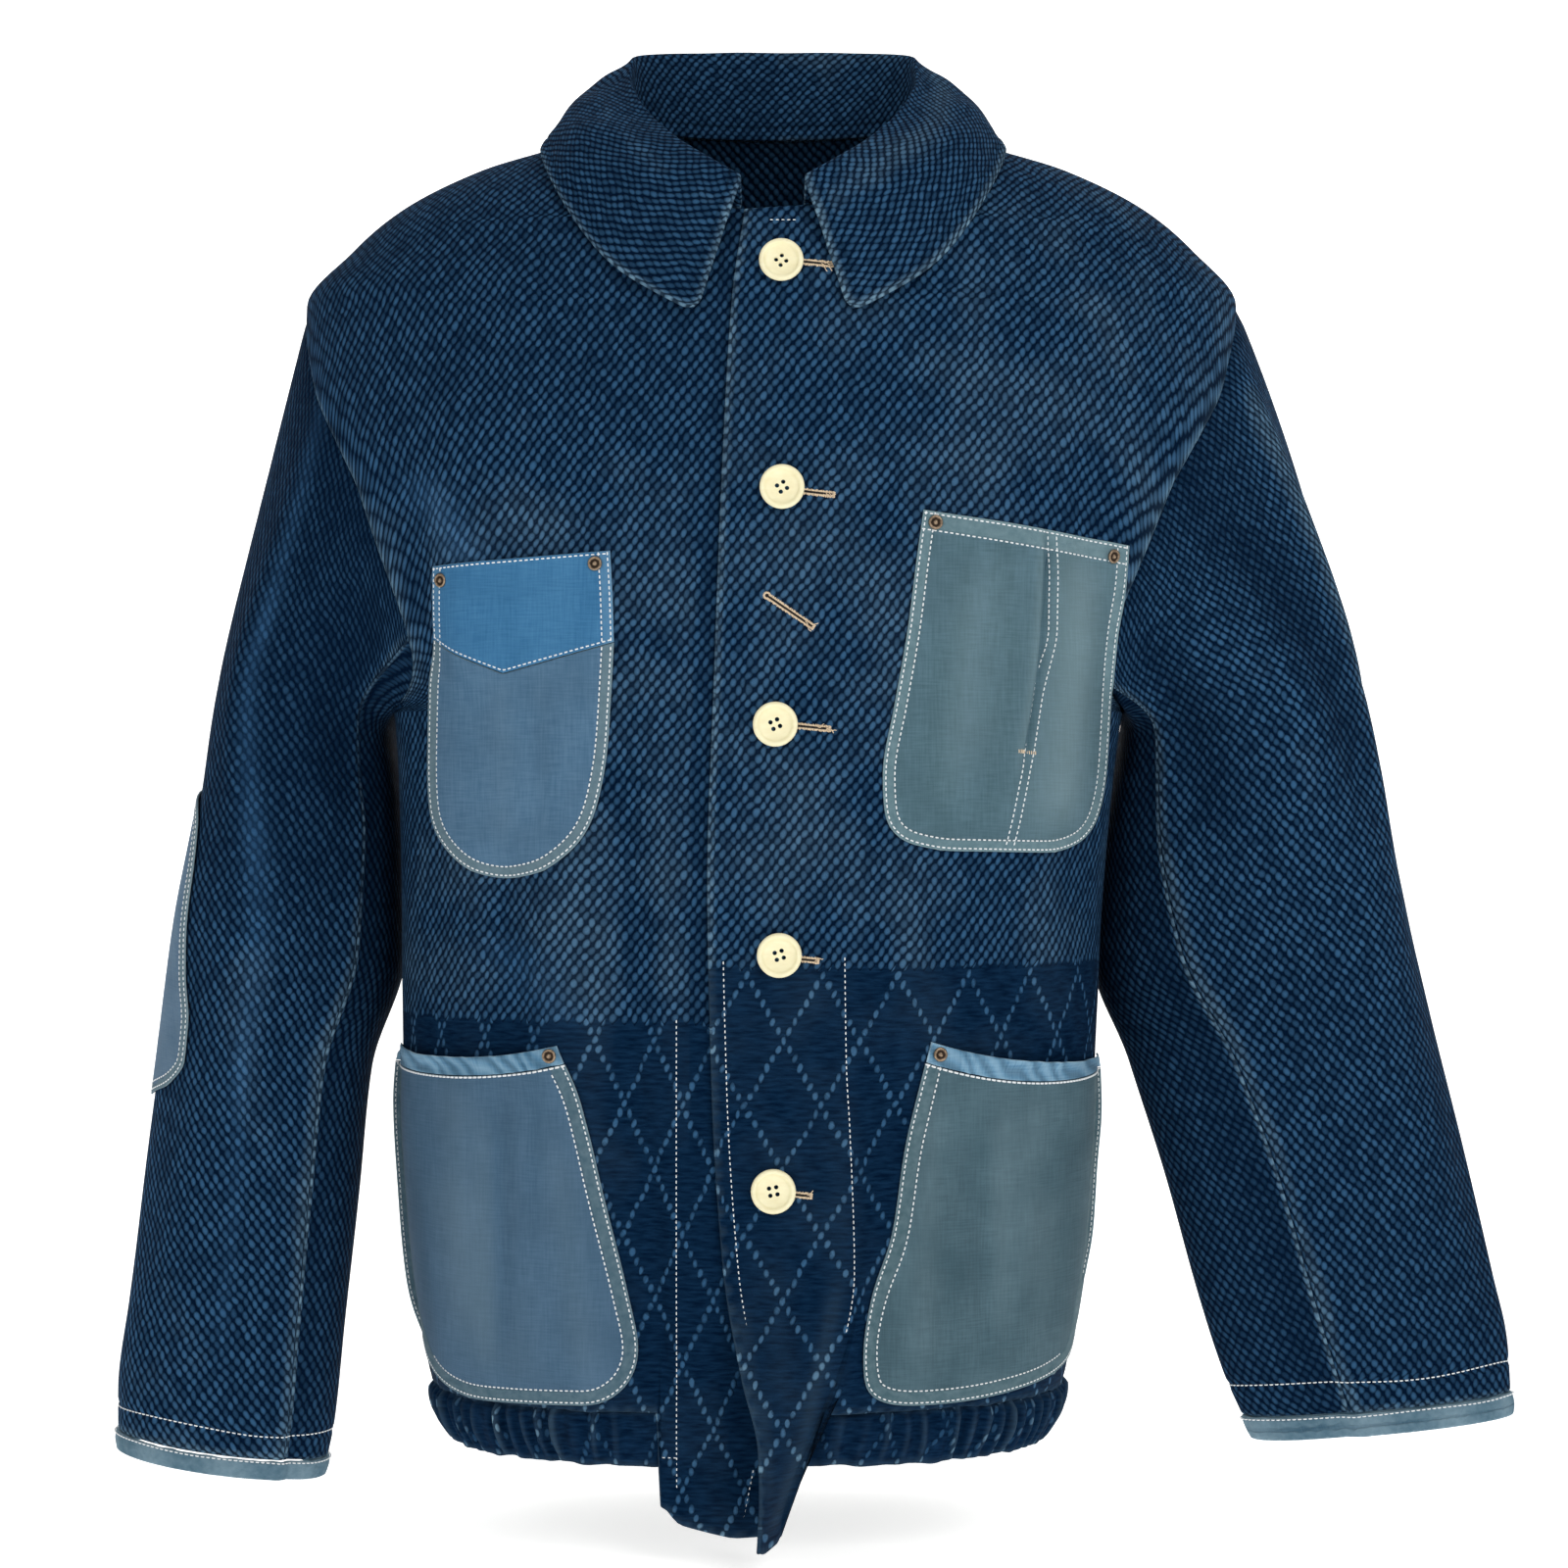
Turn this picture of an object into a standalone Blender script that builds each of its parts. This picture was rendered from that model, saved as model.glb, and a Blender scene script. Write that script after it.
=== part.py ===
"""Work jacket cut from rice-stitch sashiko cloth, in the hollow shape that it takes when it is worn.

Metres, +Z up. The front faces -Y and +X is the wearer's left. The origin is at the height of the
shoulder line beside the neck, midway between the side seams. Heights below it are negative.
Every cloth piece is a wall: an outer grid of points, the same grid moved in by the cloth's
thickness, and a rim that joins the two.
"""

import math

import bmesh
import bpy
import numpy as np

# Cloth and gaps
SASHIKO = 0.0022
CHAMBRAY = 0.0010
COLLAR_CLOTH = 0.0024
SEAM_GAP = 0.0003
LAY_GAP = 0.0005

# Heights of the body's seams
CASING_TOP = -0.661
HEM = -0.687
UNDERARM = -0.315
SHOULDER_TIP = -0.103
NECK_POINT = -0.004

# Front fastening
OVERLAP_LIFT = SASHIKO + 0.0010
OVERLAP_END = 0.046
OVERLAP_FADE = 0.030
BUTTON_RADIUS = 0.011
RIVET_RADIUS = 0.0036

# Hem casing
GATHERS = 88
GATHER_DEPTH = 0.0018

# Sleeves. Columns count round a sleeve from the shoulder tip, down the front to the underarm, and
# up the back. The under sleeve lies between the columns of the front and the back seam.
ARMHOLE_ROWS = 8
ROUND_SLEEVE = 2 * ARMHOLE_ROWS
BINDING_HEIGHT = 0.011
BINDING_EXTRA = 0.0006
SLEEVE_LENGTH = 0.60
BACK_SEAM_DEGREES = 245.0
BACK_SEAM_COLUMN = 11
SEAM_COLUMNS = 0.009


def table(columns, *rows):
    """A dict of one array for each named column."""
    return dict(zip(columns.split(), np.array(rows, float).T))


# Horizontal sections of the body, low to high: half width at the side, reach of the front and the
# back from the middle, sideways lean, and how square the section is (2 is an ellipse).
BODY = table(
    "height half_width front back lean power",
    (-0.735, 0.1450, 0.1180, 0.098, -0.0010, 2.5),
    (-0.687, 0.1560, 0.1200, 0.104, -0.0010, 2.5),
    (-0.675, 0.1605, 0.1240, 0.109, -0.0010, 2.5),
    (-0.661, 0.1640, 0.1262, 0.112, -0.0010, 2.5),
    (-0.630, 0.1695, 0.1290, 0.115, -0.0010, 2.5),
    (-0.590, 0.1745, 0.1290, 0.115, -0.0010, 2.5),
    (-0.540, 0.1785, 0.1280, 0.112, -0.0010, 2.5),
    (-0.460, 0.1812, 0.1260, 0.109, 0.0000, 2.5),
    (-0.380, 0.1845, 0.1280, 0.112, 0.0020, 2.5),
    (-0.315, 0.1900, 0.1290, 0.117, 0.0040, 2.4),
    (-0.267, 0.2110, 0.1290, 0.119, 0.0055, 2.35),
    (-0.205, 0.2330, 0.1270, 0.119, 0.0075, 2.3),
    (-0.150, 0.2430, 0.1220, 0.115, 0.0095, 2.2),
    (-0.103, 0.2430, 0.1150, 0.108, 0.0110, 2.1),
    (-0.0745, 0.2200, 0.1080, 0.101, 0.0120, 2.0),
    (-0.054, 0.1960, 0.0950, 0.094, 0.0120, 2.0),
    (-0.0334, 0.1560, 0.0740, 0.083, 0.0120, 2.0),
    (-0.0206, 0.1160, 0.0550, 0.074, 0.0120, 2.0),
    (-0.0125, 0.0960, 0.0380, 0.067, 0.0120, 2.0),
    (-0.004, 0.0790, 0.0120, 0.058, 0.0120, 2.0),
)

# Where the armhole seam cuts each section, as a share of its half width.
ARMHOLE = table(
    "height front back",
    (-0.315, 1.000, 1.000),
    (-0.309, 0.955, 0.975),
    (-0.298, 0.905, 0.945),
    (-0.285, 0.873, 0.925),
    (-0.267, 0.858, 0.915),
    (-0.233, 0.865, 0.915),
    (-0.205, 0.878, 0.925),
    (-0.187, 0.900, 0.935),
    (-0.170, 0.925, 0.950),
    (-0.150, 0.957, 0.970),
    (-0.125, 0.985, 0.988),
    (-0.103, 1.000, 1.000),
)

# Front neckline: its distance from the leaning centre line at each row of the fronts above the
# top edge. The first row is the top edge itself, and the collar starts at the second.
NECKLINE = table(
    "height out",
    (-0.0690, -0.200),
    (-0.0668, 0.0165),
    (-0.0610, 0.0365),
    (-0.0520, 0.0510),
    (-0.0400, 0.0640),
    (-0.0270, 0.0715),
    (-0.0150, 0.0757),
    (-0.0040, 0.0780),
)

# Front edge of each front in its own direction outwards, the line where its facing ends, and how
# far the free end below the hem swings out. The left front lies on top.
EDGE_LEFT = table(
    "height edge facing swing",
    (-0.730, 0.0110, 0.0200, 0.042),
    (-0.690, 0.0065, 0.0300, 0.032),
    (-0.640, -0.0040, 0.0480, 0.014),
    (-0.590, -0.0122, 0.0520, 0.000),
    (-0.500, -0.0180, 0.0500, 0.000),
    (-0.400, -0.0200, 0.0490, 0.000),
    (-0.300, -0.0167, 0.0490, 0.000),
    (-0.200, -0.0129, 0.0490, 0.000),
    (-0.112, -0.0080, 0.0500, 0.000),
    (-0.071, -0.0023, 0.0520, 0.000),
)
EDGE_RIGHT = table(
    "height edge facing swing",
    (-0.730, -0.0070, 0.0420, 0.006),
    (-0.690, -0.0140, 0.0430, 0.003),
    (-0.640, -0.0240, 0.0420, 0.000),
    (-0.590, -0.0330, 0.0380, 0.000),
    (-0.300, -0.0330, 0.0350, 0.000),
    (-0.071, -0.0330, 0.0350, 0.000),
)

# Soft folds in the body: the ends of each fold's line, its width and its depth. Positive faces out.
FRONT_FOLDS = (
    # (top x, top z), (low x, low z), width, depth
    ((-0.150, -0.160), (-0.140, -0.300), 0.022, 0.0040),
    ((-0.172, -0.290), (-0.160, -0.440), 0.016, -0.0045),
    ((-0.090, -0.380), (-0.098, -0.500), 0.018, 0.0045),
    ((-0.062, -0.480), (-0.045, -0.660), 0.013, -0.0050),
    ((0.160, -0.280), (0.172, -0.440), 0.016, -0.0045),
    ((0.062, -0.380), (0.066, -0.500), 0.016, 0.0040),
    ((0.070, -0.490), (0.056, -0.650), 0.012, -0.0045),
    ((0.130, -0.120), (0.120, -0.240), 0.024, 0.0030),
)
BACK_FOLDS = (
    ((-0.110, -0.200), (-0.090, -0.640), 0.022, 0.0050),
    ((-0.050, -0.420), (-0.045, -0.670), 0.016, -0.0040),
    ((0.035, -0.380), (0.045, -0.670), 0.018, 0.0045),
    ((0.115, -0.220), (0.095, -0.640), 0.022, 0.0050),
)

# Sections of each sleeve, shoulder to cuff, seen from the front: its outer and inner ends, the
# middle of its depth and half its depth.
SLEEVE_RIGHT = table(
    "along outer_x outer_z inner_x inner_z middle depth",
    (0.22, -0.2764, -0.3006, -0.1900, -0.3260, 0.002, 0.070),
    (0.33, -0.2867, -0.3623, -0.1882, -0.3777, 0.002, 0.069),
    (0.45, -0.2990, -0.4239, -0.1880, -0.4419, 0.000, 0.067),
    (0.58, -0.3073, -0.4856, -0.1990, -0.5010, -0.003, 0.063),
    (0.71, -0.3155, -0.5524, -0.2045, -0.5652, -0.008, 0.057),
    (0.84, -0.3227, -0.6192, -0.2112, -0.6320, -0.014, 0.050),
    (0.94, -0.3278, -0.6654, -0.2158, -0.6808, -0.018, 0.045),
    (1.00, -0.3273, -0.6952, -0.2214, -0.7101, -0.020, 0.041),
)
SLEEVE_LEFT = table(
    "along outer_x outer_z inner_x inner_z middle depth",
    (0.22, 0.3145, -0.3006, 0.1975, -0.3280, 0.002, 0.068),
    (0.33, 0.3283, -0.3571, 0.1925, -0.3828, 0.002, 0.062),
    (0.45, 0.3443, -0.4188, 0.1890, -0.4471, 0.000, 0.056),
    (0.58, 0.3586, -0.4805, 0.1988, -0.4984, -0.003, 0.050),
    (0.71, 0.3730, -0.5421, 0.2163, -0.5550, -0.007, 0.043),
    (0.84, 0.3869, -0.6063, 0.2338, -0.6192, -0.011, 0.036),
    (0.94, 0.3941, -0.6449, 0.2461, -0.6577, -0.014, 0.030),
    (1.00, 0.3956, -0.6793, 0.2615, -0.6921, -0.016, 0.026),
)

# Front seam of each sleeve, in degrees round it from its outer side through the front.
SEAM_RIGHT = table("along degrees", (0.22, 136), (0.45, 131), (0.71, 131), (1.0, 133))
SEAM_LEFT = table("along degrees", (0.22, 140), (0.45, 118), (0.71, 109), (1.0, 105))
FRONT_SEAM_COLUMN = {-1: 6, 1: 7}
# How far the head of each sleeve swells out beside the shoulder.
SLEEVE_HEAD = {-1: 0.001, 1: 0.006}
# How square the sleeve's sections are, from the top ring to where they are plain ovals.
SLEEVE_SQUARE = ((0.22, 0.60), (2.8, 2.0))

# The patch over the right elbow: its two edges, in degrees round the sleeve.
ELBOW_PATCH = table(
    "along front back",
    (0.315, -8, -58),
    (0.328, 11, -74),
    (0.350, 20, -84),
    (0.400, 24, -91),
    (0.450, 25, -94),
    (0.500, 28, -94),
    (0.550, 38, -90),
    (0.590, 41, -80),
    (0.618, 28, -66),
    (0.635, 2, -46),
)

# Collar, from its front end to the centre back, on the wearer's left: the roll line that it turns
# over, where its outer edge lies on the body in degrees from the front and in height, and how much
# the fall swells between the two.
COLLAR_CENTRE = 0.0120
COLLAR = table(
    "along roll_x roll_y roll_z edge_turn edge_z swell",
    (0.00, 0.0155, -0.1130, -0.0520, 7.6, -0.1225, 0.001),
    (0.12, 0.0300, -0.1020, -0.0420, 13.8, -0.1085, 0.004),
    (0.27, 0.0470, -0.0800, -0.0280, 22.6, -0.0850, 0.008),
    (0.42, 0.0640, -0.0460, -0.0080, 35.0, -0.0520, 0.012),
    (0.50, 0.0710, -0.0260, 0.0050, 48.0, -0.0360, 0.010),
    (0.57, 0.0750, -0.0050, 0.0170, 64.0, -0.0275, 0.010),
    (0.67, 0.0740, 0.0190, 0.0320, 93.0, -0.0218, 0.009),
    (0.80, 0.0560, 0.0480, 0.0400, 130.0, -0.0195, 0.009),
    (0.90, 0.0310, 0.0610, 0.0430, 155.0, -0.0190, 0.009),
    (1.00, 0.0000, 0.0650, 0.0440, 180.0, -0.0190, 0.009),
)
ROLL_WIDTH = 0.0055

# Buttons down the left front: their place across and their height.
BUTTONS = table(
    "x height",
    (0.0161, -0.0955),
    (0.0165, -0.2072),
    (0.0132, -0.3228),
    (0.0151, -0.4355),
    (0.0122, -0.5508),
)

# Patch pockets, from their top row down: the end of each row nearer the right arm, its end nearer
# the left arm, and how far the middle of the row sags.
POCKET_COLUMNS = "first_x first_z last_x last_z sag"
CHEST_RIGHT_TOP = table(
    POCKET_COLUMNS,
    (-0.1565, -0.2438, -0.0675, -0.2377, 0.000),
    (-0.1578, -0.2616, -0.0663, -0.2600, 0.007),
    (-0.1588, -0.2800, -0.0656, -0.2824, 0.016),
)
CHEST_RIGHT = table(
    POCKET_COLUMNS,
    (-0.1588, -0.2803, -0.0656, -0.2827, 0.016),
    (-0.1606, -0.3125, -0.0670, -0.3088, 0.010),
    (-0.1613, -0.3471, -0.0690, -0.3352, 0.008),
    (-0.1596, -0.3693, -0.0743, -0.3640, 0.008),
    (-0.1519, -0.3839, -0.0825, -0.3818, 0.008),
    (-0.1386, -0.3959, -0.0981, -0.3953, 0.004),
)
CHEST_LEFT = table(
    POCKET_COLUMNS,
    (0.0857, -0.2175, 0.1900, -0.2325, 0.000),
    (0.0823, -0.2415, 0.1888, -0.2536, 0.000),
    (0.0780, -0.2752, 0.1840, -0.2828, 0.000),
    (0.0713, -0.3136, 0.1826, -0.3171, 0.000),
    (0.0655, -0.3472, 0.1809, -0.3470, 0.000),
    (0.0669, -0.3688, 0.1758, -0.3694, 0.000),
    (0.0751, -0.3799, 0.1657, -0.3816, 0.000),
    (0.0946, -0.3848, 0.1523, -0.3863, 0.000),
)
HIP_RIGHT_BAND = table(
    POCKET_COLUMNS,
    (-0.1790, -0.4825, -0.0922, -0.4805, 0.0067),
    (-0.1840, -0.4958, -0.0890, -0.4892, 0.0045),
)
HIP_RIGHT = table(
    POCKET_COLUMNS,
    (-0.1840, -0.4961, -0.0887, -0.4895, 0.0045),
    (-0.1854, -0.5143, -0.0831, -0.5041, 0.0020),
    (-0.1829, -0.5632, -0.0705, -0.5558, 0.0000),
    (-0.1782, -0.6125, -0.0584, -0.6048, 0.0000),
    (-0.1661, -0.6457, -0.0536, -0.6308, 0.0020),
    (-0.1541, -0.6555, -0.0594, -0.6471, 0.0040),
    (-0.1396, -0.6596, -0.0730, -0.6571, 0.0000),
)
HIP_LEFT_BAND = table(
    POCKET_COLUMNS,
    (0.0888, -0.4788, 0.1800, -0.4895, 0.0057),
    (0.0869, -0.4888, 0.1815, -0.4994, 0.0055),
)
HIP_LEFT = table(
    POCKET_COLUMNS,
    (0.0866, -0.4891, 0.1815, -0.4997, 0.0055),
    (0.0825, -0.5061, 0.1822, -0.5213, 0.0020),
    (0.0767, -0.5316, 0.1800, -0.5487, 0.0000),
    (0.0704, -0.5742, 0.1775, -0.5864, 0.0000),
    (0.0598, -0.6050, 0.1735, -0.6076, 0.0000),
    (0.0555, -0.6309, 0.1690, -0.6339, 0.0000),
    (0.0574, -0.6501, 0.1659, -0.6440, 0.0000),
    (0.0700, -0.6570, 0.1536, -0.6505, 0.0030),
)

# Rivets at the pockets' upper corners: place across, height and the pocket they hold.
RIVETS = (
    ("rivet_chest_right_outer", -0.1505, -0.2508, "chest_pocket_right_top"),
    ("rivet_chest_right_inner", -0.0748, -0.2440, "chest_pocket_right_top"),
    ("rivet_chest_left_inner", 0.0915, -0.2238, "chest_pocket_left"),
    ("rivet_chest_left_outer", 0.1820, -0.2382, "chest_pocket_left"),
    ("rivet_hip_right", -0.0955, -0.4855, "hip_pocket_right_band"),
    ("rivet_hip_left", 0.0935, -0.4850, "hip_pocket_left_band"),
)


def smooth(at, xs, ys):
    """A cubic through the rows that never overshoots them, held level past both ends."""
    at = np.clip(np.asarray(at, float), xs[0], xs[-1])
    ys = np.asarray(ys, float)
    extra = (1,) * (ys.ndim - 1)
    step = np.diff(xs).reshape((-1,) + extra)
    slope = np.diff(ys, axis=0) / step
    product = slope[:-1] * slope[1:]
    total = slope[:-1] + slope[1:]
    inner = np.where(product > 0, 2 * product / np.where(total == 0, 1, total), 0)
    tangent = np.concatenate([slope[:1], inner, slope[-1:]])
    row = np.clip(np.searchsorted(xs, at, side="right") - 1, 0, len(xs) - 2)
    u = ((at - xs[row]) / np.diff(xs)[row]).reshape(at.shape + extra)
    low, high, width = ys[row], ys[row + 1], step[row]
    return (
        low * (2 * u**3 - 3 * u**2 + 1)
        + high * (3 * u**2 - 2 * u**3)
        + tangent[row] * width * (u**3 - 2 * u**2 + u)
        + tangent[row + 1] * width * (u**3 - u**2)
    )


def read(rows, column, at):
    """A column of a table at any value of its first column."""
    return smooth(at, next(iter(rows.values())), rows[column])


def ease(x):
    """0 below 0, 1 above 1, and smooth between."""
    x = np.clip(x, 0, 1)
    return x * x * (3 - 2 * x)


def unit(v):
    return v / np.linalg.norm(v, axis=-1, keepdims=True)


def fold_height(folds, x, z):
    """How far the folds move the cloth out at a place across and a height."""
    moved = np.zeros(np.broadcast(x, z).shape)
    for (top_x, top_z), (low_x, low_z), width, depth in folds:
        down = (top_z - z) / (top_z - low_z)
        line = top_x + (low_x - top_x) * np.clip(down, 0, 1)
        ends = ease(down / 0.3 + 0.5) * ease((1 - down) / 0.3 + 0.5)
        moved += depth * ends * np.exp(-(((x - line) / width) ** 2))
    return moved


def body(height, angle):
    """The body's outer surface. The angle is 0 at the centre front, 90 degrees at the left side."""
    height, angle = np.broadcast_arrays(np.asarray(height, float), np.asarray(angle, float))
    share = 2 / read(BODY, "power", height)
    across, along = np.sin(angle), np.cos(angle)
    reach = np.where(along > 0, read(BODY, "front", height), read(BODY, "back", height))
    x = read(BODY, "half_width", height) * np.sign(across) * np.abs(across) ** share
    y = -reach * np.sign(along) * np.abs(along) ** share
    out = np.where(
        along > 0,
        fold_height(FRONT_FOLDS, x, height),
        fold_height(BACK_FOLDS, x, height),
    ) * np.abs(along) ** 0.5
    return np.stack(
        [x + read(BODY, "lean", height) + out * across, y - out * along, height], axis=-1
    )


def body_normal(height, angle):
    """The body's outward unit normal, from small steps along its surface."""
    step_angle, step_height = 1e-3, 5e-4
    round_it = body(height, angle + step_angle) - body(height, angle - step_angle)
    up_it = body(height, angle) - body(height - step_height, angle)
    return unit(np.cross(round_it, up_it))


def angle_at(height, x, back=False):
    """The angle whose point lies at x, measured across from the leaning centre line."""
    share = np.clip(np.abs(x) / read(BODY, "half_width", height), 0, 1)
    angle = np.arcsin(share ** (read(BODY, "power", height) / 2)) * np.sign(x)
    return math.pi - angle if back else angle


def side_angle(height, which):
    """The angle of a panel's outer seam: the armhole, or half a seam's gap from the side line."""
    power = read(BODY, "power", height)
    reach = np.maximum(read(BODY, which, height), 0.01)
    seam = np.arccos((SEAM_GAP / 2 / reach) ** (power / 2))
    armhole = np.arcsin(np.clip(read(ARMHOLE, which, height), 0, 1) ** (power / 2))
    return np.minimum(seam, armhole)


def on_body(height, angle, out):
    """A point that lies a distance out from the body's surface."""
    return body(height, angle) + body_normal(height, angle) * np.asarray(out)[..., None]


def make_object(name, points, faces, colour, roughness, metallic=0.0):
    """A closed mesh object with its own material, its faces turned outwards."""
    mesh = bpy.data.meshes.new(name)
    mesh.from_pydata([tuple(p) for p in points], [], faces)
    shell = bmesh.new()
    shell.from_mesh(mesh)
    bmesh.ops.recalc_face_normals(shell, faces=shell.faces)
    shell.to_mesh(mesh)
    shell.free()
    mesh.shade_smooth()
    mesh.set_sharp_from_angle(angle=math.radians(50))
    material = bpy.data.materials.new(name)
    material.use_nodes = True
    surface = material.node_tree.nodes["Principled BSDF"]
    surface.inputs["Base Color"].default_value = (*colour, 1)
    surface.inputs["Roughness"].default_value = roughness
    surface.inputs["Metallic"].default_value = metallic
    mesh.materials.append(material)
    obj = bpy.data.objects.new(name, mesh)
    bpy.context.scene.collection.objects.link(obj)
    return obj


def crossings(outer):
    """For each cell of a grid, whether its first corner's diagonal is the shorter one."""
    first = np.linalg.norm(outer[1:, 1:] - outer[:-1, :-1], axis=-1)
    second = np.linalg.norm(outer[1:, :-1] - outer[:-1, 1:], axis=-1)
    return first <= second


def wall(name, outer, inner, cloth, closed=False):
    """A solid between two grids of points, rows by columns. Closed grids meet round the columns.

    Both grids are cut along the same diagonals, so the wall keeps its thickness.
    """
    rows, columns = outer.shape[:2]
    count = rows * columns
    spans = columns if closed else columns - 1
    around = np.concatenate([outer, outer[:, :1]], axis=1) if closed else outer
    first = crossings(around)
    faces = []
    for i in range(rows - 1):
        for j in range(spans):
            k = (j + 1) % columns
            a, b = i * columns + j, i * columns + k
            c, d = (i + 1) * columns + k, (i + 1) * columns + j
            pair = ((a, b, c), (a, c, d)) if first[i, j] else ((a, b, d), (b, c, d))
            for one in pair:
                faces.append(one)
                faces.append(tuple(v + count for v in reversed(one)))
    rims = [(i * columns + j, i * columns + (j + 1) % columns) for i in (0, rows - 1) for j in range(spans)]
    if not closed:
        rims += [(i * columns + j, (i + 1) * columns + j) for j in (0, columns - 1) for i in range(rows - 1)]
    for a, b in rims:
        faces.append((a, b, b + count))
        faces.append((a, b + count, a + count))
    points = np.concatenate([outer.reshape(-1, 3), inner.reshape(-1, 3)])
    return make_object(name, points, faces, *cloth)


RICE_CLOTH = ((0.020, 0.075, 0.155), 0.9)
GREY_CHAMBRAY = ((0.085, 0.150, 0.215), 0.9)
BRIGHT_CHAMBRAY = ((0.040, 0.165, 0.330), 0.9)
BINDING_CLOTH = ((0.060, 0.180, 0.290), 0.9)
BUTTON_HORN = ((0.86, 0.78, 0.56), 0.35)
RIVET_METAL = ((0.45, 0.36, 0.28), 0.4, 1.0)


def body_rows():
    """Heights of the rows of a body panel: even below the arm, closer along armhole and neck."""
    return np.concatenate([
        np.linspace(CASING_TOP, UNDERARM, 10),
        UNDERARM + (SHOULDER_TIP - UNDERARM) * (np.arange(1, ARMHOLE_ROWS + 1) / ARMHOLE_ROWS) ** 1.25,
        (SHOULDER_TIP * 0.5 + NECKLINE["height"][0] * 0.5,),
        NECKLINE["height"],
    ])


class Panel:
    """A cut piece's outer points in rows, with the row's and each point's own coordinate."""

    def __init__(self, rows, columns, outer, normals):
        self.rows = np.asarray(rows, float)
        self.columns = np.broadcast_to(columns, outer.shape[:2])
        self.values = np.concatenate([outer, normals], axis=2)
        self.first = crossings(outer)

    def at(self, row, column):
        """Points on the flat triangles of the panel, and unit normals."""
        row, column = np.broadcast_arrays(row, column)
        found = np.empty(row.shape + (6,))
        for place in np.ndindex(row.shape):
            i = int(np.clip(np.searchsorted(self.rows, row[place]) - 1, 0, len(self.rows) - 2))
            s = (row[place] - self.rows[i]) / (self.rows[i + 1] - self.rows[i])
            between = self.columns[i] * (1 - s) + self.columns[i + 1] * s
            j = int(np.clip(np.searchsorted(between, column[place]) - 1, 0, len(between) - 2))
            t = (column[place] - between[j]) / (between[j + 1] - between[j])
            low, next_low = self.values[i, j], self.values[i, j + 1]
            high, next_high = self.values[i + 1, j], self.values[i + 1, j + 1]
            if self.first[i, j]:
                if t >= s:
                    found[place] = low + t * (next_low - low) + s * (next_high - next_low)
                else:
                    found[place] = low + s * (high - low) + t * (next_high - high)
            elif s + t <= 1:
                found[place] = low + t * (next_low - low) + s * (high - low)
            else:
                found[place] = next_high + (1 - t) * (high - next_high) + (1 - s) * (next_low - next_high)
        return found[..., :3], unit(found[..., 3:])


def laid_on(panel, rows, columns, name, thickness, look):
    """A piece whose points are the panel's, moved out until every part of it clears the panel."""
    points, normals = panel.at(rows, columns)
    need = np.zeros(rows.shape)
    steps = np.linspace(0, 1, 5)
    for i in range(rows.shape[0] - 1):
        for j in range(rows.shape[1] - 1):
            block = (slice(i, i + 2), slice(j, j + 2))
            weights = np.stack([
                np.outer(1 - steps, 1 - steps), np.outer(1 - steps, steps),
                np.outer(steps, 1 - steps), np.outer(steps, steps),
            ]).reshape(4, 5, 5)

            def spread(values):
                flat = values.reshape(4, -1)
                return np.tensordot(weights, flat, axes=(0, 0)).reshape(5, 5, *values.shape[2:])

            under, _ = panel.at(spread(rows[block]), spread(columns[block]))
            over = spread(points[block])
            rise = np.max(np.sum((under - over) * spread(normals[block]), axis=-1))
            need[block] = np.maximum(need[block], rise)
    inner = points + normals * (need + LAY_GAP + 0.0006)[..., None]
    outer = inner + normals * thickness
    wall(name, outer, inner, look)
    return outer, normals


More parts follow.
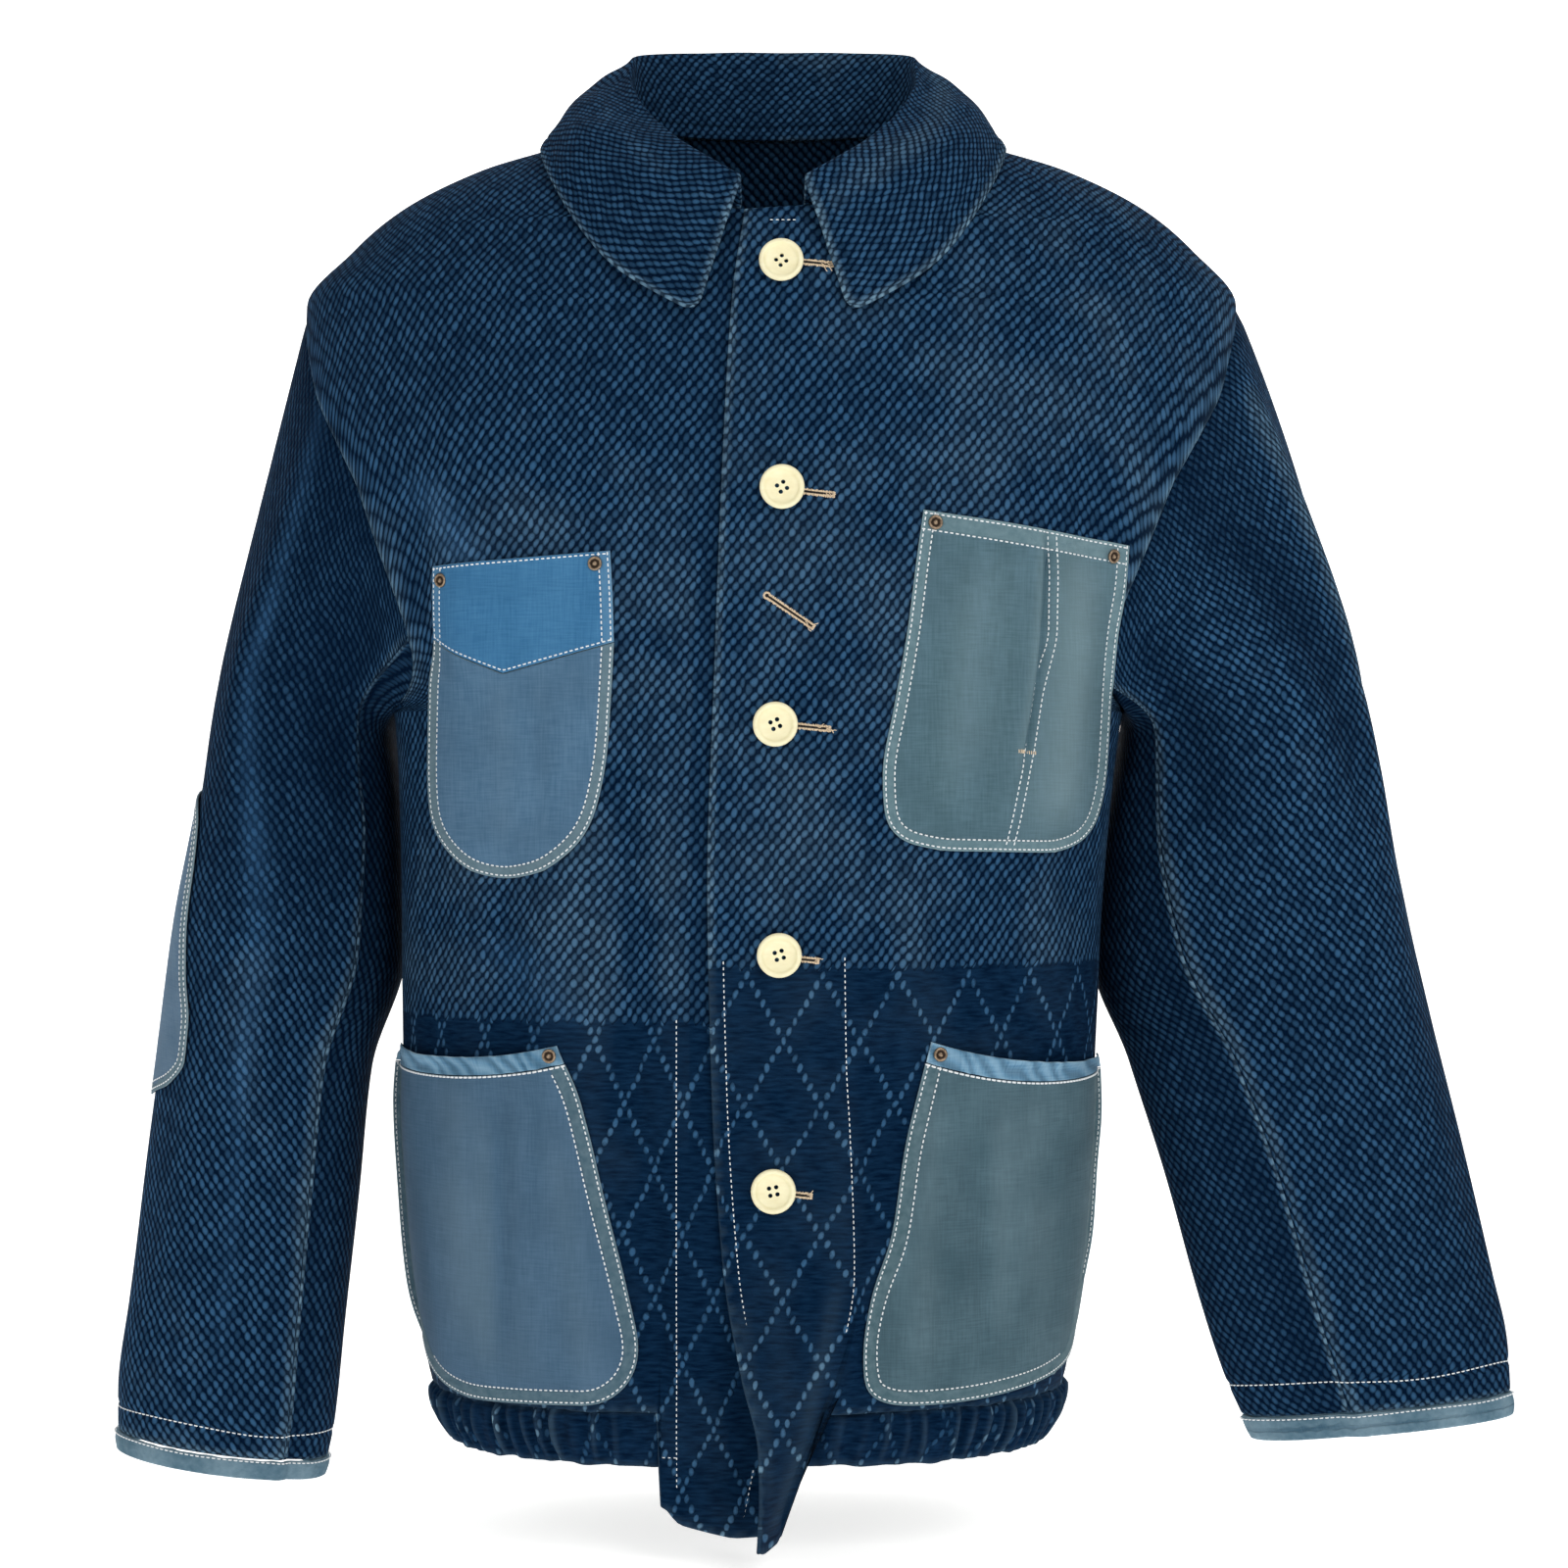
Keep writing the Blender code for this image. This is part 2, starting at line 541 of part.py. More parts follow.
def front_panel(name, side, edges, lifted):
    """One front. Side is +1 for the wearer's left. Its free end hangs below the casing."""
    heights = body_rows()
    facing_columns, body_columns = 3, 11
    end_rows = 3
    column = np.arange(facing_columns + body_columns + 1)
    across = np.clip(column / facing_columns, 0, 1)
    in_facing = column <= facing_columns
    outer_rows, inner_rows, angles, normals = [], [], [], []
    for number, row_height in enumerate(heights):
        drop = max(0, end_rows - number) / end_rows
        lowest = -0.7265 + 0.018 * across if side > 0 else -0.7210 + 0.018 * across**2
        height = np.where(in_facing, row_height + (lowest - CASING_TOP) * drop, row_height)
        lean = side * read(BODY, "lean", height)
        edge = read(edges, "edge", height) - lean
        if row_height > NECKLINE["height"][0] + 1e-6:
            edge = np.maximum(edge, read(NECKLINE, "out", height))
        outer = side_angle(height, "front")
        start = angle_at(height, edge)
        facing = angle_at(height, read(edges, "facing", height) - lean)
        spare = ease((height + 0.130) / 0.03)
        knot = np.maximum(facing, start + 0.26 * (outer - start) * spare)
        knot = np.minimum(knot, start + 0.40 * (outer - start))
        beyond = (column - facing_columns) / body_columns
        beyond = np.where(column == facing_columns + 1, 0.012, beyond)
        angle = np.where(in_facing, start + (knot - start) * across, knot + (outer - knot) * beyond)
        lift = np.zeros(len(column))
        x = body(height, side * angle)[:, 0]
        if lifted:
            lift = OVERLAP_LIFT * ease((OVERLAP_END + OVERLAP_FADE - x) / OVERLAP_FADE)
        normal = body_normal(height, side * angle)
        if number == 0:
            normal = unit(normal * np.array([1, 1, 0]))
        point = body(height, side * angle) + normal * lift[:, None]
        swing = read(edges, "swing", height) * (1 - across) * in_facing
        point[:, 1] -= swing
        turn = np.arctan2(swing[0], 0.06) * in_facing * side
        turned = normal.copy()
        turned[:, 0] = normal[:, 0] * np.cos(turn) - normal[:, 1] * np.sin(turn)
        turned[:, 1] = normal[:, 1] * np.cos(turn) + normal[:, 0] * np.sin(turn)
        outer_rows.append(point)
        inner_rows.append(point - turned * SASHIKO)
        normals.append(normal)
        angles.append(angle)
    wall(name, np.array(outer_rows), np.array(inner_rows), RICE_CLOTH)
    return Panel(heights, np.array(angles), np.array(outer_rows), np.array(normals))


BACK_COLUMNS = 17


def back_panel():
    """The back, in one piece from side seam to side seam."""
    heights = body_rows()[:, None]
    edge = side_angle(heights, "back")
    angle = math.pi + edge * np.linspace(-1, 1, BACK_COLUMNS)
    outer = body(heights, angle)
    normal = body_normal(heights, angle)
    normal[0] = unit(normal[0] * np.array([1, 1, 0]))
    wall("back", outer, outer - normal * SASHIKO, RICE_CLOTH)


def hem_casing():
    """The gathered casing round the hem, from one front's free end round the back to the other's."""
    columns = 2 * GATHERS + 1
    start = angle_at(CASING_TOP, float(read(EDGE_LEFT, "facing", CASING_TOP)) + 0.007)
    end = 2 * math.pi - angle_at(CASING_TOP, float(read(EDGE_RIGHT, "facing", CASING_TOP)) + 0.007)
    angle = np.linspace(start, end, columns)
    wave = np.where(np.arange(columns) % 2 == 0, -1.0, 1.0)
    outer, inner = [], []
    for height, depth in ((HEM, 0.8), (CASING_TOP - 0.0006, 0.6)):
        spread = GATHER_DEPTH * depth * wave
        spread[[0, -1]] = 0
        level = unit(body_normal(height, angle) * np.array([1, 1, 0]))
        outer.append(body(height, angle) + level * spread[:, None])
        inner.append(body(height, angle) + level * (spread - SASHIKO)[:, None])
    return wall("hem_casing", np.array(outer), np.array(inner), RICE_CLOTH)


def armhole(side):
    """The armhole's points from the shoulder tip down the front to the underarm and up the back.

    With each point go the direction in which the body's panel ends there, and its normal.
    """
    first = np.searchsorted(body_rows(), UNDERARM - 1e-6)
    heights = body_rows()[first:first + ARMHOLE_ROWS + 1]
    lines = {}
    for which in ("front", "back"):
        edge = side_angle(heights, which)
        angle = side * (edge if which == "front" else math.pi - edge)
        points = body(heights, angle)
        normal = body_normal(heights, angle)
        ahead = unit(np.cross(np.gradient(points, axis=0), normal))
        ahead *= side if which == "front" else -side
        lines[which] = np.concatenate([points, ahead, normal], axis=1)
    front, back = lines["front"][::-1], lines["back"]
    under, tip = (front[-1] + back[0]) / 2, (front[0] + back[-1]) / 2
    ring = np.concatenate([[tip], front[1:-1], [under], back[1:-1], [tip]])
    ring[:, 3:6] = unit(ring[:, 3:6])
    ring[:, 6:9] = unit(ring[:, 6:9])
    return ring


def sleeve(sections, seam, side, along, column):
    """A sleeve's outer surface at places along it and columns round it."""
    column = np.asarray(column, float)
    seam_column = FRONT_SEAM_COLUMN[side]
    ring = armhole(side)
    wrapped = np.mod(column, ROUND_SLEEVE)
    start = np.stack([
        np.interp(wrapped, np.arange(ROUND_SLEEVE + 1), ring[:, i]) for i in range(9)
    ], axis=-1)
    start, ahead, outward = start[..., :3], unit(start[..., 3:6]), unit(start[..., 6:9])
    rings = []
    names = ("along", "outer_x", "outer_z", "inner_x", "inner_z", "middle", "depth")
    for place, outer_x, outer_z, inner_x, inner_z, middle, depth in zip(*(sections[c] for c in names)):
        front = float(read(seam, "degrees", place))
        degrees = np.interp(
            np.mod(column - BACK_SEAM_COLUMN, ROUND_SLEEVE) + BACK_SEAM_COLUMN,
            [BACK_SEAM_COLUMN, seam_column + ROUND_SLEEVE, BACK_SEAM_COLUMN + ROUND_SLEEVE],
            [BACK_SEAM_DEGREES, front + 360, BACK_SEAM_DEGREES + 360],
        )
        turn = np.radians(degrees)[..., None]
        share = 2 / float(np.interp(place, SLEEVE_SQUARE[0], SLEEVE_SQUARE[1]))
        outwards = np.sign(np.cos(turn)) * np.abs(np.cos(turn)) ** share
        forwards = np.sign(np.sin(turn)) * np.abs(np.sin(turn)) ** share
        centre = np.array([(outer_x + inner_x) / 2, middle, (outer_z + inner_z) / 2])
        half = np.array([(outer_x - inner_x) / 2, 0, (outer_z - inner_z) / 2])
        rings.append(centre + half * outwards + np.array([0, -depth, 0]) * forwards)
    leave = unit(rings[0] - start)
    folded = np.clip(0.5 - np.sum(leave * ahead, axis=-1, keepdims=True), 0, 1)
    start = start + (ahead + outward * folded) * (SEAM_GAP + 0.0003)
    stations = np.concatenate([[0], sections["along"]])
    place = np.clip(np.asarray(along, float) / sections["along"][0], 0, 1)
    top = np.clip(np.cos(column / ROUND_SLEEVE * 2 * math.pi), 0, 1) ** 2
    swell = SLEEVE_HEAD[side] * 4 * place * (1 - place) * top
    return smooth(along, stations, np.array([start, *rings])) + swell[..., None] * np.array([side, 0, 0.3])


def sleeve_grid(sections, seam, side, alongs, columns, out=0.0):
    """Outer points and normals of a strip of a sleeve."""
    points, normals = [], []
    for along in alongs:
        def surface(where, shift):
            return sleeve(sections, seam, side, where, columns + shift)
        ahead = surface(along, 0.05) - surface(along, -0.05)
        down = surface(min(along + 0.004, 1.0), 0) - surface(max(along - 0.004, 0.0), 0)
        normal = unit(np.cross(ahead, down)) * side
        normals.append(normal)
        points.append(surface(along, 0) + normal * out)
    return np.array(points), np.array(normals)


def mitred(outer, inner, side, columns):
    """The sleeve's inner edge at the armhole, moved down the sleeve until it clears the body."""
    ring = armhole(side)
    wrapped = np.mod(columns, ROUND_SLEEVE)
    line = np.stack([np.interp(wrapped, np.arange(ROUND_SLEEVE + 1), ring[:, i]) for i in range(6)], axis=-1)
    ahead = unit(line[:, 3:])
    down = unit(outer[1] - outer[0])
    slope = np.sum(down * ahead, axis=1)
    short = 2 * SEAM_GAP - np.sum((inner[0] - line[:, :3]) * ahead, axis=1)
    short = np.maximum(short, 0)
    turned_far = ease((slope - 0.45) / 0.3)[:, None]
    down_it = down * (short / np.maximum(slope, 0.45))[:, None]
    inner[0] += down_it * turned_far + ahead * short[:, None] * (1 - turned_far)
    return inner


def sleeve_pieces(word, sections, seam, side):
    """The top sleeve, the under sleeve and the binding of one cuff. Returns the top sleeve."""
    end = 1 - BINDING_HEIGHT / SLEEVE_LENGTH
    alongs = np.concatenate([np.linspace(0, 0.22, 5), np.linspace(0.22, end, 10)[1:]])
    front, back = FRONT_SEAM_COLUMN[side], BACK_SEAM_COLUMN
    pieces = {}
    for name, first, last in (("top_sleeve_", back - ROUND_SLEEVE, front), ("under_sleeve_", front, back)):
        columns = np.arange(first, last + 1).astype(float)
        columns[0] += SEAM_COLUMNS
        columns[-1] -= SEAM_COLUMNS
        outer, normal = sleeve_grid(sections, seam, side, alongs, columns)
        inner = mitred(outer, outer - normal * SASHIKO, side, columns)
        wall(name + word, outer, inner, RICE_CLOTH)
        pieces[name] = Panel(alongs, columns, outer, normal)
    low = np.array([end + (SEAM_GAP + 0.0002) / SLEEVE_LENGTH, 1.0])
    outer, normal = sleeve_grid(
        sections, seam, side, low, np.arange(ROUND_SLEEVE) * 1.0, BINDING_EXTRA
    )
    inner = outer - normal * (SASHIKO + 2 * BINDING_EXTRA)
    wall("cuff_binding_" + word, outer, inner, BINDING_CLOTH, True)
    return pieces["top_sleeve_"]


def elbow_patch(panel):
    """The patch over the right elbow, laid on the top sleeve."""
    alongs = ELBOW_PATCH["along"][:, None]
    degrees = np.linspace(ELBOW_PATCH["front"], ELBOW_PATCH["back"], 9).T
    front = read(SEAM_RIGHT, "degrees", alongs)
    columns = np.interp(
        (degrees + 360 - BACK_SEAM_DEGREES) / (front + 360 - BACK_SEAM_DEGREES), (0, 1),
        (BACK_SEAM_COLUMN - ROUND_SLEEVE, FRONT_SEAM_COLUMN[-1]),
    )
    rows = np.broadcast_to(alongs, columns.shape).copy()
    laid_on(panel, rows, columns, "elbow_patch_right", CHAMBRAY, GREY_CHAMBRAY)


def pocket(name, panel, side, rows, look, bend=2.0, peak=0.5, columns=7):
    """A patch pocket or a piece of one, laid on a front. Returns its outer points and normals."""
    u = np.linspace(0, 1, columns)
    across = np.interp(u, (0, 0.5, 1), (0, peak, 1)) if bend == 1 else u
    sag = 1 - np.abs(2 * u - 1) ** bend
    x = rows["first_x"][:, None] * (1 - across) + rows["last_x"][:, None] * across
    z = rows["first_z"][:, None] * (1 - across) + rows["last_z"][:, None] * across
    z = z - rows["sag"][:, None] * sag
    angle = side * angle_at(z, x - read(BODY, "lean", z))
    angle = np.minimum(angle, side_angle(z, "front") - math.radians(4))
    return laid_on(panel, z, angle, name, CHAMBRAY, look)


def clear_body(points, need):
    """Points moved out until they are a distance from the body's own surface."""
    points = points.copy()

    def level(at):
        height = np.minimum(at[:, 2], NECK_POINT)
        power = read(BODY, "power", height)
        reach = np.where(at[:, 1] < 0, read(BODY, "front", height), read(BODY, "back", height))
        across = np.abs(at[:, 0] - read(BODY, "lean", height)) / read(BODY, "half_width", height)
        return (across**power + (np.abs(at[:, 1]) / reach) ** power) ** (1 / power)

    step = 1e-4
    for _ in range(6):
        here = level(points)
        slope = np.stack([(level(points + step * axis) - here) / step for axis in np.eye(3)], axis=1)
        size = np.maximum(np.linalg.norm(slope, axis=1), 1e-6)
        short = np.maximum(need - (here - 1) / size, 0)
        short = np.where(points[:, 2] > NECK_POINT + 0.004, 0, short)
        points += slope / size[:, None] * np.minimum(short, 0.004)[:, None]
    return points


def neckline():
    """The left half of the neckline, front to back, centred: points, panel ends and normals."""
    heights = NECKLINE["height"][1:]
    lean = read(BODY, "lean", heights)
    angle = angle_at(heights, NECKLINE["out"][1:])
    front = body(heights, angle)
    front_normal = body_normal(heights, angle)
    front[:, 0] -= lean
    front_ahead = unit(np.cross(front_normal, np.gradient(front, axis=0)))
    edge = float(side_angle(NECK_POINT, "back"))
    angle = math.pi - edge * np.linspace(1, 0, BACK_COLUMNS // 2 + 1)
    back = body(NECK_POINT, angle)
    back_normal = body_normal(NECK_POINT, angle)
    back[:, 0] -= read(BODY, "lean", NECK_POINT)
    back_ahead = unit(np.cross(back_normal, np.gradient(back, axis=0)))
    front_ahead *= np.sign(front_ahead[:, 2:])
    back_ahead *= np.sign(back_ahead[:, 2:])
    join = slice(1, None)
    points = np.concatenate([front, back[join]])
    ahead = np.concatenate([front_ahead, back_ahead[join]])
    normal = np.concatenate([front_normal, back_normal[join]])
    return points, ahead, normal


def collar_sections():
    """Sections of the collar's left half: up the stand by the neck, over the roll, down the fall."""
    line, ahead, normal = neckline()
    length = np.concatenate([[0], np.cumsum(np.linalg.norm(np.diff(line, axis=0), axis=1))])
    along = length / length[-1]
    get = {c: read(COLLAR, c, along) for c in COLLAR}
    base = line - normal * (SASHIKO + COLLAR_CLOTH) / 2 + ahead * 0.0006
    roll = np.stack([get["roll_x"], get["roll_y"], get["roll_z"]], axis=1)
    away = roll * [1, 1, 0] - np.array([0, -0.020, 0])
    away[:, 0] = np.maximum(away[:, 0], 0)
    away = unit(away)
    height = get["edge_z"]
    edge = body(height, np.radians(get["edge_turn"]))
    edge[:, 0] -= read(BODY, "lean", height)
    up = np.array([0, 0, 1.0])
    swell = get["swell"][:, None]
    top = roll + away * ROLL_WIDTH + up * -0.0025
    middle = (top + edge) / 2 + (away * 0.7 + up * 0.7) * swell
    path = np.stack([
        base,
        base + ahead * 0.0045,
        (base + ahead * 0.0045) * 0.35 + (roll - away * 0.0015) * 0.65,
        roll,
        top,
        (top + middle) / 2 + (away + up) * 0.15 * swell,
        middle,
        (middle + edge) / 2 + (away + up) * 0.15 * swell,
        edge,
    ], axis=1)
    need = COLLAR_CLOTH + OVERLAP_LIFT + LAY_GAP + 0.0008
    lean = read(BODY, "lean", height)
    for k in range(4, path.shape[1]):
        moved = path[:, k] + np.stack([lean, 0 * lean, 0 * lean], axis=1)
        path[:, k] = clear_body(moved, need) - np.stack([lean, 0 * lean, 0 * lean], axis=1)
    return path


def collar():
    """The collar, one strip that stands up round the neck and falls over."""
    left = collar_sections()
    right = left[:-1] * np.array([-1, 1, 1])
    outer = np.concatenate([right, left[::-1]])
    outer[..., 0] += COLLAR_CENTRE
    normal = unit(np.cross(np.gradient(outer, axis=0), np.gradient(outer, axis=1)))
    wall("collar", outer, outer - normal * COLLAR_CLOTH, RICE_CLOTH)


def disc(name, profile, place, normal, look, sides=14):
    """A round piece turned from a profile of (radius, height) and set on a surface."""
    side = unit(np.cross(normal, [0, 0, 1.0]))
    other = np.cross(side, normal)
    turn = np.linspace(0, 2 * math.pi, sides, endpoint=False)
    points, faces = [], []
    for radius, height in profile:
        for a in turn:
            points.append(place + normal * height + (side * math.cos(a) + other * math.sin(a)) * radius)
    for i in range(len(profile) - 1):
        for j in range(sides):
            k = (j + 1) % sides
            faces.append((i * sides + j, i * sides + k, (i + 1) * sides + k, (i + 1) * sides + j))
    faces.append(tuple(range(sides)))
    faces.append(tuple(range((len(profile) - 1) * sides, len(profile) * sides)))
    make_object(name, points, faces, *look)


def buttons(panel):
    """Five horn-coloured buttons, each with a raised rim round a dished middle."""
    profile = (
        (0.0080, 0.0), (BUTTON_RADIUS, 0.0016), (0.0104, 0.0030), (0.0086, 0.0030), (0.0070, 0.0020),
    )
    for number, (x, height) in enumerate(zip(BUTTONS["x"], BUTTONS["height"]), 1):
        angle = angle_at(height, x - read(BODY, "lean", height))
        place, normal = panel.at(height, angle)
        disc(f"button_{number}", profile, place + normal * 0.0008, normal, BUTTON_HORN)


def rivets(pockets):
    """A domed rivet at each reinforced pocket corner, set on the nearest part of its pocket."""
    profile = ((RIVET_RADIUS * 0.85, 0.0), (RIVET_RADIUS, 0.0005), (RIVET_RADIUS * 0.55, 0.0013))
    for name, x, height, held in RIVETS:
        points, normals = pockets[held]
        gap = np.hypot(points[..., 0] - x, points[..., 2] - height)
        weight = 1 / np.maximum(gap, 1e-4) ** 4
        normal = unit(np.sum(normals * weight[..., None], axis=(0, 1)))
        order = np.argsort(gap.ravel())[:3]
        near = points.reshape(-1, 3)[order]
        plane = np.cross(near[1] - near[0], near[2] - near[0])
        drop = 0 if abs(plane[1]) < 1e-9 else -(
            plane[0] * (x - near[0][0]) + plane[2] * (height - near[0][2])
        ) / plane[1]
        place = np.array([x, near[0][1] + drop, height])
        disc(name, profile, place + normal * (LAY_GAP + 0.0002), normal, RIVET_METAL, 10)


def main():
    for obj in list(bpy.data.objects):
        bpy.data.objects.remove(obj)
    left = front_panel("front_left", 1, EDGE_LEFT, True)
    right = front_panel("front_right", -1, EDGE_RIGHT, False)
    back_panel()
    hem_casing()
    top_right = sleeve_pieces("right", SLEEVE_RIGHT, SEAM_RIGHT, -1)
    sleeve_pieces("left", SLEEVE_LEFT, SEAM_LEFT, 1)
    elbow_patch(top_right)
    collar()
    pockets = {
        "chest_pocket_right_top": pocket(
            "chest_pocket_right_top", right, -1, CHEST_RIGHT_TOP, BRIGHT_CHAMBRAY, 1.0, 0.42
        ),
        "chest_pocket_left": pocket("chest_pocket_left", left, 1, CHEST_LEFT, GREY_CHAMBRAY),
        "hip_pocket_right_band": pocket(
            "hip_pocket_right_band", right, -1, HIP_RIGHT_BAND, BINDING_CLOTH
        ),
        "hip_pocket_left_band": pocket("hip_pocket_left_band", left, 1, HIP_LEFT_BAND, BINDING_CLOTH),
    }
    pocket("chest_pocket_right", right, -1, CHEST_RIGHT, GREY_CHAMBRAY, 1.0, 0.42)
    pocket("hip_pocket_right", right, -1, HIP_RIGHT, GREY_CHAMBRAY)
    pocket("hip_pocket_left", left, 1, HIP_LEFT, GREY_CHAMBRAY)
    buttons(left)
    rivets(pockets)


main()
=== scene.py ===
"""Looks of a work jacket cut from kendo-style sashiko cloth, in the hollow form that it takes when worn.

Metres, +Z up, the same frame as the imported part: the front faces -Y and +X is the wearer's left.
Every cloth is a thin closed shell on its solid's form, worked out as a grid of points. A weave is
drawn on each cloth's own map, which is in metres along and across the cut.
"""

import logging
import math
from dataclasses import dataclass, field
from enum import Enum

import bpy
import numpy as np
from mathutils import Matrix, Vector


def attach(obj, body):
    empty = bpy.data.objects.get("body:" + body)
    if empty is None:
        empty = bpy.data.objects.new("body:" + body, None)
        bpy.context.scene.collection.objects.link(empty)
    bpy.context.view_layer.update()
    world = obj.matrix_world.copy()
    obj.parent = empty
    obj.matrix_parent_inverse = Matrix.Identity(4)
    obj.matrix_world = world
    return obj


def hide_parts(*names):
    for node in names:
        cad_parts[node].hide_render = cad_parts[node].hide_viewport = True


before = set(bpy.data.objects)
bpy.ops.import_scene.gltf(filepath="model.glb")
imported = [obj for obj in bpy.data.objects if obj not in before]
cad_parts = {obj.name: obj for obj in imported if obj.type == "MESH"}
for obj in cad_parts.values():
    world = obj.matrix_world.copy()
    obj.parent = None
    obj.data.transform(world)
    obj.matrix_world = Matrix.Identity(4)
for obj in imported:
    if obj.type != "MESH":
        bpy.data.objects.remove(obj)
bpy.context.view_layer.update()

LOG = logging.getLogger("jacket")
Array = np.ndarray
Table = dict[str, Array]
Line = tuple[Array, Array]
Piece = bpy.types.Object
Finish = bpy.types.Material

SASHIKO = 0.0022
CHAMBRAY = 0.001
COLLAR_CLOTH = 0.0024
WAIST = -0.5
CASING_TOP = -0.661
HEM = -0.687
UNDERARM = -0.315
SHOULDER_TIP = -0.103
NECK_POINT = -0.004
SLEEVE_LENGTH = 0.6
CUFF_HEM = 0.953
CHEST_ROWS = 0.0014, 0.0058
CHEST_MOUTH = 0.0094
# How strongly a fold's height is painted into the cloth's colour: paler on ridges, darker in troughs, as
# painted highlight and painted shade.
FOLD_PAINTED_SHADING = 38
DIAMOND_TOP = {1: -0.44, -1: -0.466, 0: -0.452}


def table(columns: str, *rows: tuple[float, ...]) -> Table:
    """A table of named columns.

    Args:
        columns: The columns' names, with spaces between them.
        rows: One tuple of numbers for each row.

    Returns:
        An array for each name.
    """
    return dict(zip(columns.split(), np.array(rows, float).T))


BODY = table(
    "height half_width front back lean power",
    (-0.735, 0.145, 0.118, 0.098, -0.001, 2.5),
    (-0.687, 0.156, 0.12, 0.104, -0.001, 2.5),
    (-0.675, 0.1605, 0.124, 0.109, -0.001, 2.5),
    (-0.661, 0.164, 0.1262, 0.112, -0.001, 2.5),
    (-0.63, 0.1695, 0.129, 0.115, -0.001, 2.5),
    (-0.59, 0.1745, 0.129, 0.115, -0.001, 2.5),
    (-0.54, 0.1785, 0.128, 0.112, -0.001, 2.5),
    (-0.46, 0.1812, 0.126, 0.109, 0.0, 2.5),
    (-0.38, 0.1845, 0.128, 0.112, 0.002, 2.5),
    (-0.315, 0.19, 0.129, 0.117, 0.004, 2.4),
    (-0.267, 0.211, 0.129, 0.119, 0.0055, 2.35),
    (-0.205, 0.233, 0.127, 0.119, 0.0075, 2.3),
    (-0.15, 0.243, 0.122, 0.115, 0.0095, 2.2),
    (-0.103, 0.243, 0.115, 0.108, 0.011, 2.1),
    (-0.0745, 0.22, 0.108, 0.101, 0.012, 2.0),
    (-0.054, 0.196, 0.095, 0.094, 0.012, 2.0),
    (-0.0334, 0.156, 0.074, 0.083, 0.012, 2.0),
    (-0.0206, 0.116, 0.055, 0.074, 0.012, 2.0),
    (-0.0125, 0.096, 0.038, 0.067, 0.012, 2.0),
    (-0.004, 0.079, 0.012, 0.058, 0.012, 2.0),
)
ARMHOLE = table(
    "height front back",
    (-0.315, 1.0, 1.0),
    (-0.309, 0.955, 0.975),
    (-0.298, 0.905, 0.945),
    (-0.285, 0.873, 0.925),
    (-0.267, 0.858, 0.915),
    (-0.233, 0.865, 0.915),
    (-0.205, 0.878, 0.925),
    (-0.187, 0.9, 0.935),
    (-0.17, 0.925, 0.95),
    (-0.15, 0.957, 0.97),
    (-0.125, 0.985, 0.988),
    (-0.103, 1.0, 1.0),
)
NECKLINE = table(
    "height out",
    (-0.069, -0.2),
    (-0.0668, 0.0165),
    (-0.061, 0.0365),
    (-0.052, 0.051),
    (-0.04, 0.064),
    (-0.027, 0.0715),
    (-0.015, 0.0757),
    (-0.004, 0.078),
)
EDGE_LEFT = table(
    "height edge facing swing",
    (-0.73, 0.0058, 0.016, 0.042),
    (-0.715, 0.0064, 0.0164, 0.039),
    (-0.7, 0.007, 0.02, 0.035),
    (-0.675, 0.006, 0.028, 0.026),
    (-0.64, -0.003, 0.0425, 0.014),
    (-0.59, -0.0122, 0.052, 0.0),
    (-0.5, -0.018, 0.05, 0.0),
    (-0.4, -0.02, 0.049, 0.0),
    (-0.3, -0.0167, 0.049, 0.0),
    (-0.2, -0.0129, 0.049, 0.0),
    (-0.112, -0.008, 0.05, 0.0),
    (-0.071, -0.0023, 0.052, 0.0),
)
EDGE_RIGHT = table(
    "height edge facing swing",
    (-0.73, -0.007, 0.042, 0.006),
    (-0.69, -0.014, 0.043, 0.003),
    (-0.64, -0.024, 0.042, 0.0),
    (-0.59, -0.033, 0.038, 0.0),
    (-0.3, -0.033, 0.035, 0.0),
    (-0.071, -0.033, 0.035, 0.0),
)
SLEEVE_RIGHT = table(
    "along outer_x outer_z inner_x inner_z middle depth",
    (0.22, -0.2764, -0.3006, -0.19, -0.326, 0.002, 0.07),
    (0.33, -0.2867, -0.3623, -0.185, -0.3777, 0.002, 0.069),
    (0.45, -0.299, -0.4239, -0.1842, -0.4419, 0.0, 0.067),
    (0.58, -0.3073, -0.4856, -0.199, -0.501, -0.003, 0.063),
    (0.71, -0.3155, -0.5524, -0.2045, -0.5652, -0.008, 0.057),
    (0.84, -0.3227, -0.6192, -0.2112, -0.632, -0.014, 0.05),
    (0.94, -0.3278, -0.6654, -0.2158, -0.6808, -0.018, 0.045),
    (1.0, -0.3273, -0.6952, -0.2214, -0.7101, -0.02, 0.041),
)
SLEEVE_LEFT = table(
    "along outer_x outer_z inner_x inner_z middle depth",
    (0.22, 0.3145, -0.3006, 0.1975, -0.328, 0.002, 0.068),
    (0.33, 0.3283, -0.3571, 0.1888, -0.3828, 0.002, 0.062),
    (0.45, 0.3443, -0.4188, 0.184, -0.4471, 0.0, 0.056),
    (0.58, 0.3586, -0.4805, 0.1988, -0.4984, -0.003, 0.05),
    (0.71, 0.373, -0.5421, 0.2163, -0.555, -0.007, 0.043),
    (0.84, 0.3869, -0.6063, 0.2338, -0.6192, -0.011, 0.036),
    (0.94, 0.3941, -0.6449, 0.2461, -0.6577, -0.014, 0.03),
    (1.0, 0.3956, -0.6793, 0.2615, -0.6921, -0.016, 0.026),
)
SEAM_RIGHT = table("along degrees", (0.22, 136), (0.45, 131), (0.71, 131), (1.0, 133))
SEAM_LEFT = table("along degrees", (0.22, 140), (0.45, 118), (0.71, 109), (1.0, 105))
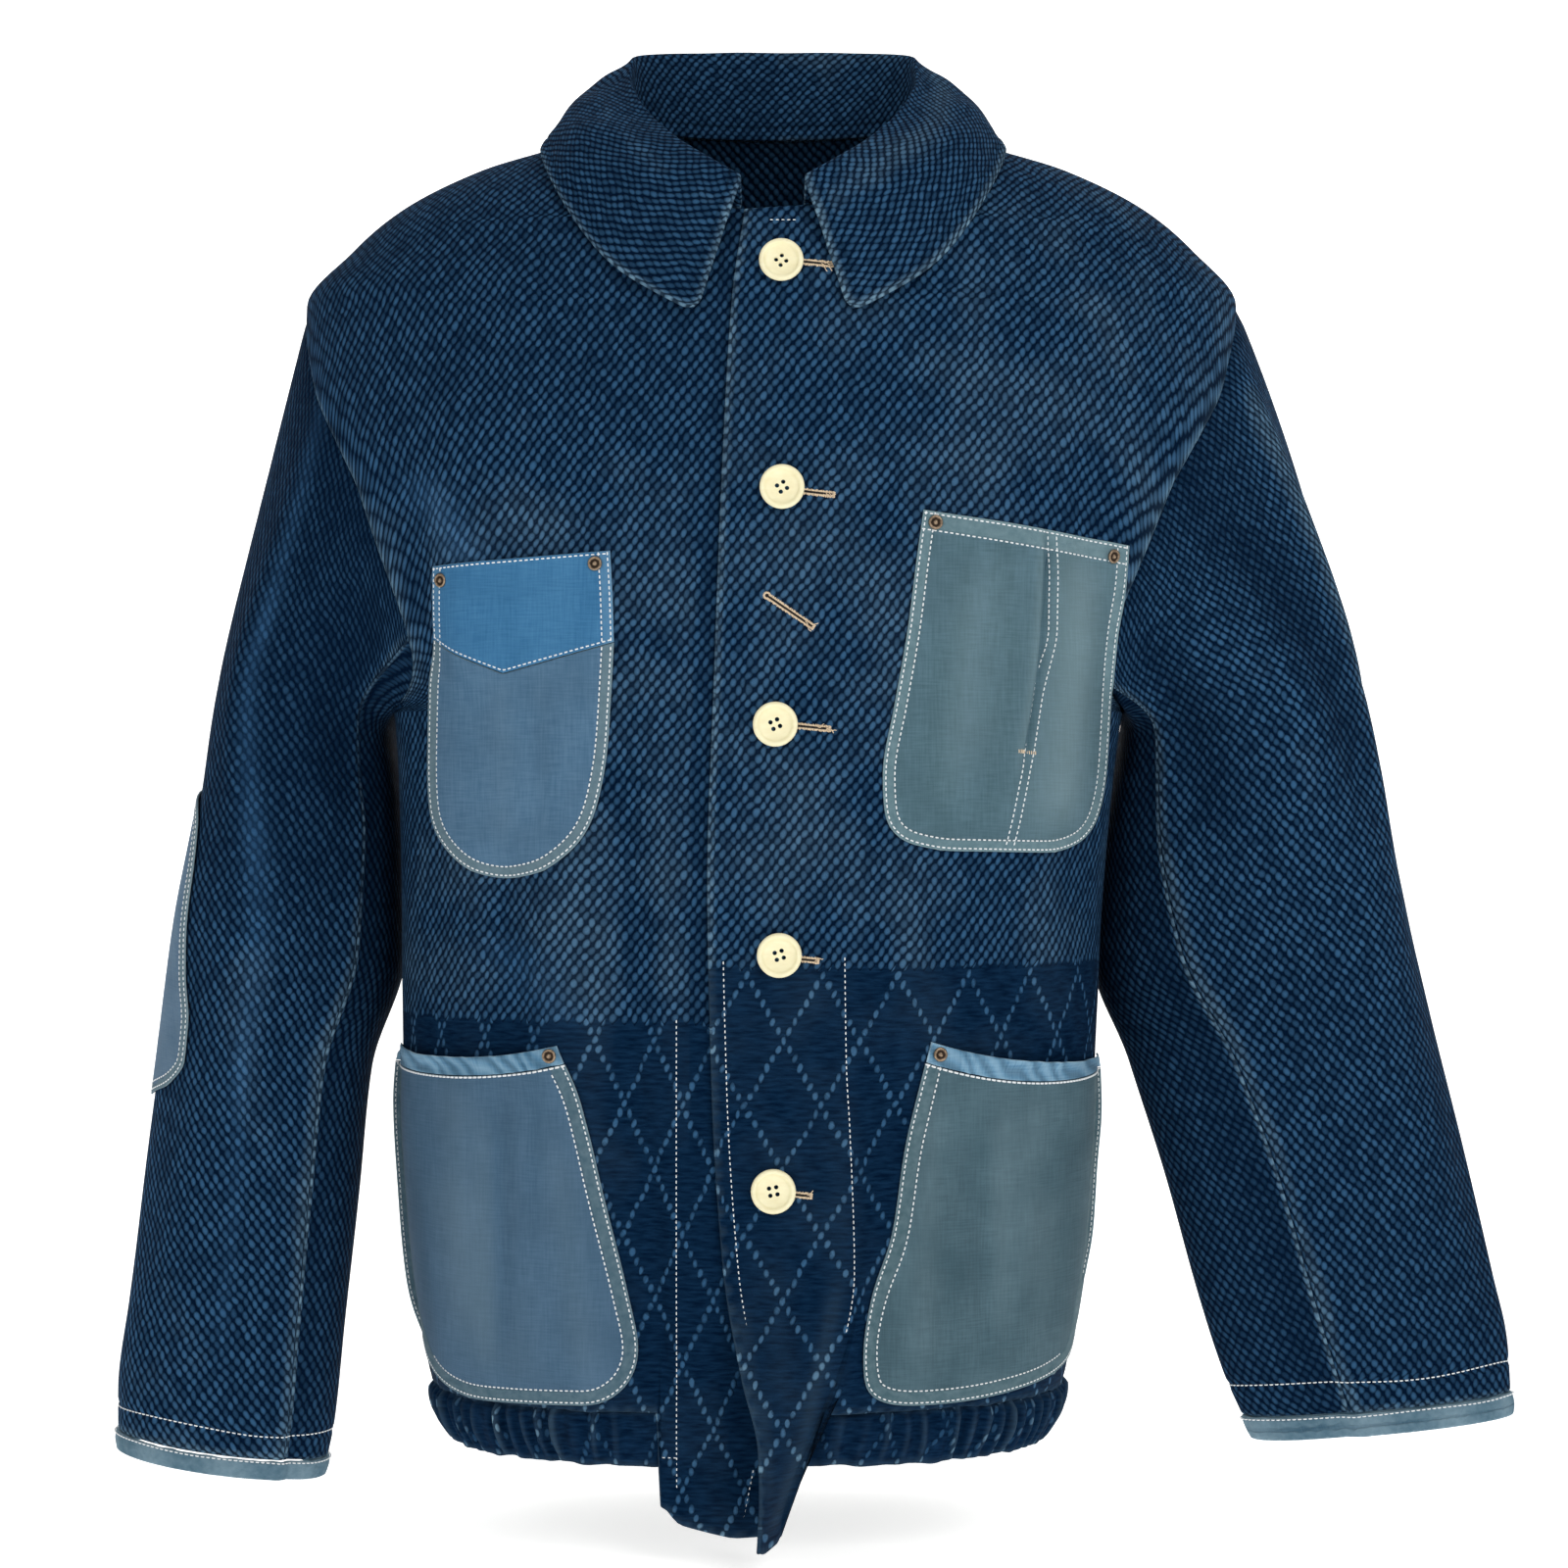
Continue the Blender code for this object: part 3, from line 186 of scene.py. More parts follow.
ELBOW_PATCH = table(
    "along front back",
    (0.315, -2, -58),
    (0.328, 22, -74),
    (0.35, 32, -84),
    (0.4, 37, -91),
    (0.45, 38, -94),
    (0.5, 41, -94),
    (0.55, 49, -90),
    (0.59, 50, -80),
    (0.618, 36, -66),
    (0.635, 8, -46),
)
COLLAR = table(
    "along roll_x roll_y roll_z edge_turn edge_z swell",
    (0.0, 0.0155, -0.113, -0.052, 7.6, -0.1225, 0.001),
    (0.12, 0.03, -0.102, -0.042, 13.8, -0.1085, 0.004),
    (0.27, 0.047, -0.08, -0.028, 22.6, -0.085, 0.008),
    (0.42, 0.064, -0.046, -0.008, 35.0, -0.052, 0.012),
    (0.5, 0.071, -0.026, 0.005, 48.0, -0.0345, 0.01),
    (0.57, 0.075, -0.005, 0.017, 64.0, -0.0255, 0.009),
    (0.67, 0.074, 0.019, 0.032, 93.0, -0.0205, 0.008),
    (0.8, 0.056, 0.048, 0.04, 130.0, -0.0195, 0.009),
    (0.9, 0.031, 0.061, 0.043, 155.0, -0.019, 0.009),
    (1.0, 0.0, 0.065, 0.044, 180.0, -0.019, 0.009),
)
BUTTONS = table(
    "x height",
    (0.0161, -0.0955),
    (0.0165, -0.2072),
    (0.0132, -0.3228),
    (0.0151, -0.4355),
    (0.0122, -0.5508),
)
POCKET_COLUMNS = "first_x first_z last_x last_z sag"
CHEST_RIGHT_TOP = table(
    POCKET_COLUMNS,
    (-0.1565, -0.2438, -0.0675, -0.2377, 0.0),
    (-0.1578, -0.2616, -0.0663, -0.26, 0.007),
    (-0.1588, -0.28, -0.0656, -0.2824, 0.016),
)
CHEST_RIGHT = table(
    POCKET_COLUMNS,
    (-0.1588, -0.2803, -0.0656, -0.2827, 0.016),
    (-0.1606, -0.3125, -0.067, -0.3088, 0.01),
    (-0.1613, -0.3471, -0.069, -0.3352, 0.008),
    (-0.1596, -0.3693, -0.0743, -0.364, 0.008),
    (-0.1519, -0.3839, -0.0825, -0.3818, 0.008),
    (-0.1386, -0.3959, -0.0981, -0.3953, 0.004),
)
CHEST_LEFT = table(
    POCKET_COLUMNS,
    (0.0857, -0.2175, 0.19, -0.2325, 0.0),
    (0.0823, -0.2415, 0.1888, -0.2536, 0.0),
    (0.078, -0.2752, 0.184, -0.2828, 0.0),
    (0.0713, -0.3136, 0.1826, -0.3171, 0.0),
    (0.0655, -0.3472, 0.1809, -0.347, 0.0),
    (0.0669, -0.3688, 0.1758, -0.3694, 0.0),
    (0.0751, -0.3799, 0.1657, -0.3816, 0.0),
    (0.0946, -0.3848, 0.1523, -0.3863, 0.0),
)
HIP_RIGHT_BAND = table(
    POCKET_COLUMNS,
    (-0.18, -0.4862, -0.0922, -0.4805, 0.0045),
    (-0.184, -0.4958, -0.089, -0.4892, 0.0045),
)
HIP_RIGHT = table(
    POCKET_COLUMNS,
    (-0.184, -0.4961, -0.0887, -0.4895, 0.0045),
    (-0.1854, -0.5143, -0.0831, -0.5041, 0.002),
    (-0.1829, -0.5632, -0.0705, -0.5558, 0.0),
    (-0.1782, -0.6125, -0.0584, -0.6048, 0.0),
    (-0.1661, -0.6457, -0.0536, -0.6308, 0.002),
    (-0.1541, -0.6555, -0.0594, -0.6471, 0.004),
    (-0.1396, -0.6596, -0.073, -0.6571, 0.0),
)
HIP_LEFT_BAND = table(
    POCKET_COLUMNS,
    (0.0888, -0.4788, 0.18, -0.4922, 0.004),
    (0.0869, -0.4888, 0.1815, -0.4994, 0.0055),
)
HIP_LEFT = table(
    POCKET_COLUMNS,
    (0.0866, -0.4891, 0.1815, -0.4997, 0.0055),
    (0.0825, -0.5061, 0.1822, -0.5213, 0.002),
    (0.0767, -0.5316, 0.18, -0.5487, 0.0),
    (0.0704, -0.5742, 0.1775, -0.5864, 0.0),
    (0.0598, -0.605, 0.1735, -0.6076, 0.0),
    (0.0555, -0.6309, 0.169, -0.6339, 0.0),
    (0.0574, -0.6501, 0.1659, -0.644, 0.0),
    (0.07, -0.657, 0.1536, -0.6505, 0.003),
)


def smooth(at: Array | float, xs: Array, ys: Array) -> Array:
    """A cubic through rows of values that never overshoots them, held level past both ends.

    Args:
        at: Where to read it.
        xs: The rows' places, rising.
        ys: The rows' values.

    Returns:
        The values there.
    """
    at = np.clip(np.asarray(at, float), xs[0], xs[-1])
    ys = np.asarray(ys, float)
    extra = (1,) * (ys.ndim - 1)
    step = np.diff(xs).reshape((-1,) + extra)
    slope = np.diff(ys, axis=0) / step
    product = slope[:-1] * slope[1:]
    total = slope[:-1] + slope[1:]
    inner = np.where(product > 0, 2 * product / np.where(total == 0, 1, total), 0)
    tangent = np.concatenate([slope[:1], inner, slope[-1:]])
    row = np.clip(np.searchsorted(xs, at, side="right") - 1, 0, len(xs) - 2)
    u = ((at - xs[row]) / np.diff(xs)[row]).reshape(at.shape + extra)
    low, high, width = ys[row], ys[row + 1], step[row]
    return (
        low * (2 * u**3 - 3 * u**2 + 1)
        + high * (3 * u**2 - 2 * u**3)
        + tangent[row] * width * (u**3 - 2 * u**2 + u)
        + tangent[row + 1] * width * (u**3 - u**2)
    )


def read(rows: Table, column: str, at: Array | float) -> Array:
    """A column of a table at any value of its first column."""
    return smooth(at, next(iter(rows.values())), rows[column])


def ease(x: Array | float) -> Array:
    """0 below 0, 1 above 1, and smooth between."""
    x = np.clip(x, 0, 1)
    return x * x * (3 - 2 * x)


def unit(v: Array) -> Array:
    """Vectors of length 1."""
    return v / np.maximum(np.linalg.norm(v, axis=-1, keepdims=True), 1e-12)


def bell(x: Array) -> Array:
    """A bell curve, 1 at 0."""
    return np.exp(-(x**2))


def travelled(points: Array, axis: int = 0) -> Array:
    """Distance along lines of points, from the first of each."""
    steps = np.linalg.norm(np.diff(points, axis=axis), axis=-1)
    return np.insert(np.cumsum(steps, axis=axis), 0, 0.0, axis=axis)


def between(at: Array, places: Array, rows: Array) -> Array:
    """Rows of numbers read at and between their places."""
    return np.stack([np.interp(at, places, column) for column in rows.T], axis=-1)


def blurred(line: Array, weights: Array) -> Array:
    """A padded line of points, each the weighted mean of its neighbours."""
    return np.stack([np.convolve(column, weights / weights.sum(), "valid") for column in line.T], axis=-1)


def bilinear(values: Array, row: Array, column: Array) -> Array:
    """A grid of numbers or vectors read between its rows and columns."""
    i, j = row.astype(int), column.astype(int)
    s, t = (part.reshape(part.shape + (1,) * (values.ndim - 2)) for part in (row - i, column - j))
    low, high = (values[k, j] * (1 - t) + values[k, j + 1] * t for k in (i, i + 1))
    return low * (1 - s) + high * s


def spline(points: Array, count: int) -> Array:
    """A Catmull-Rom curve of a number of points through those along the second axis."""
    ends = 2 * points[:, :1] - points[:, 1:2], 2 * points[:, -1:] - points[:, -2:-1]
    padded = np.concatenate([ends[0], points, ends[1]], axis=1)
    at = np.linspace(0, points.shape[1] - 1, count)
    knot = np.minimum(at.astype(int), points.shape[1] - 2)
    u = (at - knot)[None, :, None]
    a, b, c, d = (padded[:, knot + k] for k in range(4))
    return 0.5 * (2 * b + (c - a) * u + (2 * a - 5 * b + 4 * c - d) * u**2 + (3 * b - a - 3 * c + d) * u**3)


class Profile(Enum):
    """How a crease's height runs across its line."""

    ROLL = "one rounded ridge or trough"
    TUCK = "a ridge beside a trough"


@dataclass(frozen=True)
class Crease:
    """A soft fold along a line between two places on a cloth, or a streak along one: pale wear when its depth
    is above zero, painted shade below.
    """

    top: tuple[float, float]
    low: tuple[float, float]
    width: float
    depth: float
    profile: Profile = Profile.ROLL
    bow: float = 0.0

    def height(self, across: Array, up: Array) -> Array:
        """How far it moves the cloth out, or how strong its pale wear or painted shade is, at places across
        and up.

        Across its line a roll is a bell curve and a tuck is that curve times the distance, and both
        fade out over the line's last third at each end.
        """
        down = (self.top[1] - up) / (self.top[1] - self.low[1])
        inside = np.clip(down, 0, 1)
        line = self.top[0] + (self.low[0] - self.top[0]) * inside + self.bow * 4 * inside * (1 - inside)
        ends = ease(down / 0.3 + 0.5) * ease((1 - down) / 0.3 + 0.5)
        t = (across - line) / self.width
        return self.depth * ends * (bell(t) if self.profile is Profile.ROLL else t * bell(t) * 2.33)


def total(parts: tuple[Crease, ...], across: Array, up: Array) -> Array:
    """The sum of creases or streaks at places across and up."""
    return sum((part.height(across, up) for part in parts), np.zeros(np.broadcast(across, up).shape))


MAIN_FRONT_FOLDS = (
    Crease((-0.15, -0.16), (-0.14, -0.3), 0.022, 0.004),
    Crease((-0.172, -0.29), (-0.16, -0.44), 0.016, -0.0045),
    Crease((-0.09, -0.38), (-0.098, -0.5), 0.018, 0.0045),
    Crease((-0.062, -0.48), (-0.045, -0.66), 0.013, -0.005),
    Crease((0.16, -0.28), (0.172, -0.44), 0.016, -0.0045),
    Crease((0.062, -0.38), (0.066, -0.5), 0.016, 0.004),
    Crease((0.07, -0.49), (0.056, -0.65), 0.012, -0.0045),
    Crease((0.13, -0.12), (0.12, -0.24), 0.024, 0.003),
)
MAIN_BACK_FOLDS = (
    Crease((-0.11, -0.2), (-0.09, -0.64), 0.022, 0.005),
    Crease((-0.05, -0.42), (-0.045, -0.67), 0.016, -0.004),
    Crease((0.035, -0.38), (0.045, -0.67), 0.018, 0.0045),
    Crease((0.115, -0.22), (0.095, -0.64), 0.022, 0.005),
)


@dataclass
class BodyForm:
    """The jacket's hollow body as level sections, each a superellipse whose front and back differ.

    The angle is 0 at the centre front and 90 degrees at the wearer's left side.
    """

    sections: Table = field(default_factory=lambda: BODY)
    armholes: Table = field(default_factory=lambda: ARMHOLE)
    front_folds: tuple[Crease, ...] = MAIN_FRONT_FOLDS
    back_folds: tuple[Crease, ...] = MAIN_BACK_FOLDS
    gathers: int = 88
    gather_depth: float = 0.0018

    def __post_init__(self) -> None:
        """Works out once how far round the body each angle is, for the cloth's map."""
        self.gather_start = float(self.angle_at(CASING_TOP, read(EDGE_LEFT, "facing", CASING_TOP) + 0.007))
        end = self.angle_at(CASING_TOP, read(EDGE_RIGHT, "facing", CASING_TOP) + 0.007)
        self.gather_end = 2 * math.pi - float(end)
        self.heights = np.linspace(-0.735, NECK_POINT, 110)
        self.angles = np.linspace(0, 2 * math.pi, 361)
        self.around = travelled(self.surface(self.heights[:, None], self.angles[None]), 1)

    def get(self, column: str, height: Array | float) -> Array:
        """One of the sections' sizes at a height."""
        return read(self.sections, column, height)

    def folds(self, x: Array, height: Array, front: Array) -> Array:
        """How far the folds move the cloth out, at places across from the leaning centre line."""
        return np.where(front, total(self.front_folds, x, height), total(self.back_folds, x, height))

    def surface(self, height: Array | float, angle: Array | float) -> Array:
        """Points of the outer surface.

        x is the half width times the sine of the angle to the power 2 over the section's power, y the
        reach of the front or back times the cosine so treated, and folds push it along the radius.

        Args:
            height: Heights.
            angle: Angles, of a shape that fits the heights.

        Returns:
            Points.
        """
        height, angle = np.broadcast_arrays(np.asarray(height, float), np.asarray(angle, float))
        share = 2 / self.get("power", height)
        across, along = np.sin(angle), np.cos(angle)
        reach = np.where(along > 0, self.get("front", height), self.get("back", height))
        x = self.get("half_width", height) * np.sign(across) * np.abs(across) ** share
        y = -reach * np.sign(along) * np.abs(along) ** share
        out = self.folds(x, height, along > 0) * np.abs(along) ** 0.5
        lean = self.get("lean", height)
        return np.stack([x + lean + out * across, y - out * along, height], axis=-1)

    def normal(self, height: Array | float, angle: Array | float) -> Array:
        """Outward unit normals, from small steps along the surface."""
        height, angle = np.asarray(height, float), np.asarray(angle, float)
        round_it = self.surface(height, angle + 1e-3) - self.surface(height, angle - 1e-3)
        up_it = self.surface(height, angle) - self.surface(height - 5e-4, angle)
        return unit(np.cross(round_it, up_it))

    def angle_at(self, height: Array | float, x: Array | float) -> Array:
        """The front's angle at a place across, measured from the leaning centre line."""
        share = np.clip(np.abs(x) / self.get("half_width", height), 0, 1)
        return np.arcsin(share ** (self.get("power", height) / 2)) * np.sign(x)

    def seam_angle(self, height: Array | float, which: str, under: float = 0.0) -> Array:
        """The angle of a panel's outer seam, which is the armhole or the side line.

        Args:
            height: Heights.
            which: "front" or "back".
            under: How many metres it goes past the armhole, under the sleeve's head.

        Returns:
            The angles. At the side line the two panels' rolled edges just meet.
        """
        power = self.get("power", height)
        share = read(self.armholes, which, height) + under / self.get("half_width", height)
        armhole = np.arcsin(np.clip(share, 0, 1) ** (power / 2))
        return np.minimum(math.pi / 2 + 0.0006, armhole + (share >= 1) * 0.0006)

    def girth(self, height: Array, angle: Array) -> Array:
        """Metres round the body from the centre front, signed as the angle is."""
        height, angle = np.broadcast_arrays(np.asarray(height, float), np.asarray(angle, float))
        row = np.clip((height - self.heights[0]) / (self.heights[1] - self.heights[0]), 0, 108.999)
        column = np.clip(np.abs(angle) / (self.angles[1] - self.angles[0]), 0, 359.999)
        return bilinear(self.around, row, column) * np.sign(angle)

    def phase(self, angle: Array) -> Array:
        """How many gathers round from the first one a place is."""
        turn = np.mod(angle, 2 * math.pi)
        return (turn - self.gather_start) / (self.gather_end - self.gather_start) * self.gathers

    def gather_wave(self, angle: Array) -> Array:
        """The casing's gathers as a wave round the body, -1 at a trough and 1 at a crest."""
        phase = self.phase(angle)
        inside = ease(phase / 1.5) * ease((self.gathers - phase) / 1.5)
        return -np.cos(phase * math.pi * 2) * inside

    def gather_ripple(self, height: Array, angle: Array) -> Array:
        """Short ripples that rise from the gathers into the panels, and long ones among them.

        The gathers' own wave dies away over about 25 mm, and a slower, uneven one over about 70 mm.
        """
        phase = self.phase(angle)
        inside = ease(phase / 3) * ease((self.gathers - phase) / 3)
        above = np.maximum(height - CASING_TOP, 0)
        short = 0.001 * self.gather_wave(angle) * np.exp(-above / 0.02)
        uneven = np.sin(phase * 1.55 + 1.3) + 0.7 * np.sin(phase * 0.83 + 0.4) + 0.5 * np.sin(phase * 2.6)
        return inside * (short + 0.0011 * uneven * np.exp(-above / 0.06))


@dataclass
class Surface:
    """A cloth's outer points as rows by columns, with its map, its wear and its painted shade and highlight.
    """

    points: Array
    normals: Array
    weave: Array
    # Above zero paler, for rubbed wear and painted highlight; below zero darker, which is painted shade.
    wear: Array | float
    tint: Array | float = 0.0
    hem: Array | None = None

    def __post_init__(self) -> None:
        """Spreads the wear and painted shade, and the tint, over the whole grid."""
        shape = self.points.shape[:2]
        self.wear, self.tint = np.broadcast_to(self.wear, shape), np.broadcast_to(self.tint, shape)

    def flipped(self) -> "Surface":
        """The same surface with its columns in the other order."""
        parts = (self.points, self.normals, self.weave, self.wear, self.tint, self.hem)
        return Surface(*(None if part is None else part[:, ::-1] for part in parts))


def waist_level(points: Array, heights: Array) -> Array:
    """Each point's place along the cut: metres up its own column, level with the others at the waist."""
    along = travelled(points[..., 1:])
    level = np.argmin(np.abs(heights[:, 0] - WAIST))
    return along - along[level] + heights[level]


def grid_normals(points: Array, side: float = 1.0) -> Array:
    """Unit normals of a grid, from its neighbouring points: across its columns times up its rows."""
    return unit(np.cross(np.gradient(points, axis=1), np.gradient(points, axis=0))) * side


def nearest(points: Array, border: Array) -> Array:
    """How far each point is from the nearest of a line of points."""
    flat = points.reshape(-1, 3)
    found = [
        np.sqrt(np.min(np.sum((part[:, None] - border[None]) ** 2, axis=-1), axis=1))
        for part in np.array_split(flat, max(1, len(flat) * len(border) // 2_000_000))
    ]
    return np.concatenate(found).reshape(points.shape[:-1])


def make_mesh(name: str, points: Array, quads: Array, maps: Array | None = None) -> Piece:
    """A mesh object from arrays.

    Args:
        name: Its name.
        points: Vertices.
        quads: Faces by 4 vertex numbers. A triangle repeats its last number.
        maps: Faces by 4 by 2, the map's places, if it has one.

    Returns:
        The object, in the scene.
    """
    mesh = bpy.data.meshes.new(name)
    corners = np.ones(quads.shape, bool)
    corners[:, 3] = quads[:, 3] != quads[:, 2]
    sizes = corners.sum(axis=1)
    mesh.vertices.add(len(points))
    mesh.vertices.foreach_set("co", np.ascontiguousarray(points, np.float32).ravel())
    mesh.loops.add(int(sizes.sum()))
    mesh.loops.foreach_set("vertex_index", quads[corners].astype(np.int32))
    mesh.polygons.add(len(quads))
    mesh.polygons.foreach_set("loop_start", np.concatenate([[0], np.cumsum(sizes)[:-1]]).astype(np.int32))
    mesh.polygons.foreach_set("loop_total", sizes.astype(np.int32))
    if maps is not None:
        layer = mesh.uv_layers.new(name="weave")
        layer.data.foreach_set("uv", maps[corners].astype(np.float32).ravel())
    mesh.update(calc_edges=True)
    mesh.validate()
    mesh.shade_smooth()
    obj = bpy.data.objects.new(name, mesh)
    bpy.context.scene.collection.objects.link(obj)
    return obj


def set_fields(obj: Piece, fields: dict[str, Array]) -> None:
    """Keeps a number for each vertex under each name."""
    for name, values in fields.items():
        made = obj.data.attributes.new(name, "FLOAT", "POINT")
        made.data.foreach_set("value", np.ascontiguousarray(values, np.float32).ravel())


def cloth_shell(name: str, surface: Surface, thickness: Array | float, closed: bool = False) -> Piece:
    """A closed thin shell with rolled edges.

    The outer points are moved in by the thickness along their normals, and where the cloth ends a
    half circle of that thickness joins the two walls, set back so that the edge stays in its place.

    Args:
        name: The object's name.
        surface: The outer surface. A closed one has its first column again as the last.
        thickness: The cloth's thickness, one number or one a point.
        closed: Whether the columns meet.

    Returns:
        The object.
    """
    probe = np.cross(
        surface.points[:-1, 1:] - surface.points[:-1, :-1], surface.points[1:, :-1] - surface.points[:-1, :-1]
    )
    if np.sum(probe * surface.normals[:-1, :-1]) < 0:
        surface = surface.flipped()
    outer, normals = surface.points.copy(), surface.normals
    rows, columns = outer.shape[:2]
    used = columns - 1 if closed else columns
    inner = outer - normals * (thickness if np.isscalar(thickness) else thickness[..., None])
    top = np.array([(0, j) for j in range(used)])
    foot = np.array([(rows - 1, j) for j in range(used)][::-1])
    if closed:
        loops = [top, foot]
    else:
        right = np.array([(i, columns - 1) for i in range(1, rows - 1)])
        left = np.array([(i, 0) for i in range(rows - 2, 0, -1)])
        loops = [np.concatenate([top, right, foot, left])]
    border = outer[tuple(np.concatenate(loops).T)]
    edge = nearest(outer, border[::2]) if surface.hem is None else surface.hem
    ways = []
    for loop in loops:
        i, j = loop.T
        way = np.zeros((len(loop), 3))
        sides = [(i == 0, 1, j), (i == rows - 1, rows - 2, j)]
        if not closed:
            sides += [(j == 0, i, 1), (j == columns - 1, i, columns - 2)]
        for at, *near in sides:
            row, column = (np.broadcast_to(part, i.shape)[at] for part in near)
            way[at] += unit(outer[i[at], j[at]] - outer[row, column])
        room = np.minimum(1.0, 0.45 * np.linalg.norm(
            outer[i, j] - outer[np.clip(i, 1, rows - 2), j if closed else np.clip(j, 1, columns - 2)], axis=1
        ) / (np.linalg.norm(outer[i, j] - inner[i, j], axis=1) / 2))
        ways.append((unit(way), room))
    steps = 4
    rims = []
    for loop, (way, room) in zip(loops, ways):
        i, j = loop.T
        half = (outer[i, j] - inner[i, j]) / 2
        reach = way * (np.linalg.norm(half, axis=1) * room)[:, None]
        middle = (outer[i, j] + inner[i, j]) / 2 - reach
        outer[i, j], inner[i, j] = middle + half, middle - half
        turn = np.linspace(0, math.pi, steps + 1)[1:-1, None, None]
        rims.append(middle + half * np.cos(turn) + reach * np.sin(turn))
    count = rows * used
    points = [outer[:, :used].reshape(-1, 3), inner[:, :used].reshape(-1, 3)]
    i, j = np.meshgrid(np.arange(rows - 1), np.arange(columns - 1), indexing="ij")
    i, j = i.ravel(), j.ravel()
    corner = np.stack([np.stack([i + a, j + b], 1) for a, b in ((0, 0), (0, 1), (1, 1), (1, 0))], 1)
    numbers = corner[..., 0] * used + corner[..., 1] % used
    uv = surface.weave[corner[..., 0], corner[..., 1]]
    quads, maps = [numbers, numbers[:, ::-1] + count], [uv, uv[:, ::-1]]
    fields = {
        "wear": [surface.wear[:, :used].ravel()] * 2,
        "tint": [surface.tint[:, :used].ravel()] * 2,
        "edge": [edge[:, :used].ravel(), edge[:, :used].ravel() + 0.02],
    }
    start = 2 * count
    for loop, rim in zip(loops, rims):
        size = len(loop)
        own = loop[:, 0] * used + loop[:, 1]
        rings = [own] + [start + k * size + np.arange(size) for k in range(steps - 1)] + [own + count]
        points.append(rim.reshape(-1, 3))
        start += (steps - 1) * size
        follow = np.roll(np.arange(size), -1)
        here = surface.weave[loop[:, 0], loop[:, 1]]
        ahead = surface.weave[loop[follow, 0], loop[follow, 1]]
        if closed:
            jump = 1 if loop[1, 1] > loop[0, 1] else -1
            beside = loop[:, 1] + 1 if jump > 0 else loop[:, 1] - 1 + used * (loop[:, 1] == 0)
            ahead = surface.weave[loop[:, 0], beside]
            here = np.where((jump < 0) & (loop[:, 1:2] == 0), surface.weave[loop[:, 0], -1], here)
        for ring, below in zip(rings[:-1], rings[1:]):
            quads.append(np.stack([ring[follow], ring, below, below[follow]], 1))
            maps.append(np.stack([ahead, here, here, ahead], 1))
        fields["wear"].append(np.tile(surface.wear[loop[:, 0], loop[:, 1]], steps - 1))
        fields["tint"].append(np.tile(surface.tint[loop[:, 0], loop[:, 1]], steps - 1))
        fields["edge"].append(np.zeros(size * (steps - 1)))
    obj = make_mesh(name, np.concatenate(points), np.concatenate(quads), np.concatenate(maps))
    set_fields(obj, {key: np.concatenate(values) for key, values in fields.items()})
    return obj


def linear(colour: str) -> tuple[float, float, float, float]:
    """An sRGB hex colour as linear red, green, blue and a solid alpha."""
    parts = [int(colour[k:k + 2], 16) / 255 for k in (1, 3, 5)]
    return (*(p / 12.92 if p <= 0.04045 else ((p + 0.055) / 1.055) ** 2.4 for p in parts), 1.0)


def add(
    tree: bpy.types.NodeTree, kind: str, settings: dict | None = None, links: dict | None = None
) -> bpy.types.Node:
    """Adds one node.

    Args:
        tree: Where it goes.
        kind: The node's type.
        settings: Its own properties.
        links: A value, socket, number, vector or hex colour for each input, by name or number.

    Returns:
        The node.
    """
    made = tree.nodes.new("ShaderNode" + kind)
    for name, value in (settings or {}).items():
        setattr(made, name, value)
    for name, value in (links or {}).items():
        value = getattr(value, "socket", value)
        if isinstance(value, bpy.types.NodeSocket):
            tree.links.new(value, made.inputs[name])
        else:
            made.inputs[name].default_value = linear(value) if isinstance(value, str) else value
    return made


@dataclass(frozen=True)
class Value:
    """A number that a material works out at each place, so that its formulas read as arithmetic."""

    socket: bpy.types.NodeSocket

    def by(self, operation: str, *others: "Value | float") -> "Value":
        """The result of one Math node whose first input is this number."""
        inputs = dict(enumerate((self, *others)))
        return Value(add(self.socket.id_data, "Math", {"operation": operation}, inputs).outputs[0])

    def __add__(self, other: "Value | float") -> "Value":
        """The sum."""
        return self.by("ADD", other)

    def __sub__(self, other: "Value | float") -> "Value":
        """The difference."""
        return self.by("SUBTRACT", other)

    def __rsub__(self, other: float) -> "Value":
        """A number less this one."""
        return self.by("MULTIPLY_ADD", -1.0, other)

    def __mul__(self, other: "Value | float") -> "Value":
        """The product."""
        return self.by("MULTIPLY", other)

    def __truediv__(self, other: "Value | float") -> "Value":
        """The quotient."""
        return self.by("DIVIDE", other)

    def clipped(self, low: float = 0.0, high: float = 1.0) -> "Value":
        """The number kept between two others."""
        return self.by("MAXIMUM", low).by("MINIMUM", high)

    def past(self, steps: int = 1) -> "Value":
        """How far it is past the nearest whole number, or the nearest of that many steps in one."""
        near = self.by("ROUND") if steps == 1 else (self * steps).by("ROUND") * (1 / steps)
        return self - near
PLANE = {"noise_dimensions": "2D"}
COLOURS = {"data_type": "RGBA"}


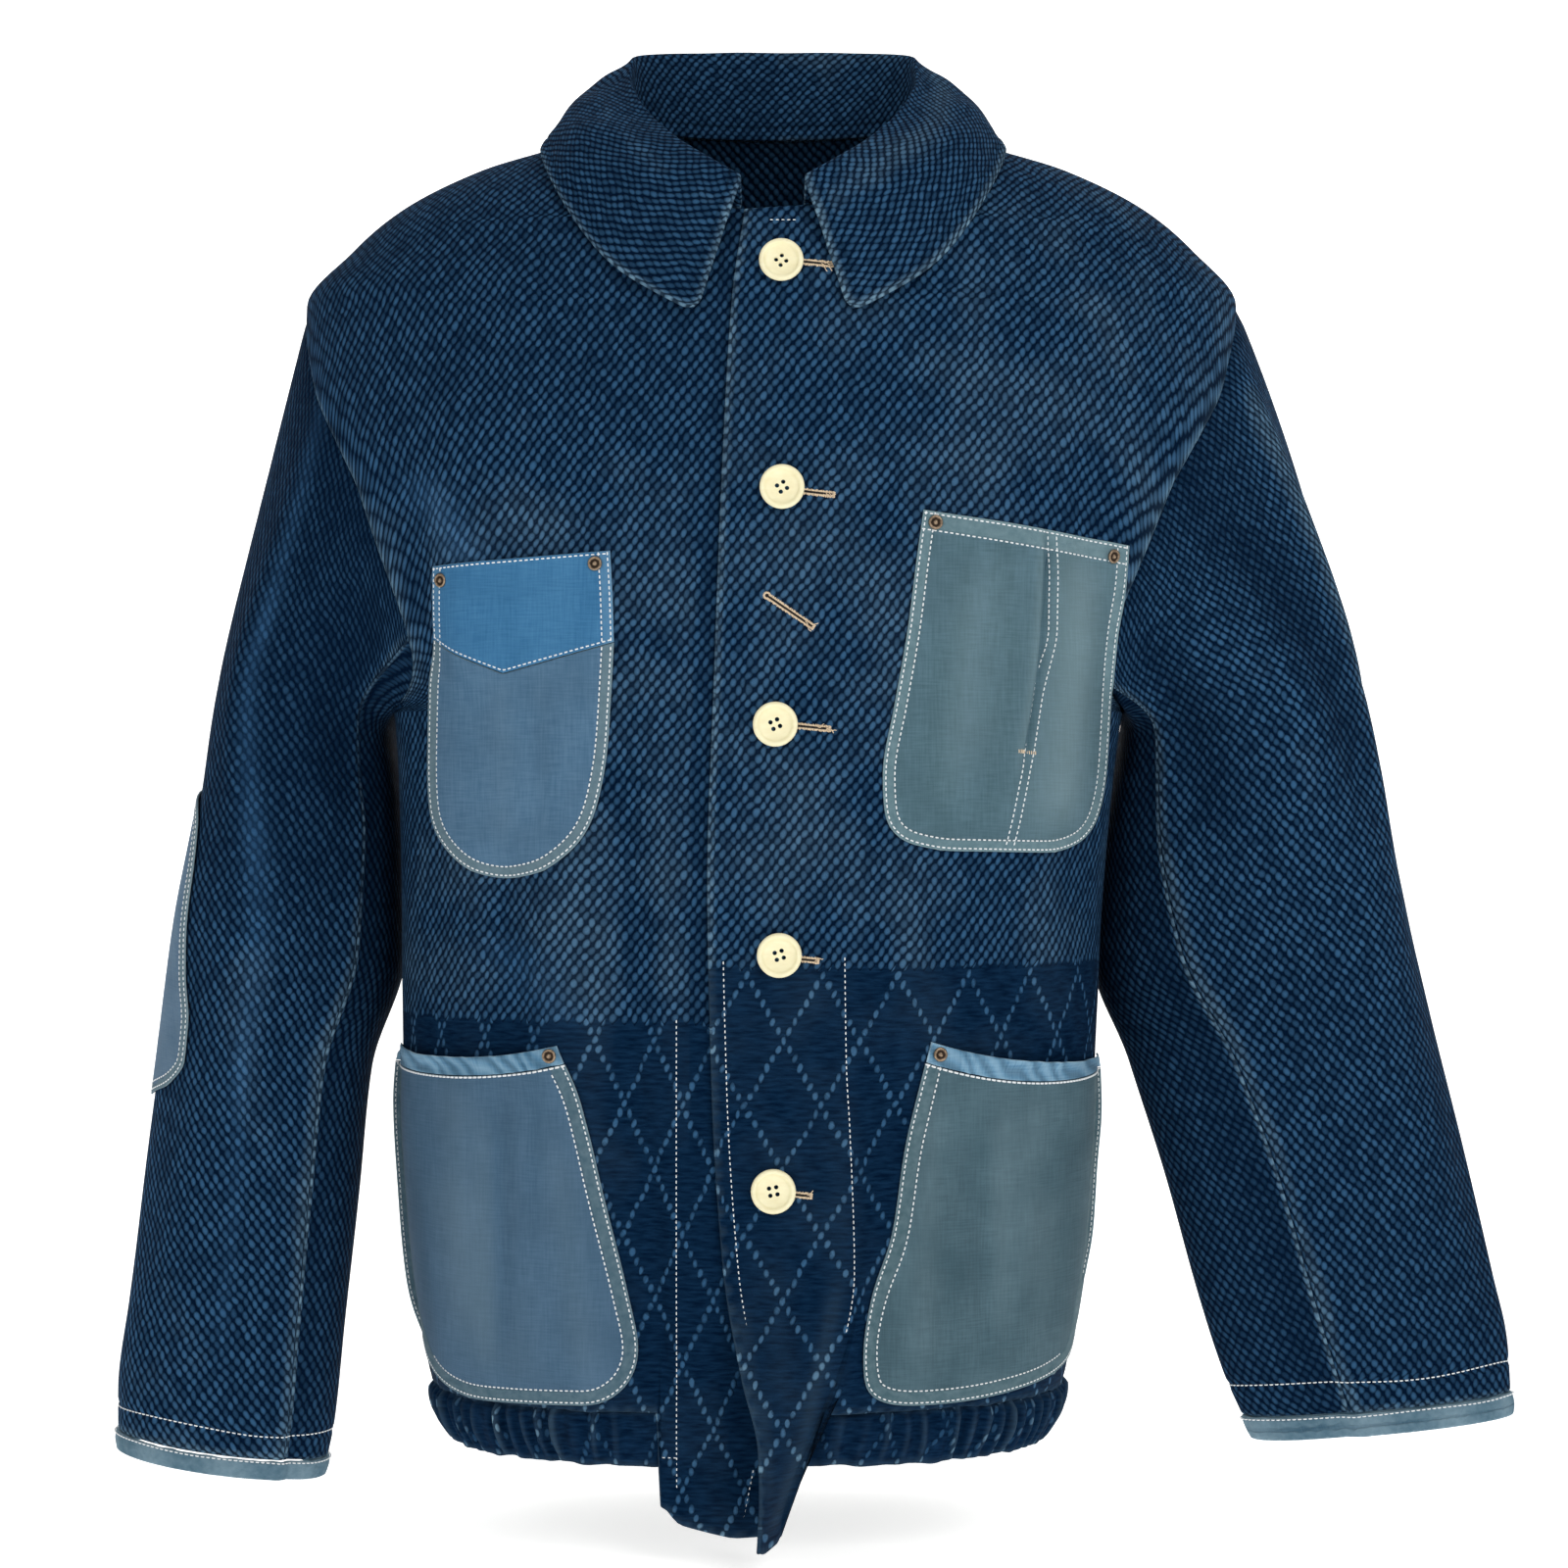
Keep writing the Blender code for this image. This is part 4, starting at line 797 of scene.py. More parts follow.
def new_material(name: str, noises: dict[str, tuple[float, ...]]) -> tuple[Finish, dict[str, Value]]:
    """An empty material with what its finish may read at each place.

    Args:
        name: Its name.
        noises: For each name a noise's scales and its detail: two scales for one on the cloth's map,
            three for one through the object.

    Returns:
        The material, and the noises with the map "uv", its "u" and "v", and the fields "wear", "tint"
        and "edge".
    """
    made = bpy.data.materials.new(name)
    made.use_nodes = True
    tree = made.node_tree
    tree.nodes.clear()
    uv = add(tree, "UVMap", {"uv_map": "weave"}).outputs[0]
    split = add(tree, "SeparateXYZ", None, {0: uv})
    found = {"uv": uv, "u": split.outputs[0], "v": split.outputs[1]}
    place = add(tree, "TexCoord").outputs["Object"]
    for key, (*scale, detail) in noises.items():
        start, settings = (place, None) if scale[2:] else (uv, PLANE)
        spread = add(tree, "Mapping", None, {"Vector": start, "Scale": (*scale, 1.0)[:3]}).outputs[0]
        noise = {"Vector": spread, "Scale": 1.0, "Detail": detail}
        found[key] = add(tree, "TexNoise", settings, noise).outputs[0]
    for key in ("wear", "tint", "edge"):
        found[key] = add(tree, "Attribute", {"attribute_name": key}).outputs["Fac"]
    return made, {key: Value(socket) for key, socket in found.items()}


def close_material(made: Finish, colour: Value | str, layers: dict, lift: tuple, settings: dict) -> Finish:
    """Lays colours over one another, adds bump and shader, and takes out what nothing reads.

    Args:
        made: The material.
        colour: The lowest colour.
        layers: The share of each colour over it, by colour.
        lift: The bump's height, its distance in metres and its strength, or nothing.
        settings: The shader's other inputs.

    Returns:
        The material.
    """
    tree = made.node_tree
    for over, share in layers.items():
        colour = Value(add(tree, "Mix", COLOURS, {6: colour, 7: over, 0: share}).outputs[2])
    inputs = {"Base Color": colour, **settings}
    if lift:
        bumps = dict(zip(("Height", "Distance", "Strength"), lift))
        inputs["Normal"] = add(tree, "Bump", None, bumps).outputs[0]
    shader = add(tree, "BsdfPrincipled", None, inputs)
    add(tree, "OutputMaterial", None, {"Surface": shader.outputs[0]})
    for node in reversed(list(tree.nodes)):
        if len(node.outputs) and not any(socket.is_linked for socket in node.outputs):
            tree.nodes.remove(node)
    return made


@dataclass(frozen=True)
class SashikoCloth:
    """Heavy cotton woven with raised rice-grain floats, and with lines of them in diamonds.

    Indigo-dyed, so the floats' crowns are paler than the ground, and rubbed edges paler still.
    """

    name: str
    ground: str = "#01142b"
    crown: str = "#32587b"
    worn: str = "#7b9cb0"
    blue: str = "#3c6a98"
    plain: str = "#12304d"
    grain_across: float = 0.0053
    grain_along: float = 0.0067
    diamond_width: float = 0.0375
    diamond_height: float = 0.0635
    stitches_a_side: int = 7
    diamonds_below: float = -9.0
    topstitch: float = 0.0
    relief: float = 0.0009

    def grain(self, s: Value, t: Value) -> Value:
        """How far a place is from its brick's leaning grain, in the grain's own radii, squared."""
        along = t.past()
        across = (s.past() + along * -0.24) / 0.345
        along = along / 0.385
        return across * across + along * along

    def stitch(self, p: Value, q: Value) -> Value:
        """The same from a diamond's stitch, for how far a place is past it along the two sets of sides."""
        along = (p - q) * (self.diamond_height / 2 / 0.00245)
        across = (p + q) * (self.diamond_width / 2 / 0.00155) + along * -0.22
        return across * across + along * along

    def material(self) -> Finish:
        """Builds it: the grains' pattern, the diamonds' pattern, then colour, bump and shader.

        Grains stand in a brick pattern. A place's distance from the nearest grain, in the grain's own
        radii, gives a dome as the root of one less its square. A stitch of a diamond's side is such a
        grain at every seventh of the side, in coordinates that run along the two sets of sides.
        """
        made, seen = new_material(self.name, {
            "ripple": (110, 620, 2), "fuzz": (1500, 1500, 2), "blotch": (22, 22, 3)
        })
        tree, fuzz, wear, edge = made.node_tree, seen["fuzz"], seen["wear"], seen["edge"]
        drift = add(tree, "TexNoise", PLANE, {"Vector": seen["uv"], "Scale": 90.0, "Detail": 1.0})
        sway = add(tree, "SeparateXYZ", None, {0: drift.outputs["Color"]})
        u, v = (seen[key] + Value(sway.outputs[k]) * 0.0024 for k, key in enumerate("uv"))
        s, t = u / self.grain_across, v / self.grain_along
        first, second = self.grain(s, t), self.grain(s + 0.5, t + 0.5)
        other = second.by("LESS_THAN", first)
        s0, t0 = s.by("ROUND"), t.by("ROUND")
        here_s = ((s + 0.5).by("ROUND") - s0) * other + s0
        here_t = ((t + 0.5).by("ROUND") - t0 - 0.5) * other + t0
        dome = (1.0 - first.by("MINIMUM", second)).by("MAXIMUM", 0.0).by("SQRT")
        a, b = u / self.diamond_width, v / self.diamond_height
        p, q, count = a + b, a - b, self.stitches_a_side
        near = self.stitch(p.past(), q.past(count)).by("MINIMUM", self.stitch(p.past(count), q.past()))
        stitched = (1.0 - near).by("MAXIMUM", 0.0).by("SQRT")
        plain = (here_t * self.grain_along).by("LESS_THAN", self.diamonds_below)
        keep = 1.0 - plain
        key = add(tree, "CombineXYZ", None, {0: here_s, 1: here_t}).outputs[0]
        each = Value(add(tree, "TexWhiteNoise", PLANE, {"Vector": key}).outputs["Value"])
        top = (dome.by("SMOOTH_MIN", 0.95, 0.2) * keep + stitched * 1.15 * plain).by("POWER", 2.2)
        # Painted shade: where the wear field is below zero the crowns are dimmed.
        vary = (each * 0.8 + 0.5) * (wear.by("MINIMUM", 0.0) + 1.0)
        top = (top * ((fuzz * 0.7 + 0.65) * vary)).by("MINIMUM", 1.0)
        off = (edge - self.topstitch) / 0.0013
        sunk = (off * off * -1.0).by("EXPONENT") * float(self.topstitch > 0)
        rub = (1.0 - edge / 0.005).by("MAXIMUM", 0.0)
        # Pale: rubbed edges, blotches, and the field above zero, which is rubbed wear and painted highlight
        # on ridges and gather crests.
        pale = (rub * 0.65 + wear + (seen["blotch"] * 0.5 - 0.26) + sunk * -0.5).clipped()
        rib = seen["ripple"] * 0.3 * plain
        lift = dome * keep + stitched * plain + fuzz * 0.1 + rib + sunk * -1.4
        weft = (seen["ripple"] * 1.4 - 0.35).by("MAXIMUM", 0.0)
        under = add(tree, "Mix", COLOURS, {6: self.ground, 7: self.plain, 0: weft}).outputs[2]
        return close_material(made, self.ground, {
            under: plain, self.crown: top, self.blue: (top * 0.5 + 0.38) * seen["tint"],
            self.worn: (top * 0.8 + 0.12) * pale,
        }, (lift, self.relief, 1.0), {
            "Roughness": 0.85, "Specular IOR Level": 0.02, "Sheen Weight": 0.005, "Sheen Roughness": 0.5,
        })


@dataclass(frozen=True)
class ChambrayCloth:
    """Light plain-weave cotton, a dyed warp over a paler weft, with slubs and sun-faded streaks."""

    name: str
    warp: str = "#4a657d"
    weft: str = "#5f7c92"
    dark: str = "#3a5368"
    band: str = "#5c7480"
    seam: str = "#8499a2"
    shadow: str = "#1d2f3c"
    thread: float = 0.0009
    mottle: float = 0.35
    hem: float = 0.006

    def material(self) -> Finish:
        """Builds it: two noises stretched along each thread direction, blotches, and a rubbed hem.

        The thread spacing is drawn at 0.9 mm, coarser than the cloth's 0.4 mm, so that it shows.
        """
        across = 1 / self.thread
        made, seen = new_material(self.name, {
            "warp": (across, across * 0.06, 2), "weft": (across * 0.08, across, 2), "slub": (60, 9, 3),
            "blotch": (38, 38, 4), "pucker": (260, 260, 2),
        })
        wear, edge, pucker = seen["wear"], seen["edge"], seen["pucker"]
        thread = (seen["warp"] + seen["weft"]) * 0.5
        mix = (thread * 2.4 - 0.7 + seen["slub"] * 1.2 - 0.6).clipped()
        hem = ((1.0 - edge / self.hem) * 8.0).clipped()
        rim = (1.0 - edge / 0.0012).by("MAXIMUM", 0.0)
        # The wear field, carried here into pale, paints highlight on crease ridges as well as wear.
        pale = ((pucker * 1.6 - 0.45).clipped() * hem * 0.32 + wear + rim * 0.5).clipped()
        lift = hem * 0.9 + thread + pucker * hem * 2.6
        # Below zero the field mixes in the shadow colour: painted shade in creases, the pen slot's tuck and
        # the puckers.
        return close_material(made, self.warp, {
            self.weft: mix, self.dark: (seen["blotch"] * 2.2 - 0.75).clipped() * self.mottle, self.band: hem,
            self.seam: pale, self.shadow: (wear * -1.5).clipped(),
        }, (lift, 0.00026, 1.0), {"Roughness": 0.88, "Specular IOR Level": 0.1, "Sheen Weight": 0.03})


@dataclass(frozen=True)
class SpunThread:
    """Twisted cotton sewing thread."""

    name: str
    colour: str = "#ffffff"
    shade: str = "#dde3e6"

    def material(self) -> Finish:
        """Builds it: a fine noise between two colours, and the same noise as bump."""
        made, seen = new_material(self.name, {"fibre": (1400, 1400, 1400, 2)})
        layers, lift = {self.colour: seen["fibre"]}, (seen["fibre"], 0.0002, 0.6)
        return close_material(made, self.shade, layers, lift, {"Roughness": 0.75})


@dataclass(frozen=True)
class PolishedNut:
    """Cream button stock, moulded and lightly polished, with faint cloudy grain."""

    name: str = "polished cream button stock"
    pale: str = "#fffad6"
    deep: str = "#f0e4b6"
    hole: str = "#4a3a20"

    def material(self) -> Finish:
        """Builds it: a stretched noise between two creams, darker where the holes are cut."""
        made, seen = new_material(self.name, {"cloud": (160, 160, 420, 3)})
        layers = {self.deep: seen["cloud"], self.hole: seen["wear"]}
        return close_material(made, self.pale, layers, (seen["cloud"], 0.00008, 0.5), {"Roughness": 0.38})


@dataclass(frozen=True)
class AgedMetal:
    """Stamped copper-alloy rivet, darkened in its hollows and rubbed bright on its crown."""

    name: str
    bright: str = "#b59d84"
    dark: str = "#3d332c"

    def material(self) -> Finish:
        """Builds it: tarnish from noise and from how far down the crown a place is."""
        made, seen = new_material(self.name, {"spots": (900, 900, 900, 4)})
        tarnish = (seen["spots"] * 1.1 - 0.25 + seen["wear"]).clipped()
        return close_material(made, self.bright, {self.dark: tarnish}, (), {
            "Roughness": tarnish * 0.3 + 0.28, "Metallic": 1.0,
        })


@dataclass(frozen=True)
class StudioPaper:
    """Seamless white background paper, matt, lit through from behind."""

    name: str = "white background paper"
    colour: str = "#f4f4f3"
    glow: float = 0.8

    def material(self) -> Finish:
        """Builds it: an even white with the faintest tooth."""
        made, seen = new_material(self.name, {"tooth": (300, 300, 300, 2)})
        return close_material(made, self.colour, {}, (seen["tooth"], 0.0001, 0.2), {
            "Emission Color": self.colour, "Emission Strength": self.glow, "Roughness": 0.95,
        })
CLOTHS = {
    "front_left": SashikoCloth("sashiko cotton, left front", diamonds_below=DIAMOND_TOP[1]),
    "front_right": SashikoCloth(
        "sashiko cotton, right front", diamonds_below=DIAMOND_TOP[-1], diamond_width=0.03
    ),
    "back": SashikoCloth("sashiko cotton, back", diamonds_below=DIAMOND_TOP[0]),
    "casing": SashikoCloth(
        "sashiko cotton, hem casing", diamonds_below=9.0, crown="#234463", plain="#13314f"
    ),
    "plain": SashikoCloth("sashiko cotton, sleeves"),
    "collar": SashikoCloth("sashiko cotton, collar", grain_across=0.0046, topstitch=0.0068),
    "grey": ChambrayCloth("grey-blue chambray", "#456783", "#597994", "#3c5870"),
    "hip": ChambrayCloth("grey-blue chambray, hip", "#415e76", "#506c85", band="#47616f", hem=0.0076),
    "patch": ChambrayCloth("grey-blue chambray, elbow", "#54708a", "#667f94"),
    "chest": ChambrayCloth("chambray, left chest", "#456069", "#587481", "#3c545f", "#5c7780", "#8ba3aa"),
    "green": ChambrayCloth(
        "grey-teal chambray", "#455c66", "#546e79", "#324c57", "#48626b", mottle=0.5, hem=0.0076
    ),
    "bright": ChambrayCloth("bright blue chambray", "#356a94", "#477da6", "#2d5f86", "#4b7ba0", "#7498b3"),
    "binding": ChambrayCloth(
        "pale blue binding", "#3d5b6d", "#5a7889", "#2f4c61", "#4f6d7e", "#8aa3b0", mottle=0.6
    ),
    "edging": ChambrayCloth(
        "pale blue pocket edging", "#507c9b", "#7ba4c0", "#3f6883", "#5d84a0", "#a4c3d5", mottle=0.6,
        hem=0.0001,
    ),
    "white": SpunThread("white cotton thread"),
    "tan": SpunThread("tan buttonhole thread", "#f6e6cb", "#cfae88"),
    # A near-black thread laid along each buttonhole's slit: painted shadow inside the cut.
    "dark": SpunThread("painted slit shadow", "#140d08", "#060403"),
    "nut": PolishedNut(),
    "rivet": AgedMetal("aged copper rivet"),
    "paper": StudioPaper(),
}


def dress(obj: Piece, finish: Finish, slot: str, *nodes: str) -> Piece:
    """Gives a piece its finish, lets it ride, and hides the solids that it stands for.

    Args:
        obj: The piece.
        finish: Its finish.
        slot: Not used.
        nodes: The solids that it replaces.

    Returns:
        The piece.
    """
    obj.data.materials.clear()
    obj.data.materials.append(finish)
    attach(obj, "root")
    if nodes:
        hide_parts(*nodes)
    LOG.info("%s: %d faces", obj.name, len(obj.data.polygons))
    return obj


def lay_cloth(
    node: str, surface: Surface, thickness: float, finish: Finish, held: str, *rests_on: str,
    name: str = "", closed: bool = False,
) -> None:
    """Args:
        node: The solid that it stands for.
        surface: Its outer surface.
        thickness: The cloth's thickness.
        finish: Its finish.
        held: Not used.
        rests_on: Not used.
        name: The piece's name, if it isn't the solid's.
        closed: Whether it closes round.
    """
    obj = dress(cloth_shell(f"{name or node}_cloth", surface, thickness, closed), finish, node, node)
    sizes = np.empty(len(obj.data.polygons))
    obj.data.polygons.foreach_get("area", sizes)


@dataclass
class Sewing:
    """Rows of stitches: short fat-bellied dashes whose ends dive into the cloth, joined in one mesh."""

    name: str
    pitch: float = 0.0028
    share: float = 0.74
    radius: float = 0.00038
    rows: list[Line] = field(default_factory=list)

    def line(self, points: Array, normals: Array, pitch: float | None = None) -> None:
        """Adds stitches along a line of points.

        Args:
            points: The line, on the cloth.
            normals: The cloth's normals along it.
            pitch: The stitches' spacing, if it isn't the usual one.
        """
        pitch = pitch or self.pitch
        far = travelled(points)
        at = np.arange(pitch / 2, far[-1] - pitch * 0.3, pitch)
        half = pitch * self.share / 2
        self.dash(between(at - half, far, points), between(at + half, far, points), between(at, far, normals))

    def dash(self, first: Array, last: Array, normals: Array) -> None:
        """Adds single stitches between pairs of points."""
        self.rows.append((np.stack([first, last], 1), unit(normals)))

    def build(self) -> Piece:
        """Makes the mesh: a five-sided tube of four rings for each stitch, its radius the root of one
        less the fourth power of the distance from its middle."""
        ends, out = (np.concatenate(parts) for parts in zip(*self.rows))
        middle = ends.mean(axis=1)
        along = (ends[:, 1] - ends[:, 0]) / 2
        side = unit(np.cross(along, out))
        up = unit(np.cross(side, along))
        ring = np.array([-1.0, -0.62, 0.62, 1.0])
        fat = np.array([0.35, 1.0, 1.0, 0.35])
        sink = np.array([-0.9, 0.15, 0.15, -0.9])
        turn = np.linspace(0, 2 * math.pi, 5, endpoint=False) + 0.3
        wide = np.cos(turn) * fat[:, None] * self.radius
        tall = (np.sin(turn) * fat[:, None] * 0.8 + sink[:, None]) * self.radius
        parts = (along, ring[:, None]), (side, wide), (up, tall)
        shape = sum(way[:, None, None] * size[..., None] for way, size in parts)
        points = (middle[:, None, None] + shape).reshape(-1, 3)
        pairs = list(enumerate((1, 2, 3, 4, 0)))
        walls = [(k + j, k + n, k + 5 + n, k + 5 + j) for k in (0, 5, 10) for j, n in pairs]
        caps = [(0, j + 1, j, j) for j in (3, 2, 1)] + [(15, j, j + 1, j + 1) for j in (16, 17, 18)]
        faces = np.array(walls + caps)[None] + (np.arange(len(ends)) * 20)[:, None, None]
        return make_mesh(self.name, points, faces.reshape(-1, 4))


@dataclass
class Front:
    """One front: its gathered body, its turned-back facing and the free end that hangs below the hem."""

    body: BodyForm
    side: int
    edges: Table
    word: str
    creases: tuple[Crease, ...] = ()
    # Streaks in the wear field: pale wear above zero, painted shade below.
    pale: tuple[Crease, ...] = ()
    blue: tuple[Crease, ...] = ()
    facing_columns: int = 17
    body_columns: int = 58
    lift: float = 0.0032
    lift_end: float = 0.046
    lift_fade: float = 0.03

    def rows(self) -> Array:
        """Heights of the rows, closer where the form turns."""
        return np.concatenate([
            np.linspace(CASING_TOP, UNDERARM, 112, endpoint=False),
            np.linspace(UNDERARM, SHOULDER_TIP, 66, endpoint=False),
            np.linspace(SHOULDER_TIP, NECKLINE["height"][0], 10, endpoint=False),
            NECKLINE["height"][:1],
            NECK_POINT + (NECKLINE["height"][1] - NECK_POINT) * np.linspace(1, 0, 38) ** 1.25,
        ])

    def raised(self, x: Array) -> Array:
        """How far the overlap lifts the left front off the right one."""
        if self.side < 0:
            return np.zeros(np.shape(x))
        return self.lift * ease((self.lift_end + self.lift_fade - x) / self.lift_fade)

    def relief(self, height: Array, angle: Array, ripples: Array | float = 1.0) -> Array:
        """How far creases and the gathers' ripples move the cloth out."""
        x = self.body.surface(height, angle)[..., 0]
        out = total(self.creases, x, height) + self.raised(x)
        return out + self.body.gather_ripple(height, angle) * ripples

    def place(self, x: Array, z: Array, out: Array | float = 0.0) -> Line:
        """Points on the front, or off it, at places across and heights, with normals."""
        z = np.asarray(z, float)
        x = np.asarray(x, float)
        centred = self.side * x
        angle = self.side * self.body.angle_at(z, self.side * (x - self.body.get("lean", z)))
        limit = self.body.seam_angle(z, "front") - math.radians(1.5)
        angle = self.side * np.minimum(self.side * angle, limit)
        normal = self.body.normal(z, angle)
        moved = self.relief(z, angle, 0.0) + out
        points = self.body.surface(z, angle)
        points[..., 0] += self.side * np.maximum(self.side * (x - points[..., 0]), 0)
        points = points + normal * np.asarray(moved)[..., None]
        edge, facing = read(self.edges, "edge", z), read(self.edges, "facing", z)
        swing = read(self.edges, "swing", z)
        points[..., 1] -= swing * (1 - np.clip((centred - edge) / (facing - edge), 0, 1))
        return points, normal

    def beside(self, line: Table, along: str, inside: float, low: float, high: float) -> Line:
        """A line on the front that keeps a distance from its edge or from its facing's end.

        Args:
            line: The front's edges.
            along: Which of them, "edge" or "facing".
            inside: How far from it, towards the arm if positive.
            low: The line's lower end.
            high: Its upper end.

        Returns:
            Points and normals.
        """
        z = np.linspace(high, low, 400)
        return self.place(self.side * (read(line, along, z) + inside), z, 0.0)

    def surface(self) -> Surface:
        """The whole front as a grid.

        Each row runs from the front edge over the facing to the armhole or side seam. The facing's
        lowest rows are stretched down to make the free end, which swings forward.
        """
        side, body = self.side, self.body
        heights = self.rows()[:, None]
        facing = np.linspace(0, 1, self.facing_columns)
        beyond = np.concatenate([[0.012], np.linspace(0, 1, self.body_columns + 1)[1:]])
        across = np.concatenate([facing, np.ones(len(beyond))])[None]
        past = np.concatenate([np.zeros(len(facing)), beyond])[None]
        in_facing = np.concatenate([np.ones(len(facing), bool), np.zeros(len(beyond), bool)])[None]
        drop = np.clip(1 - (heights - CASING_TOP) / (3 * 0.038444), 0, 1)
        lowest = (
            -0.7235 + 0.002 * (1 - ease(across / 0.25)) + 0.0022 * ease((across - 0.75) / 0.25) ** 2
            if side > 0 else
            -0.7245 + 0.01 * across + 0.003 * (1 - ease(across / 0.25))
            + 0.0065 * ease((across - 0.7) / 0.3) ** 2
        )
        height = np.where(in_facing, heights + (lowest - CASING_TOP) * drop, heights)
        lean = side * body.get("lean", height)
        edge = read(self.edges, "edge", height) - lean
        necked = heights > NECKLINE["height"][0] + 1e-6
        edge = np.where(necked, np.maximum(edge, read(NECKLINE, "out", height)), edge)
        outer = body.seam_angle(height, "front", 0.0012)
        start = body.angle_at(height, edge)
        knot = body.angle_at(height, read(self.edges, "facing", height) - lean)
        knot = np.maximum(knot, start + 0.26 * (outer - start) * ease((height + 0.13) / 0.03))
        knot = np.minimum(knot, start + 0.4 * (outer - start))
        angle = side * np.where(in_facing, start + (knot - start) * across, knot + (outer - knot) * past)
        normal = body.normal(height, angle)
        seam = np.minimum((outer - side * angle) * 0.2, 0.02)
        dip = -0.0009 * bell(seam / 0.0022)
        pinch = -0.0006 * bell((height - CASING_TOP) / 0.003) * ~in_facing
        bare = self.pocket_shade(body.surface(height, angle)[..., 0], height)
        relief = self.relief(height, angle, bare) + dip + pinch
        points = body.surface(height, angle) + normal * relief[..., None]
        points[..., 1] -= read(self.edges, "swing", height) * (1 - across) * in_facing
        normals = grid_normals(points, side)
        weave = np.stack([body.girth(height, angle), waist_level(points, height)], axis=-1)
        x = points[..., 0]
        # The folds' heights are painted into the colour too: paler on ridges, darker in troughs, as painted
        # highlight and painted shade.
        folds = total(self.creases, x, height) + total(self.body.front_folds, x, height) * 0.35
        wear = 0.06 + FOLD_PAINTED_SHADING * folds + total(self.pale, x, height)
        wear += 0.48 * np.exp(-seam / 0.007) * (height > UNDERARM)
        # Painted shade: the upper fronts are darkened, the right one far more, on the side away from the key
        # light.
        wear -= (0.06 if self.side > 0 else 0.24) * (1 - ease((height + 0.16) / -0.06))
        tint = 0.6 * total(self.blue, x, height)
        return Surface(points, normals, weave, np.clip(wear, -0.3, 1), np.clip(tint, 0, 1))

    def pocket_shade(self, x: Array, z: Array) -> Array:
        """1 where the cloth is bare and 0 under a hip pocket, whose cloth holds it flat."""
        inner = 0.06 if self.side > 0 else 0.058
        under = ease((self.side * x - inner + 0.004) / 0.008) * ease((0.17 - self.side * x) / 0.01)
        return 1 - under * ease((z + 0.664) / 0.006)

    def build(self, material: Finish) -> None:
        """Makes and dresses the front."""
        under = "front_right" if self.side > 0 else "back"
        lay_cloth(f"front_{self.word}", self.surface(), SASHIKO, material, "draped", under)


@dataclass
class Back:
    """The back, in one piece from side seam to side seam and up to the neck."""

    body: BodyForm
    columns: int = 116

    def surface(self) -> Surface:
        """The back as a grid of level rows."""
        body = self.body
        heights = np.concatenate([
            np.linspace(CASING_TOP, UNDERARM, 104, endpoint=False),
            np.linspace(UNDERARM, SHOULDER_TIP, 62, endpoint=False),
            NECK_POINT + (SHOULDER_TIP - NECK_POINT) * np.linspace(1, 0, 44) ** 1.25,
        ])[:, None]
        edge = body.seam_angle(heights, "back", 0.0012)
        share = np.linspace(-1, 1, self.columns)[None]
        angle = math.pi + edge * share
        x = body.surface(heights, angle)[..., 0]
        seam = edge * (1 - np.abs(share)) * 0.2
        relief = body.gather_ripple(heights, angle) - 0.0009 * bell(seam / 0.0022)
        relief = relief - 0.0006 * bell((heights - CASING_TOP) / 0.003)
        points = body.surface(heights, angle) + body.normal(heights, angle) * relief[..., None]
        middle = body.girth(heights, np.full(heights.shape, math.pi))
        weave = np.stack([body.girth(heights, angle) - middle, waist_level(points, heights)], axis=-1)
        # The back's folds are painted into the colour: paler on ridges, darker in troughs, as painted
        # highlight and painted shade.
        wear = FOLD_PAINTED_SHADING * total(body.back_folds, x, heights) * 0.35
        wear += 0.22 * np.exp(-seam / 0.004) * (heights > UNDERARM)
        return Surface(points, grid_normals(points), weave, np.clip(wear, -0.3, 1))

    def build(self, material: Finish) -> None:
        """Makes and dresses the back."""
        lay_cloth("back", self.surface(), SASHIKO, material, "draped", "front_right", "front_left")


